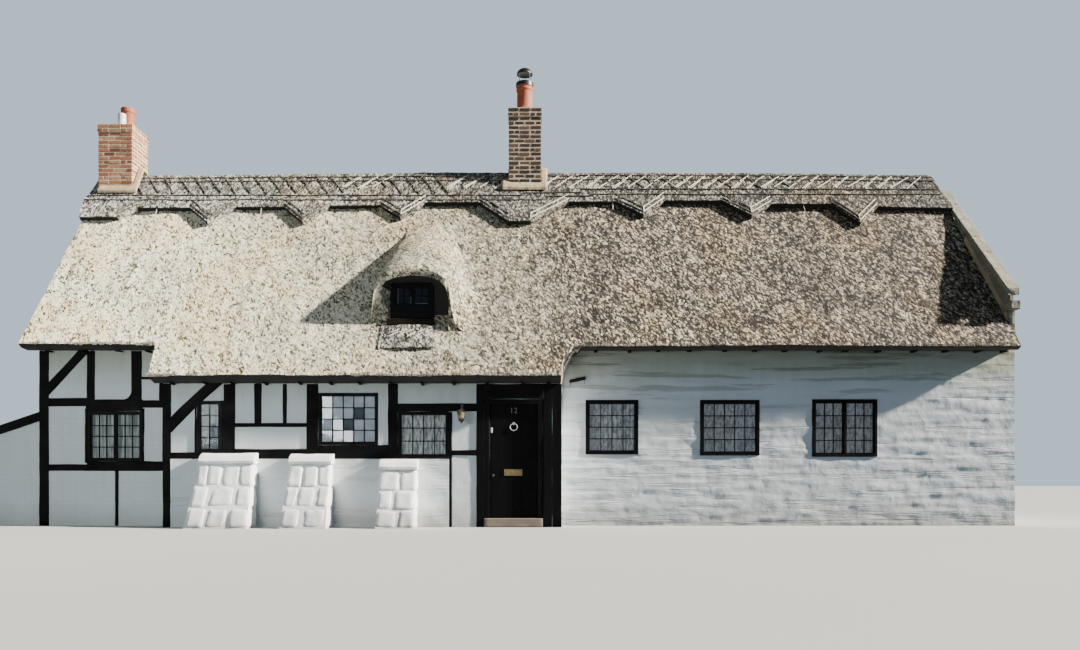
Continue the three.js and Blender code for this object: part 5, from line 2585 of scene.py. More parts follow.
@dataclass
class CasementWindow:
    """A frame with glazing bars, single panes and a net curtain."""

    size: WindowSize
    face: float
    side: Face
    seed: int
    glazing_bar: float = 0.0165
    casement: float = 0.022
    behind_frame: float = 0.08
    tilt: float = 0.02

    def __post_init__(self) -> None:
        """Start this window's random draws."""
        self.random = random.Random(self.seed)

    def y(self, depth: float) -> float:
        """A line at a depth behind the wall's face."""
        return self.face + self.side.value * depth

    def bar(
        self, x0: float, x1: float, z0: float, z1: float, front: float, back: float,
    ) -> bpy.types.Object:
        """One member of the joinery."""
        ya, yb = sorted((self.y(front), self.y(back)))
        return block("bar", (x0, x1, ya, yb, z0, z1))

    def lights(self) -> list[Opening]:
        """The clear opening of each light inside the frame.

        Returns:
            The openings, from left to right.
        """
        size = self.size
        wide = (size.x1 - size.x0 - 2 * size.bar - size.mullion * (size.lights - 1)) / size.lights
        found = []
        for i in range(size.lights):
            x0 = size.x0 + size.bar + i * (wide + size.mullion)
            found.append(Opening(x0, x0 + wide, size.z0 + size.bar, size.z1 - size.bar))
        return found

    def joinery(self) -> bpy.types.Object:
        """The frame, the casements and the bars.

        Returns:
            The joinery as one piece.
        """
        size = self.size
        bar = size.bar
        parts = [
            self.bar(size.x0, size.x0 + bar, size.z0, size.z1, -0.012, self.behind_frame),
            self.bar(size.x1 - bar, size.x1, size.z0, size.z1, -0.012, self.behind_frame),
            self.bar(size.x0 + bar, size.x1 - bar, size.z1 - bar, size.z1, -0.011, self.behind_frame),
            self.bar(size.x0 + bar, size.x1 - bar, size.z0, size.z0 + bar, -0.016, self.behind_frame),
        ]
        for light, following in zip(self.lights(), self.lights()[1:]):
            parts.append(self.bar(light.x1, following.x0, light.z0, light.z1, -0.008, self.behind_frame))
        for light in self.lights():
            parts += self.leaf(light)
        piece = join(size.name + "_joinery", parts)
        chamfer(piece, 0.0035)
        return piece

    def leaf(self, light: Opening) -> list[bpy.types.Object]:
        """One casement with its glazing bars.

        Args:
            light: the opening that it fills.

        Returns:
            Its members.
        """
        edge = self.casement
        inner = Opening(light.x0 + edge, light.x1 - edge, light.z0 + edge, light.z1 - edge)
        parts = [
            self.bar(light.x0, inner.x0, light.z0, light.z1, 0.006, 0.046),
            self.bar(inner.x1, light.x1, light.z0, light.z1, 0.006, 0.046),
            self.bar(inner.x0, inner.x1, inner.z1, light.z1, 0.006, 0.046),
            self.bar(inner.x0, inner.x1, light.z0, inner.z0, 0.006, 0.046),
        ]
        half = self.glazing_bar / 2
        for i in range(1, self.size.columns):
            x = inner.x0 + (inner.x1 - inner.x0) * i / self.size.columns
            parts.append(self.bar(x - half, x + half, inner.z0, inner.z1, 0.012, 0.040))
        for j in range(1, self.size.rows):
            z = inner.z0 + (inner.z1 - inner.z0) * j / self.size.rows
            parts.append(self.bar(inner.x0, inner.x1, z - half, z + half, 0.0125, 0.0395))
        return parts

    def panes(self) -> list[bpy.types.Object]:
        """Every pane, each set at a slightly different tilt.

        Returns:
            The panes, column by column.
        """
        found = []
        for light in self.lights():
            x0, x1 = light.x0 + self.casement, light.x1 - self.casement
            z0, z1 = light.z0 + self.casement, light.z1 - self.casement
            wide = (x1 - x0) / self.size.columns
            high = (z1 - z0) / self.size.rows
            for i in range(self.size.columns):
                for j in range(self.size.rows):
                    pane = block("pane", (-wide / 2, wide / 2, -0.0015, 0.0015, -high / 2, high / 2))
                    lean, swing = [self.random.uniform(-self.tilt, self.tilt) for _ in range(2)]
                    place = (x0 + (i + 0.5) * wide, self.y(0.026), z0 + (j + 0.5) * high)
                    found.append(placed(pane, place, (lean, 0, swing)))
        return found

    def curtain(self, finish: bpy.types.Material, behind: float) -> None:
        """A net hung from a thin rod behind the glass.

        Args:
            finish: its material.
            behind: depth behind the wall's face.
        """
        size = self.size
        wide = size.x1 - size.x0 - 0.03
        high = size.z1 - size.z0 - 0.05
        name = size.name.replace("window", "net")
        bpy.ops.mesh.primitive_grid_add(x_subdivisions=int(wide / 0.011), y_subdivisions=5, size=1)
        net = bpy.context.object
        net.name = name
        net.scale = (wide, high, 1)
        net.rotation_euler = (math.pi / 2, 0, 0)
        net.location = ((size.x0 + size.x1) / 2, self.y(behind), (size.z0 + size.z1) / 2)
        freeze(net)
        phase = self.random.uniform(0, 6)
        for vertex in net.data.vertices:
            x, _, z = vertex.co
            sway = 0.006 * ripple(x * 3, z * 2, phase)
            fold = math.sin(x * 82 + phase + 1.3 * ripple(x * 5, 0, phase))
            vertex.co.y += 0.010 * fold + sway
        smooth(net, 80)
        hand_over(net, [finish])

    def curtain_rod(self, finish: bpy.types.Material, behind: float) -> None:
        """The rod that the net hangs from.

        Args:
            finish: its material.
            behind: depth behind the wall's face.
        """
        size = self.size
        z = size.z1 - 0.022
        start, end = (size.x0 + 0.004, self.y(behind), z), (size.x1 - 0.004, self.y(behind), z)
        piece = rod(size.name.replace("window", "net") + "_rod", start, end, 0.004, 8)
        hand_over(piece, [finish])


@dataclass(frozen=True)
class Look:
    """What is seen in one window: its net, its glass and the panes, if any, that look darker."""

    net: bpy.types.Material
    glass: bpy.types.Material
    dark: tuple[int, ...] = ()


class Glazing:
    """All the windows of one wall."""

    def __init__(self, sizes: list[WindowSize], face: float, side: Face, paints: Paintbox) -> None:
        """Make a window for each size."""
        self.windows = [CasementWindow(s, face, side, 31 * i + 3) for i, s in enumerate(sizes)]
        self.paints = paints

    def build(self, name: str, node: str, behind: float, looks: list[Look]) -> None:
        """Build the joinery, the panes and the curtains.

        Args:
            name: name of the piece that holds this wall's panes.
            node: the CAD sheet of glass that the panes stand for.
            behind: depth of the curtains behind the wall's face.
            looks: the net and the glass of each window.
        """
        paints = self.paints
        panes = []
        for window, look in zip(self.windows, looks):
            hand_over(window.joinery(), [paints.joinery], (window.size.name,))
            for number, pane in enumerate(window.panes()):
                pane.data.materials.append(paints.green_glass if number in look.dark else look.glass)
                panes.append(pane)
            window.curtain_rod(paints.brass, behind)
            window.curtain(look.net, behind)
        hand_over(join(name, panes), [], (node,))


# Chimneys


@dataclass(frozen=True)
class StackSize:
    """A brick chimney stack."""

    name: str
    x0: float
    x1: float
    y0: float
    y1: float
    foot: float
    bare: float
    top: float
    brick: float
    joint: float
    lip: float = 0.014

    def hole(self, margin: float = 0.004) -> Box:
        """The room that it needs through the roof."""
        return (self.x0 - margin, self.x1 + margin, self.y0 - margin, self.y1 + margin, -0.5, self.top + 1)


@dataclass
class BrickStack:
    """A stack of single bricks around a mortar core."""

    size: StackSize
    seed: int
    thick: float = 0.1025
    pitch: float = 0.226
    error: float = 0.003
    tilt: float = 0.012

    def __post_init__(self) -> None:
        """Model one brick and start the random draws."""
        self.height = self.size.brick
        self.joint = self.size.joint
        self.random = random.Random(self.seed)
        self.pattern = block("brick", (-0.5, 0.5, -0.5, 0.5, -0.5, 0.5))

    def brick(self, x: float, y: float, z: float, length: float, along_x: bool) -> bpy.types.Object:
        """Lay one brick with its own small error.

        Args:
            x: its middle along the house.
            y: its middle across the house.
            z: its middle's height.
            length: its length.
            along_x: whether it lies along the house.

        Returns:
            The brick.
        """
        pick = self.random
        twin = copy_of(self.pattern)
        size = (length, self.thick, self.height) if along_x else (self.thick, length, self.height)
        grow = 1 + pick.uniform(-0.02, 0.02)
        place = Vector([value + pick.uniform(-self.error, self.error) for value in (x, y, z)])
        spin = Matrix.Rotation(pick.uniform(-self.tilt, self.tilt), 4, "Z")
        turn = spin @ Matrix.Rotation(pick.uniform(-self.tilt, self.tilt), 4, "Y")
        shape = Matrix.Diagonal((size[0] * grow, size[1] * grow, size[2], 1))
        twin.data.transform(Matrix.Translation(place) @ turn @ shape)
        return twin

    def row(self, start: float, end: float, shifted: bool) -> list[tuple[float, float]]:
        """Middle and length of each brick in a row.

        Args:
            start: one end of the row.
            end: the other end of the row.
            shifted: whether it starts with half a brick.

        Returns:
            The middles and the lengths.
        """
        count = max(1, round((end - start) / self.pitch))
        length = (end - start + self.joint) / count
        cuts = [start + i * length for i in range(count + 1)]
        if shifted and count > 1:
            cuts = [start] + [start + (i + 0.5) * length for i in range(count)] + [end + self.joint]
        return [((a + b - self.joint) / 2, b - a - self.joint) for a, b in zip(cuts, cuts[1:])]

    def course(self, z: float, number: int, grow: float) -> list[bpy.types.Object]:
        """One course round the stack.

        Args:
            z: the course's middle height.
            number: its number from the top.
            grow: how far it stands proud.

        Returns:
            Its bricks.
        """
        size = self.size
        x0, x1, y0, y1 = size.x0 - grow, size.x1 + grow, size.y0 - grow, size.y1 + grow
        half = self.thick / 2
        inset = self.thick + self.joint
        full_front = number % 2 == 0
        laid = []
        front = (x0, x1) if full_front else (x0 + inset, x1 - inset)
        side = (y0 + inset, y1 - inset) if full_front else (y0, y1)
        for middle, length in self.row(*front, not full_front and number % 4 == 1):
            laid.append(self.brick(middle, y0 + half, z, length, True))
            laid.append(self.brick(middle, y1 - half, z, length, True))
        for middle, length in self.row(*side, full_front and number % 4 == 2):
            laid.append(self.brick(x0 + half, middle, z, length, False))
            laid.append(self.brick(x1 - half, middle, z, length, False))
        return laid

    def build(self, brick: bpy.types.Material, mortar: bpy.types.Material) -> None:
        """Lay the bricks from just below the roof to the top.

        Args:
            brick: material of the bricks.
            mortar: material of the joints.
        """
        size = self.size
        gauge = self.height + self.joint
        courses = int((size.top - size.bare) / gauge)
        laid = []
        for i in range(courses):
            z = size.top - (i + 0.5) * gauge
            grow = size.lip if i < 2 else 0.0
            laid += self.course(z, i, grow)
        bricks = join("bricks", laid)
        per_brick = len(self.pattern.data.polygons)
        count = len(bricks.data.polygons) // per_brick
        tones = [self.random.random() for _ in range(count)]
        values = bricks.data.attributes.new("tone", "FLOAT", "FACE")
        values.data.foreach_set("value", [tones[i // per_brick] for i in range(len(bricks.data.polygons))])
        chamfer(bricks, 0.007, 1)
        paint(bricks, brick, mortar)
        remove(self.pattern)
        inset = 0.0045
        core = block("core", (
            size.x0 + inset, size.x1 - inset, size.y0 + inset, size.y1 - inset, size.foot, size.top - 0.01,
        ))
        head = block("head", (
            size.x0 - size.lip + inset, size.x1 + size.lip - inset, size.y0 - size.lip + inset,
            size.y1 + size.lip - inset, size.top - 2 * gauge + 0.004, size.top - 0.006,
        ))
        for part in (core, head):
            paint(part, brick, mortar)
            for face in part.data.polygons:
                face.material_index = 1
        piece = join(size.name + "_bricks", [bricks, core, head])
        hand_over(piece, [], (size.name,))


@dataclass
class Flaunching:
    """The mortar skirt between a stack and the ridge."""

    stack: StackSize
    form: RoofForm

    def build(self, finish: bpy.types.Material) -> None:
        """Build the skirt from the CAD solid with its edges softened.

        Args:
            finish: its material.
        """
        stack = self.stack
        piece = cad_copy(stack.name + "_flaunching", stack.name + "_skirt")
        x0 = stack.x0 - 0.20
        if stack.x0 < self.form.left + 0.2:
            cut(piece, block("trim", (x0, stack.x0 + 0.004, 2.0, 4.2, 5.0, 8.0)))
        else:
            cut(piece, block("trim", (x0, stack.x0 - 0.015, 2.83, 3.54, 6.86, 8.0)))
        chamfer(piece, 0.018, 2)
        apply_modifier(piece, "REMESH", mode="VOXEL", voxel_size=0.022)
        Relief((0.14, 0.14, 0.14), 0.018).press(piece)
        smooth(piece, 60)
        hand_over(piece, [finish], (stack.name + "_flaunching",))


@dataclass
class Pots:
    """The chimney pots, the metal flue and the cowl."""

    left: StackSize
    centre: StackSize
    paints: Paintbox

    def bed(self, stack: StackSize, finish: bpy.types.Material) -> None:
        """The low mortar mound over the top of a stack.

        Args:
            stack: the stack under it.
            finish: its material.
        """
        x0, x1, y0, y1 = stack.x0, stack.x1, stack.y0, stack.y1
        loops = []
        for inset, rise in ((0.0, -0.012), (0.0, 0.004), (0.10, 0.030), (0.20, 0.040)):
            z = stack.top + rise
            loops.append([
                (x0 + inset, y0 + inset, z), (x1 - inset, y0 + inset, z), (x1 - inset, y1 - inset, z),
                (x0 + inset, y1 - inset, z),
            ])
        piece = solid_of(stack.name + "_bed", loops)
        refine(piece, 3)
        Relief((0.1, 0.1, 0.1), 0.014).press(piece)
        smooth(piece, 60)
        hand_over(piece, [finish])

    def build(self) -> None:
        """Build every pot."""
        paints = self.paints
        base = self.left.top + 0.0003
        pot = turned("left_clay_pot", [
            (0.148, 0.0), (0.150, 0.02), (0.146, 0.036), (0.130, 0.06), (0.127, 0.20), (0.126, 0.40),
            (0.129, 0.412), (0.139, 0.422), (0.141, 0.440), (0.141, 0.500), (0.136, 0.513),
            (0.116, 0.515), (0.112, 0.50), (0.100, 0.40), (0.100, 0.04), (0.0, 0.04), (0.0, 0.0),
            (0.148, 0.0),
        ], (-8.501, 3.33, base))
        hand_over(pot, [paints.terracotta], ("left_chimney_pot",))
        flue = turned("left_metal_flue", [
            (0.077, 0.0), (0.077, 0.272), (0.0765, 0.278), (0.075, 0.280), (0.067, 0.280), (0.066, 0.276),
            (0.066, 0.02), (0.0, 0.02), (0.0, 0.0), (0.077, 0.0),
        ], (-8.48, 3.01, base))
        hand_over(flue, [paints.white_paint], ("left_chimney_flue",))
        self.bed(self.left, paints.mortar)

        x, y = -0.313, 3.185
        base = self.centre.top + 0.0003
        pot = turned("centre_clay_pot", [
            (0.198, 0.0), (0.199, 0.03), (0.190, 0.078), (0.166, 0.102), (0.158, 0.13), (0.156, 0.43),
            (0.160, 0.452), (0.173, 0.468), (0.176, 0.484), (0.173, 0.500), (0.162, 0.512),
            (0.162, 0.528), (0.173, 0.541), (0.176, 0.560), (0.171, 0.578), (0.146, 0.580), (0.140, 0.56),
            (0.130, 0.51), (0.130, 0.06), (0.0, 0.06), (0.0, 0.0), (0.198, 0.0),
        ], (x, y, base), 48)
        hand_over(pot, [paints.terracotta], ("centre_chimney_pot",))
        self.bed(self.centre, paints.mortar)
        self.cowl(x, y, base + 0.5803)

    def cowl(self, x: float, y: float, base: float) -> None:
        """A dished cap on thin legs, held by a band round the pot's rim.

        Args:
            x: the pot's middle along the house.
            y: the pot's middle across the house.
            base: height of the pot's rim.
        """
        paints = self.paints
        hood = turned("hood", [
            (0.0, 0.268), (0.06, 0.262), (0.12, 0.244), (0.158, 0.221), (0.165, 0.224), (0.166, 0.236),
            (0.155, 0.272), (0.128, 0.306), (0.088, 0.334), (0.045, 0.349), (0.0, 0.354),
        ], (x, y, base), 48)
        band = turned("ring", [
            (0.1775, -0.030), (0.180, -0.028), (0.180, 0.046), (0.176, 0.050), (0.148, 0.050),
            (0.148, 0.001), (0.1775, 0.001), (0.1775, -0.030),
        ], (x, y, base), 48)
        hand_over(join("centre_cowl", [hood, band]), [paints.cowl_black], ("centre_chimney_cowl",))
        legs = []
        for i in range(4):
            turn = (i + 0.5) * math.pi / 2
            px, py = x + 0.150 * math.cos(turn), y + 0.150 * math.sin(turn)
            legs.append(
                block("leg", (px - 0.007, px + 0.007, py - 0.003, py + 0.003, base + 0.04, base + 0.240)),
            )
        hand_over(join("cowl_legs", legs), [paints.zinc])


# Right gable


@dataclass
class Coping:
    """Weathered slabs on the gable parapet, with kneelers at the foot."""

    form: RoofForm
    paints: Paintbox
    pitch: float = 0.946
    apex: float = 6.75
    thick: float = 0.13
    x0: float = 8.131
    x1: float = 8.335

    def top(self, y: float) -> float:
        """Height of the coping's upper face."""
        return self.apex - self.pitch * abs(self.form.ridge_y - y)

    def slab(self, ya: float, yb: float, seed: float) -> bpy.types.Object:
        """One slab between two lines.

        Args:
            ya: its edge nearer the front.
            yb: its edge nearer the rear.
            seed: start of the random variation.

        Returns:
            The slab.
        """
        grow = 0.010 * ripple(seed, 0, 0)
        loops = []
        for x in (self.x0, self.x1 + grow):
            loops.append([
                (x, ya, self.top(ya) - self.thick), (x, yb, self.top(yb) - self.thick),
                (x, yb, self.top(yb) + grow), (x, ya, self.top(ya) + grow),
            ])
        piece = solid_of("slab", loops)
        cross_cuts(piece, 0, 0.07)
        refine(piece, 2)
        Relief((0.12, 0.12, 0.12), 0.022).press(piece)
        chamfer(piece, 0.012)
        return piece

    def inner(self, y: float) -> float:
        """The parapet's inner face, just inside the edge of the thatch."""
        return self.form.verge(y) - 0.008

    def parapet(self, side: Face) -> list[bpy.types.Object]:
        """Rough blocks between the thatch and the coping slabs.

        Args:
            side: the front or the rear slope.

        Returns:
            The blocks.
        """
        parts = []
        joints = [0.50, 0.88, 1.22, 1.62, 1.98, 2.42]
        for i, (a, b) in enumerate(zip(joints, joints[1:])):
            loops = []
            for y in (a + 0.006, b - 0.006):
                y = y if side is Face.FRONT else 2 * self.form.ridge_y - y
                low = self.form.top(y) - 0.12
                high = max(self.top(y) - self.thick - 0.006, low + 0.02)
                x = self.inner(y) + 0.012 * ripple(y * 5, i, 0)
                loops.append([(x, y, low), (8.285, y, low), (8.285, y, high), (x, y, high)])
            piece = solid_of("block", loops)
            refine(piece, 3)
            Relief((0.13, 0.13, 0.13), 0.030).press(piece)
            parts.append(piece)
        return parts

    def room(self, side: Face) -> bpy.types.Object:
        """What the parapet's blocks take out of the plain gable wall.

        Args:
            side: the front or the rear slope.

        Returns:
            The solid to cut away.
        """
        ys = [0.44, 0.75, 1.2, 1.6, 2.0, 2.45]
        if side is Face.REAR:
            ys = [2 * self.form.ridge_y - y for y in ys]
        return solid_of("room", [[
            (8.0, y, self.form.top(y) - 0.08), (8.27, y, self.form.top(y) - 0.08), (8.27, y, 8.0),
            (8.0, y, 8.0),
        ] for y in ys])

    def half(self, name: str, side: Face, node: str) -> None:
        """The slabs and the kneeler of one slope.

        Args:
            name: the piece's name.
            side: the front or the rear slope.
            node: the CAD node that it stands for.
        """
        joints = [0.385, 0.86, 1.30, 1.72, 2.20, 2.66, 3.146]
        parts = []
        for i, (a, b) in enumerate(zip(joints, joints[1:])):
            ya, yb = a + 0.006, b - 0.006
            if side is Face.REAR:
                ya, yb = 2 * self.form.ridge_y - yb, 2 * self.form.ridge_y - ya
            parts.append(self.slab(ya, yb, i * 1.7 + side.value))
        y0, y1 = 0.40, 0.75
        if side is Face.REAR:
            y0, y1 = 2 * self.form.ridge_y - y1, 2 * self.form.ridge_y - y0
        kneeler = block("kneeler", (self.x0 + 0.06, 8.364, y0, y1, 3.778, 3.932))
        refine(kneeler, 3)
        Relief((0.12, 0.12, 0.12), 0.02).press(kneeler)
        chamfer(kneeler, 0.012)
        parts.append(kneeler)
        parts += self.parapet(side)
        piece = join(name, parts)
        smooth(piece, 40)
        hand_over(piece, [self.paints.coping], (node,))

    def fillet(self) -> None:
        """The strip of mortar where the thatch meets the parapet."""
        loops = []
        for i in range(40):
            y = 0.60 + (1.95 - 0.60) * i / 39
            w = 0.030 + 0.030 * ripple(y * 4, 2, 0) - 0.012 * abs(y - 1.3)
            w = max(w, 0.012)
            x = self.inner(y)
            z = self.form.top(y) + 0.012
            loops.append([
                (x - 0.028, y, z), (x - 0.02, y, z + 0.03 + w), (x + 0.008, y, z + 0.06 + 2 * w),
                (x + 0.03, y, z + 0.05),
                (x + 0.03, y, z - 0.06), (x - 0.028, y, z - 0.06),
            ])
        piece = solid_of("parapet_mortar_fillet", loops)
        smooth(piece, 50)
        hand_over(piece, [self.paints.flaunching])

    def build(self) -> None:
        """Build both slopes of the coping."""
        self.half("front_coping_slabs", Face.FRONT, "coping_front")
        self.half("rear_coping_slabs", Face.REAR, "coping_rear")
        self.fillet()


# Front of the outshot


@dataclass
class Buttress:
    """A raking buttress of painted rubble under a rounded slab.

    Args:
        name: the CAD node that it stands for.
        x0: left edge of its slab.
        x1: right edge.
        top: height of the slab.
        splay: how far the left side spreads at the foot.
        seed: start of its random draws.
        foot: how far it stands forward at the foot.
        head: how far it stands forward under the slab.
        face: the line of its back.
        slab: thickness of the slab.
        seat: how far its core lies behind its face.
    """

    name: str
    x0: float
    x1: float
    top: float
    splay: float
    seed: int
    foot: float = 0.60
    head: float = 0.27
    face: float = -0.03
    slab: float = 0.18
    seat: float = 0.022

    def __post_init__(self) -> None:
        """Note the height of the shoulder and start the random draws."""
        self.shoulder = self.top - self.slab
        self.random = random.Random(self.seed)

    def reach(self, z: float) -> float:
        """How far forward the face stands at a height."""
        t = min(1.0, max(0.0, z / self.shoulder))
        return -(self.foot + (self.head - self.foot) * t) + 0.03

    def left(self, z: float) -> float:
        """The left side, splayed out at the foot."""
        return self.x0 - self.splay * (1 - min(1.0, z / self.shoulder)) ** 1.5

    def stone(self, a: float, b: float, z0: float, z1: float) -> bpy.types.Object:
        """One rounded stone whose face follows the rake; a and b are shares of the width.

        Args:
            a: its left edge, as a share of the width.
            b: its right edge.
            z0: its lower edge.
            z1: its upper edge.

        Returns:
            The stone.
        """
        pick = self.random
        inset = pick.uniform(0.0, 0.010)
        loops = []
        for share in (a, b):
            loop = []
            for z, back in ((z0, True), (z0, False), (z1, False), (z1, True)):
                x = self.left(z) + (self.x1 - self.left(z)) * share
                loop.append(
                    (x + pick.uniform(-0.02, 0.02), self.face if back else self.reach(z) + inset, z),
                )
            loops.append(loop)
        piece = solid_of("stone", loops)
        refine(piece, 2)
        apply_modifier(piece, "SUBSURF", levels=1, render_levels=1)
        apply_modifier(piece, "CAST", factor=0.07, cast_type="SPHERE", use_y=False)
        chamfer(piece, 0.024, 3)
        Relief((0.24, 0.24, 0.24), 0.028).press(piece)
        Relief((0.10, 0.10, 0.10), 0.012).press(piece)
        return piece

    def courses(self) -> list[bpy.types.Object]:
        """The rough courses of stones.

        Returns:
            The stones.
        """
        pick = self.random
        shoulder = self.shoulder
        wide = self.x1 - self.x0
        rows = (0.0, 0.31, 0.64, 1.0)
        parts = []
        for low, high in zip(rows, rows[1:]):
            count = pick.choice((2, 3)) if wide > 0.65 else 2
            if wide > 0.85:
                count += 1
            cuts = [0.0] + sorted((i + pick.uniform(-0.22, 0.22)) / count for i in range(1, count)) + [1.0]
            for a, b in zip(cuts, cuts[1:]):
                lower = low * shoulder + (pick.uniform(-0.02, 0.02) if low else 0.0)
                parts.append(self.stone(a, b, lower, high * shoulder + 0.004))
        return parts

    def build(self, finish: bpy.types.Material, node: str) -> None:
        """Lay the stones in rough courses under the slab.

        Args:
            finish: its material.
            node: the CAD node that it stands for.
        """
        shoulder = self.shoulder
        parts = self.courses()
        core = solid_of("core", [[
            (self.left(z) + 0.03 if side == 0 else self.x1 - 0.03, y, z)
            for y, z in (
                (self.face, 0.0), (self.reach(0) + self.seat, 0.0),
                (self.reach(shoulder) + self.seat, shoulder),
                (self.face, shoulder),
            )
        ] for side in (0, 1)])
        parts.append(core)
        slab = solid_of("slab", [[
            (x, self.face, shoulder), (x, -0.262, shoulder), (x, -0.268, shoulder + 0.05),
            (x, -0.215, self.top - 0.05), (x, -0.10, self.top), (x, self.face, self.top),
        ] for x in (self.x0 - 0.004, self.x1 + 0.004)])
        refine(slab, 3)
        chamfer(slab, 0.03, 3)
        Relief((0.3, 0.3, 0.2), 0.022).press(slab)
        parts.append(slab)
        piece = join(self.name + "_stones", parts)
        for vertex in piece.data.vertices:
            vertex.co.z = max(vertex.co.z, 0.001)
            vertex.co.y = max(vertex.co.y, 0.004 - self.foot)
        smooth(piece, 60)
        hand_over(piece, [finish], (node,))


@dataclass
class FrontDoor:
    """A boarded door with its furniture, and the frame round it."""

    paints: Paintbox
    x0: float = -0.853
    x1: float = -0.046
    y0: float = 0.05
    y1: float = 0.095
    z0: float = 0.156
    z1: float = 2.073

    def leaf(self) -> None:
        """The boards and the ledges behind them."""
        edges = [self.x0, -0.722, -0.575, -0.447, -0.312, -0.175, self.x1]
        parts = []
        for a, b in zip(edges, edges[1:]):
            board = block(
                "board", (a + 0.0012, b - 0.0012, self.y0 + 0.002, self.y0 + 0.026, self.z0, self.z1),
            )
            cross_cuts(board, 2, 0.25)
            chamfer(board, 0.0045)
            parts.append(board)
        back = block(
            "back",
            (self.x0 + 0.004, self.x1 - 0.004, self.y0 + 0.022, self.y0 + 0.030, self.z0, self.z1),
        )
        parts.append(back)
        for z in (0.30, 1.05, 1.82):
            ledge = block("ledge", (self.x0 + 0.03, self.x1 - 0.03, self.y0 + 0.028, self.y1, z, z + 0.14))
            chamfer(ledge, 0.005)
            parts.append(ledge)
        piece = join("door_boards", parts)
        hand_over(piece, [self.paints.oak_upright], ("door_leaf",), "door")

    def furniture(self) -> None:
        """Letter plate, knocker, lock, knob and numerals."""
        paints = self.paints
        plate = block("letter_plate", (-0.61, -0.30, 0.0415, 0.0515, 0.873, 0.983))
        chamfer(plate, 0.004)
        flap = block("flap", (-0.575, -0.335, 0.038, 0.044, 0.902, 0.955))
        chamfer(flap, 0.003)
        hand_over(join("letter_plate", [plate, flap]), [paints.brass], ("letterbox",), "door")

        profile = [(0.0, 0.0), (0.026, 0.0), (0.026, 0.006), (0.016, 0.012), (0.0, 0.014)]
        rose = placed(turned("rose", profile, steps=24), (-0.447, 0.0515, 1.76), (math.pi / 2, 0, 0))
        drop = ring(0.060, 0.0075, (32, 10), (-0.447, 0.040, 1.70), (math.pi / 2 - 0.08, 0, 0))
        knocker = join("knocker", [rose, drop])
        smooth(knocker, 40)
        hand_over(knocker, [paints.zinc], ("door_knocker",), "door")

        knob = turned("knob", [
            (0.0, 0.0), (0.026, 0.0), (0.026, 0.005), (0.010, 0.009), (0.009, 0.022), (0.020, 0.028),
            (0.026, 0.036), (0.024, 0.045), (0.014, 0.052), (0.0, 0.053),
        ], steps=28)
        placed(knob, (-0.798, 0.0515, 0.876), (math.pi / 2, 0, 0))
        hand_over(knob, [paints.iron], ("door_knob",), "door")

        lock = block("lock", (-0.838, -0.806, 0.044, 0.0515, 1.60, 1.69))
        chamfer(lock, 0.005)
        hand_over(lock, [paints.white_paint], body="door")

        bpy.ops.object.text_add(location=(-0.447, 0.0515, 1.937), rotation=(math.pi / 2, 0, 0))
        text = bpy.context.object
        text.data.body = "12"
        text.data.size = 0.135
        text.data.align_x = "CENTER"
        text.data.extrude = 0.004
        bpy.ops.object.convert(target="MESH")
        numerals = bpy.context.object
        numerals.name = "door_numerals"
        hand_over(numerals, [paints.dull_metal], body="door")

    def casing(self) -> None:
        """The door frame, its threshold and the dark boarding to its right."""
        left, right, bar = -0.9487, 0.0507, 0.09
        parts = []
        for box in (
            (left, left + bar, -0.012, 0.108, 0.1503, 2.17),
            (right - bar, right, -0.012, 0.108, 0.1503, 2.17),
            (left + bar, right - bar, -0.012, 0.108, 2.08, 2.17),
        ):
            part = block("jamb", box)
            cross_cuts(part, 2 if box[1] - box[0] < 0.2 else 0, 0.2)
            chamfer(part, 0.006)
            parts.append(part)
        piece = join("door_casing", parts)
        hand_over(piece, [self.paints.oak_upright], ("door_frame",))
        step = block("threshold", (-0.945, 0.047, -0.03, 0.12, 0.006, 0.1495))
        refine(step, 4)
        chamfer(step, 0.01)
        Relief((0.2, 0.2, 0.2), 0.008).press(step)
        smooth(step, 40)
        hand_over(step, [self.paints.sandstone])

    def build(self) -> None:
        """Build the door."""
        self.leaf()
        self.furniture()
        self.casing()


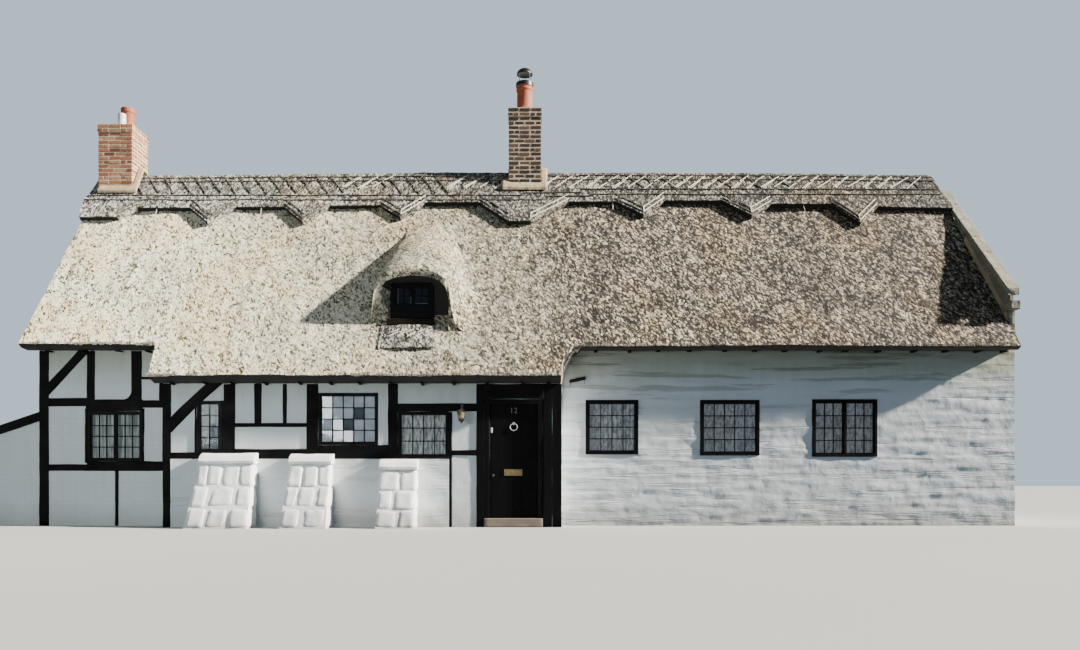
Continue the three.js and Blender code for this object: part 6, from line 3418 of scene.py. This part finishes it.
@dataclass
class Lantern:
    """A four-sided hanging lantern beside the door."""

    x: float = -1.313
    y: float = -0.20
    foot: float = 1.745

    def build(self, paints: Paintbox) -> None:
        """Build the cage, its panes and its bracket.

        Args:
            paints: the finishes.
        """
        x, y, z = self.x, self.y, self.foot
        low, high = 0.040, 0.066
        parts = []
        corners = [(-1, -1), (1, -1), (1, 1), (-1, 1)]
        for (ax, ay), (bx, by) in zip(corners, corners[1:] + corners[:1]):
            a0 = (x + ax * low, y + ay * low, z + 0.045)
            a1 = (x + ax * high, y + ay * high, z + 0.195)
            b0 = (x + bx * low, y + by * low, z + 0.045)
            b1 = (x + bx * high, y + by * high, z + 0.195)
            for start, end, radius in ((a0, a1, 0.0055), (a0, b0, 0.005), (a1, b1, 0.0065)):
                parts.append(rod("rail", start, end, radius))
        roof = turned("roof", [
            (0.100, 0.192), (0.102, 0.198), (0.074, 0.216), (0.040, 0.236), (0.016, 0.246),
            (0.010, 0.262), (0.014, 0.272), (0.0, 0.284), (0.0, 0.192), (0.100, 0.192),
        ], steps=4)
        base = turned("base", [
            (0.0, 0.0), (0.012, 0.004), (0.016, 0.014), (0.030, 0.030), (0.062, 0.040), (0.062, 0.048),
            (0.0, 0.048),
        ], steps=4)
        square = (0, 0, math.pi / 4)
        for part in (roof, base):
            parts.append(placed(part, (x, y, z), square))
        parts.append(rod("hook", (x, y, z + 0.28), (x, y, z + 0.31), 0.005, 8))
        parts.append(block("arm", (x - 0.007, x + 0.007, y - 0.01, -0.0125, z + 0.300, z + 0.314)))
        scroll = [(y + 0.03, 0.30), (y + 0.09, 0.265), (y + 0.15, 0.27), (y + 0.185, 0.30)]
        for (ya, za), (yb, zb) in zip(scroll, scroll[1:]):
            parts.append(rod("scroll", (x, ya, z + za), (x, yb, z + zb), 0.005, 6))
        plate = block("plate", (x - 0.02, x + 0.02, -0.0205, -0.0125, z + 0.235, z + 0.335))
        chamfer(plate, 0.003)
        parts.append(plate)
        hand_over(join("lantern_cage", parts), [paints.iron], ("lantern",))
        glass = placed(turned("lantern_panes", [(0.054, 0.05), (0.089, 0.19)], steps=4), (x, y, z), square)
        apply_modifier(glass, "SOLIDIFY", thickness=0.003)
        hand_over(glass, [paints.amber])


@dataclass
class Swingletree:
    """The dark wooden bar with iron hooks on the wall by the corner."""

    y: float = 0.466

    def build(self, paints: Paintbox) -> None:
        """Build the bar and its hooks.

        Args:
            paints: the finishes.
        """
        y = self.y
        profile = [(0.0, 0.0), (0.022, 0.003), (0.028, 0.02), (0.026, 0.06), (0.030, 0.145), (0.026, 0.23)]
        profile += [(0.028, 0.27), (0.022, 0.287), (0.0, 0.29)]
        bar = placed(
            turned("hanging_bar", profile, steps=20), (0.510, y, 2.520), (0, math.pi / 2 - 0.20, 0),
        )
        hand_over(bar, [paints.weathered_oak], ("swingletree_bar",))
        parts = []
        for x, z in ((0.535, 2.525), (0.653, 2.549), (0.771, 2.573)):
            parts.append(ring(0.029, 0.005, (20, 6), (x, y, z), (0, math.pi / 2, 0)))
            parts.append(rod("pin", (x, y + 0.01, z + 0.03), (x, 0.51, z + 0.045), 0.005, 6))
        parts.append(rod("drop", (0.535, y, 2.497), (0.527, y - 0.004, 2.440), 0.005, 6))
        parts.append(rod("drop", (0.771, y, 2.545), (0.779, y - 0.004, 2.485), 0.005, 6))
        hand_over(join("hanging_bar_irons", parts), [paints.iron])


@dataclass
class RafterFeet:
    """Short black ends of the rafters under the eaves."""

    form: RoofForm

    def row(self, x0: float, x1: float, wall: float, eave: float, side: Face) -> list[bpy.types.Object]:
        """The rafter ends along one stretch of eave.

        Args:
            x0: left end of the row.
            x1: right end of the row.
            wall: line of the wall's face.
            eave: line of the eave.
            side: the way that the eave faces.

        Returns:
            The rafter ends.
        """
        sign = side.value
        count = int((x1 - x0) / 0.52)
        parts = []
        pick = random.Random(count)
        for i in range(count + 1):
            x = x0 + (x1 - x0) * i / count + pick.uniform(-0.06, 0.06)
            drop = pick.uniform(0.012, 0.045)
            outer = wall - sign * (abs(wall - eave) - 0.12)
            top_wall = self.form.under(wall) - 0.005
            lip = self.form.top(eave) - 0.075
            t = abs(outer - wall) / abs(eave - wall)
            top_out = top_wall + (lip - top_wall) * t
            loops = [[
                (px, wall + sign * 0.05, top_wall - drop), (px, wall + sign * 0.05, top_wall),
                (px, outer, top_out), (px, outer, top_out - 0.020),
            ] for px in (x - 0.026, x + 0.026)]
            part = solid_of("foot", loops)
            chamfer(part, 0.006, 1)
            parts.append(part)
        return parts

    def build(self, finish: bpy.types.Material) -> None:
        """Build the rows under each eave.

        Args:
            finish: its material.
        """
        parts = self.row(-8.5, -6.75, 0.5, 0.17, Face.FRONT)
        parts += self.row(-6.2, 0.2, 0.0, -0.285, Face.FRONT)
        parts += self.row(1.0, 8.1, 0.5, 0.17, Face.FRONT)
        parts += self.row(-8.5, 8.1, 5.8, 6.12, Face.REAR)
        hand_over(join("rafter_feet", parts), [finish])


@dataclass
class DormerWindow:
    """The small two-leaf window under the hood, with its board and sill."""

    y: float = 0.58
    x0: float = -2.6197
    x1: float = -1.8703
    z0: float = 3.6503
    z1: float = 4.2697

    def build(self, paints: Paintbox) -> None:
        """Build the frame, the leaves, the panes and the sill.

        Args:
            paints: the finishes.
        """
        y, x0, x1, z0, z1 = self.y, self.x0, self.x1, self.z0, self.z1
        boxes = [
            (x0, x0 + 0.075, y, y + 0.08, z0, z1), (x1 - 0.075, x1, y, y + 0.08, z0, z1),
            (x0 + 0.075, x1 - 0.075, y, y + 0.08, z1 - 0.07, z1),
            (x0, x1, y - 0.012, y + 0.03, z0, z0 + 0.115),
            (x0, x1, y - 0.008, y + 0.03, z0 + 0.118, z0 + 0.225),
            (x0, x1, y + 0.03, y + 0.08, z0, z0 + 0.225),
            (-2.264, -2.226, y + 0.004, y + 0.07, z0 + 0.225, z1 - 0.07),
        ]
        for a, b in ((x0 + 0.075, -2.264), (-2.226, x1 - 0.075)):
            boxes += [
                (a, a + 0.026, y + 0.010, y + 0.05, 3.875, 4.20),
                (b - 0.026, b, y + 0.010, y + 0.05, 3.875, 4.20),
                (a, b, y + 0.010, y + 0.05, 3.875, 3.902), (a, b, y + 0.010, y + 0.05, 4.174, 4.20),
                ((a + b) / 2 - 0.009, (a + b) / 2 + 0.009, y + 0.016, y + 0.044, 3.875, 4.20),
                (a, b, y + 0.0165, y + 0.0435, 4.03, 4.048),
            ]
        parts = [block("bar", box) for box in boxes]
        piece = join("dormer_joinery", parts)
        chamfer(piece, 0.003)
        hand_over(piece, [paints.joinery], ("dormer_window",))
        sill = block("sill", (-2.68, -1.86, 0.44, 0.60, 3.51, 3.615))
        cross_cuts(sill, 0, 0.2)
        Relief((0.3, 0.3, 0.3), 0.010).press(sill)
        chamfer(sill, 0.008)
        hand_over(sill, [paints.weathered_oak])
        panes = []
        for a, b in ((x0 + 0.10, -2.29), (-2.20, x1 - 0.10)):
            pane = block("pane", (a, b, y + 0.028, y + 0.031, 3.90, 4.175))
            panes.append(pane)
        hand_over(join("dormer_panes", panes), [paints.painted_shade_glass], ("dormer_glass",))
        beads = [
            block("bead", (a, b, y + 0.006, y + 0.012, c, d)) for a, b, c, d in (
                (-2.505, -2.497, 3.90, 4.17), (-2.508, -2.46, 4.035, 4.041), (-2.275, -2.268, 3.90, 4.02),
                (-2.20, -1.975, 3.902, 3.909),
            )
        ]
        hand_over(join("dormer_putty", beads), [paints.putty])


@dataclass
class LeanTo:
    """The boarded roof of the lean-to at the left end.

    Args:
        left: left end of its front wall.
        right: where it meets the house.
        y0: the line of its front wall.
        y1: how far back its roof goes.
        eave: height of the roof's underside at the left end.
        pitch: rise of the roof to the right.
        thick: depth of the roof.
        overhang: how far the roof stands out at the left.
        boards: number of boards.
    """

    left: float = -10.06
    right: float = -8.7603
    y0: float = 0.55
    y1: float = 2.50
    eave: float = 1.40
    pitch: float = 0.34
    thick: float = 0.16
    overhang: float = 0.06
    boards: int = 9

    def build(self, paints: Paintbox) -> None:
        """Build the boards; the front wall is built with the other rough walls.

        Args:
            paints: the finishes.
        """
        low = self.eave - self.pitch * self.overhang
        high = self.eave + self.pitch * (self.right - self.left)
        end = self.left - self.overhang
        step = (self.y1 - self.y0 + 0.1) / self.boards
        boards = []
        for i in range(self.boards):
            a = self.y0 - 0.05 + i * step
            board = solid_of("board", [[
                (end, y, low + 0.004), (self.right, y, high + 0.004),
                (self.right, y, high + self.thick - 0.004), (end, y, low + self.thick - 0.004),
            ] for y in (a + 0.002, a + step - 0.002)])
            chamfer(board, 0.006)
            boards.append(board)
        piece = join("lean_to_boards", boards)
        hand_over(piece, [paints.oak], ("lean_to_roof",))


# Studio


@dataclass
class Studio:
    """The pale floor, the light and the camera.

    Args:
        eye: where the camera stands, in the frame's axes.
        lens: its focal length in millimetres.
        raised: its upward shift as a share of the picture's width.
        sun: the way to the sun.
        fill: where the soft fill lamp stands.
        filled: the place that it faces.
    """

    eye: Point = (0.87, -18.025, 0.8)
    lens: float = 30
    raised: float = 0.1435
    sun: Point = (0.885, -0.115, 0.45)
    fill: Point = (-8.5, -15.5, 3.0)
    filled: Point = (-5.5, -2.8, 2.2)

    def floor(self) -> None:
        """A wide pale floor just under the walls."""
        bpy.ops.mesh.primitive_plane_add(size=160, location=(0, 20, -0.001))
        plane = bpy.context.object
        plane.name = "studio_floor"
        plane.data.materials.append(StageFinish().make())
        plane.visible_diffuse = False

    def light(self) -> None:
        """A sun from the right, a weak soft fill from the left and an even sky."""
        world = bpy.data.worlds.new("studio")
        bpy.context.scene.world = world
        world.use_nodes = True
        nodes, links = world.node_tree.nodes, world.node_tree.links
        sky = nodes["Background"]
        sky.inputs["Color"].default_value = (0.64, 0.81, 1.0, 1)
        sky.inputs["Strength"].default_value = 0.26
        backdrop = nodes.new("ShaderNodeBackground")
        backdrop.inputs["Color"].default_value = (0.60, 0.74, 0.86, 1)
        backdrop.inputs["Strength"].default_value = 1.0
        rays = nodes.new("ShaderNodeLightPath")
        choice = nodes.new("ShaderNodeMixShader")
        links.new(rays.outputs["Is Camera Ray"], choice.inputs["Fac"])
        links.new(sky.outputs[0], choice.inputs[1])
        links.new(backdrop.outputs[0], choice.inputs[2])
        links.new(choice.outputs[0], nodes["World Output"].inputs["Surface"])
        self.lamp("SUN", "key_sun", (12, -14, 12), Vector(self.sun), {
            "energy": 19.0, "angle": math.radians(2.5), "color": (1.0, 0.945, 0.85),
        })
        self.lamp("AREA", "soft_fill", self.fill, Vector(self.fill) - Vector(self.filled), {
            "energy": 140.0, "spread": math.radians(80), "shape": "RECTANGLE", "size": 6.0, "size_y": 1.6,
            "color": (0.95, 1.0, 0.97),
        })

    def lamp(self, kind: str, name: str, place: Point, back: Vector, settings: dict) -> None:
        """Add one lamp.

        Args:
            kind: SUN or AREA.
            name: the lamp's name.
            place: where it stands.
            back: the way from what it lights to the lamp.
            settings: its values by name, in the order in which they are set.
        """
        bpy.ops.object.light_add(type=kind, location=place)
        lamp = bpy.context.object
        lamp.name = name
        for key, value in settings.items():
            setattr(lamp.data, key, value)
        lamp.rotation_euler = back.to_track_quat("Z", "Y").to_euler()

    def camera(self) -> None:
        """A level camera in front of the house, raised by shift as in the photo."""
        bpy.ops.object.camera_add(location=self.eye, rotation=(math.pi / 2, 0, 0))
        camera = bpy.context.object
        camera.name = "front_camera"
        camera.data.lens = self.lens
        camera.data.sensor_width = 36
        camera.data.shift_y = self.raised
        camera.data.clip_end = 400
        bpy.context.scene.camera = camera

    def build(self) -> None:
        """Set up the studio."""
        self.floor()
        self.light()
        self.camera()


# The house

BAY_WINDOW = WindowSize("window_bay", -7.905, -6.960, 1.130, 2.000, 3, 4, 2)
OUTSHOT_WINDOWS = [
    WindowSize("window_outshot_left", -5.810, -5.400, 1.270, 2.140, 2, 4),
    WindowSize("window_outshot_middle", -3.755, -2.745, 1.393, 2.275, 5, 4),
    WindowSize("window_outshot_right", -2.405, -1.545, 1.180, 1.960, 4, 3),
]
STONE_WINDOWS = [
    WindowSize("window_front_left", 0.800, 1.720, 1.250, 2.200, 4, 4, 1, 0.048, 0.035),
    WindowSize("window_front_middle", 2.804, 3.841, 1.231, 2.200, 5, 4, 1, 0.048, 0.035),
    WindowSize("window_front_right", 4.764, 5.901, 1.208, 2.212, 3, 4, 2, 0.048, 0.035),
]
REAR_WINDOWS = [
    WindowSize("window_rear_left", -6.200, -5.063, 1.208, 2.212, 3, 4, 2, 0.048, 0.035),
    WindowSize("window_rear_middle", -1.900, -0.863, 1.231, 2.200, 5, 4, 1, 0.048, 0.035),
    WindowSize("window_rear_right", 4.764, 5.901, 1.208, 2.212, 3, 4, 2, 0.048, 0.035),
]
BAY_TIMBERS = [Timber(*edges) for edges in (
    (-8.755, -8.593, 0.0, 3.2), (-7.928, -7.788, 2.15, 3.2), (-7.151, -6.972, 2.15, 3.2),
    (-6.605, -6.41, 1.08, 3.2), (-8.600, -7.900, 2.086, 2.235), (-7.950, -6.950, 2.002, 2.209),
    (-6.990, -6.41, 2.065, 2.195), (-6.990, -6.59, 2.560, 2.602), (-8.600, -7.905, 0.958, 1.075),
    (-7.930, -6.590, 0.958, 1.128), (-7.431, -7.375, 0.0, 0.970), (-7.96, -7.905, 1.10, 2.05),
    (-6.960, -6.925, 1.10, 2.05), (-6.665, -6.60, 2.19, 2.60),
)]
BAY_BRACES = [Brace((-8.66, 2.32), (-7.945, 3.10), 0.155, 0.0)]
OUTSHOT_TIMBERS = [Timber(*edges) for edges in (
    (-6.388, -6.253, 0.0, 2.7), (-5.363, -5.163, 1.25, 2.7), (-4.838, -4.719, 1.72, 2.7),
    (-4.355, -4.295, 1.72, 2.7), (-3.956, -3.757, 1.30, 2.7), (-2.575, -2.407, 1.157, 2.7),
    (-1.078, -0.950, 0.0, 2.7), (-6.260, -2.560, 1.157, 1.268), (-5.17, -2.560, 1.20, 1.325),
    (-3.79, -2.570, 1.300, 1.390), (-2.440, -1.500, 1.157, 1.178), (-5.170, -3.950, 1.698, 1.766),
    (-2.570, -1.070, 1.962, 2.096), (-1.600, -1.070, 1.213, 1.308), (-1.542, -1.491, 0.0, 1.95),
    (-5.40, -5.35, 1.25, 2.15), (-5.85, -5.812, 1.25, 2.15), (0.055, 0.205, 0.0, 2.7),
    (0.208, 0.368, 0.0, 2.7), (-0.96, 0.050, 2.172, 2.7),
)]
OUTSHOT_BRACES = [Brace((-6.31, 1.665), (-5.44, 2.50), 0.185, 0.02)]


class Cottage:
    """Builds the whole house piece by piece."""

    def __init__(self) -> None:
        """Set the forms, the stacks and the finishes."""
        self.form = RoofForm()
        self.paints = Paintbox(self.form.angle)
        self.left_stack = StackSize("left_chimney", -8.86, -8.18, 2.80, 3.53, 0.0, 5.9, 7.94, 0.062, 0.018)
        self.centre_stack = StackSize(
            "centre_chimney", -0.63, 0.02, 2.85, 3.52, 0.1505, 6.3, 8.29, 0.064, 0.025,
        )

    def roof(self) -> None:
        """Thatch, ridge, dormer hood, fringes and rafters."""
        form, paints = self.form, self.paints
        stacks = [self.left_stack.hole(), self.centre_stack.hole()]
        slopes = ThatchSlopes(form, paints)
        slopes.build(stacks, (-2.62, -1.87, 0.5, 2.6, 3.64, 4.27))
        RidgeCap(form, paints).build(stacks)
        DormerHood(form, Hood(), paints).build()
        Apron(form, paints).build()
        RafterFeet(form).build(paints.oak)
        self.fringes(slopes)

    def fringes(self, slopes: ThatchSlopes) -> None:
        """Straw ends along the eaves.

        Args:
            slopes: the slopes that give the line of the eaves.
        """
        fringe = StrawFringe(self.paints.fringe)
        down = Vector((0, -math.cos(self.form.angle), -math.sin(self.form.angle)))
        places = []
        x = self.form.left + 0.05
        while x < 8.2:
            line, lip, _ = slopes.eave(x)
            ahead = slopes.eave(x + 0.04)
            along = Vector((0.04, ahead[0] - line, ahead[1] - lip))
            centre = Vector((x, line + 0.004, lip + 0.056))
            places.append((centre, down, along))
            x += 0.095 * min(1.0, 0.04 / max(along.length, 0.04)) + 0.004
        fringe.lay("front_eave_straws", places)
        places = []
        down = Vector((0, math.cos(self.form.angle), -math.sin(self.form.angle)))
        x = self.form.left + 0.05
        while x < 8.2:
            y = self.form.rear_eave - 0.006
            places.append((Vector((x, y, self.form.top(y) - 0.006)), down, Vector((1, 0, 0))))
            x += 0.115
        fringe.lay("rear_eave_straws", places)
        fringe.clear()

    def walls(self) -> None:
        """Every rendered wall."""
        form, paints = self.form, self.paints
        top = form.under(0.95) + 0.02
        thin_top = form.under(0.3) + 0.02
        plinth = [
            Relief((0.42, 1.0, 0.24), 0.030, direction="Y", middle=0.42),
            Relief((0.1, 1, 0.08), 0.008, direction="Y"),
        ]
        stone_holes = [w.opening() for w in STONE_WINDOWS]
        outshot_holes = [w.opening() for w in OUTSHOT_WINDOWS]
        rear_holes = [w.opening() for w in REAR_WINDOWS]
        for size, holes, reliefs, finish, node in (
            (
                WallSize("painted_rubble_wall", 0.07, RIGHT_FACE, FRONT_FACE, 0.45, top),
                stone_holes, RUBBLE, paints.limewash, "stone_wall",
            ), (
                WallSize(
                    "bay_panels", LEFT_FACE, -6.3905, FRONT_FACE, 0.30, form.under(0.8) + 0.02, cell=0.05,
                ),
                [BAY_WINDOW.opening()], DAUB, paints.panel_brick, "bay_wall",
            ), (
                WallSize("outshot_panels", -6.39, -0.9493, OUTSHOT_FACE, 0.30, thin_top, cell=0.05),
                outshot_holes, DAUB, paints.panel, "outshot_wall",
            ), (
                WallSize(
                    "panel_over_door", -0.9487, 0.0697, OUTSHOT_FACE, 0.30, thin_top, z0=2.1703,
                    cell=0.06,
                ),
                [], DAUB, paints.panel, "wall_over_door",
            ), (
                WallSize("painted_plinth", -6.2527, -1.5423, -0.03, 0.33, 1.156, cell=0.045),
                [], plinth, paints.limewash, "outshot_plinth",
            ), (
                WallSize(
                    "rear_rubble_wall", LEFT_FACE, RIGHT_FACE, REAR_FACE, 0.45, top, Face.REAR,
                    cell=0.075,
                ),
                rear_holes, RUBBLE, paints.limewash, "rear_wall",
            ),
        ):
            Wall(size, form, holes, reliefs).build([finish], (node,))

    def dress_nodes(self) -> None:
        """Give the CAD nodes that stay their finishes."""
        paints = self.paints
        finishes = {"ground_floor": paints.flags, "attic_floor": paints.boards}
        for name, finish in finishes.items():
            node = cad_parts[name]
            node.data.materials.clear()
            node.data.materials.append(finish)

    def build(self) -> None:
        """Build every sub-assembly in order."""
        form, paints = self.form, self.paints
        self.roof()
        self.walls()
        TimberFrame("bay_timbers", FRONT_FACE, form, BAY_TIMBERS, BAY_BRACES).build(
            paints.oak, "bay_timber_frame", ((-7.145, 2.203, 0.165),))
        TimberFrame("outshot_timbers", OUTSHOT_FACE, form, OUTSHOT_TIMBERS, OUTSHOT_BRACES).build(
            paints.oak, "outshot_timber_frame")
        fine = [Look(paints.fine_net, paints.glass)] * 3
        varied = [
            Look(paints.dim_net, paints.glass), Look(paints.net, paints.painted_reflection_glass, (9, 14)),
            Look(paints.striped_net, paints.glass),
        ]
        for sizes, face, side, name, node, behind, looks in (
            ([BAY_WINDOW], FRONT_FACE, Face.FRONT, "bay_panes", "bay_glass", 0.10,
             [Look(paints.folded_net, paints.glass)]),
            (OUTSHOT_WINDOWS, OUTSHOT_FACE, Face.FRONT, "outshot_panes", "outshot_glass", 0.10, varied),
            (STONE_WINDOWS, FRONT_FACE, Face.FRONT, "front_panes", "stone_wall_glass", 0.11, fine),
            (REAR_WINDOWS, REAR_FACE, Face.REAR, "rear_panes", "rear_wall_glass", 0.11, fine),
        ):
            Glazing(sizes, face, side, paints).build(name, node, behind, looks)
        for stack, brick, seed in (
            (self.left_stack, paints.brick_left, 3), (self.centre_stack, paints.brick_centre, 8),
        ):
            BrickStack(stack, seed).build(brick, paints.mortar)
            Flaunching(stack, form).build(paints.flaunching)
        Pots(self.left_stack, self.centre_stack, paints).build()
        for name, x0, x1, top, splay, seed in (
            ("buttress_left", -5.69, -4.77, 1.25, 0.18, 21),
            ("buttress_middle", -4.19, -3.48, 1.24, 0.11, 22),
            ("buttress_right", -2.68, -2.05, 1.15, 0.05, 23),
        ):
            Buttress(name, x0, x1, top, splay, seed).build(paints.sunlit_white, name)
        FrontDoor(paints).build()
        Lantern().build(paints)
        Swingletree().build(paints)
        DormerWindow().build(paints)
        LeanTo().build(paints)
        coping = Coping(form, paints)
        coping.build()
        room = join("parapet_room", [coping.room(Face.FRONT), coping.room(Face.REAR)])
        for node, axis, face, cell, finish, cutter in (
            ("right_gable_wall", 0, RIGHT_FACE, 0.10, paints.limewash, room),
            ("left_gable_front", 0, LEFT_FACE, 0.12, paints.limewash, None),
            ("left_gable_rear", 0, LEFT_FACE, 0.12, paints.limewash, None),
            ("outshot_left_return", 0, -6.39, 0.10, paints.panel, None),
            ("outshot_right_return", 0, 0.37, 0.10, paints.limewash, None),
            ("lean_to_wall", 1, 0.55, 0.07, paints.panel_brick, None),
        ):
            RoughNode(node, axis, face, cell).build(finish, cutter)
        self.dress_nodes()


def main() -> None:
    """Build the cottage and the studio."""
    logging.basicConfig(level=logging.INFO, format="%(message)s")
    Cottage().build()
    Studio().build()


if __name__ == "__main__":
    main()
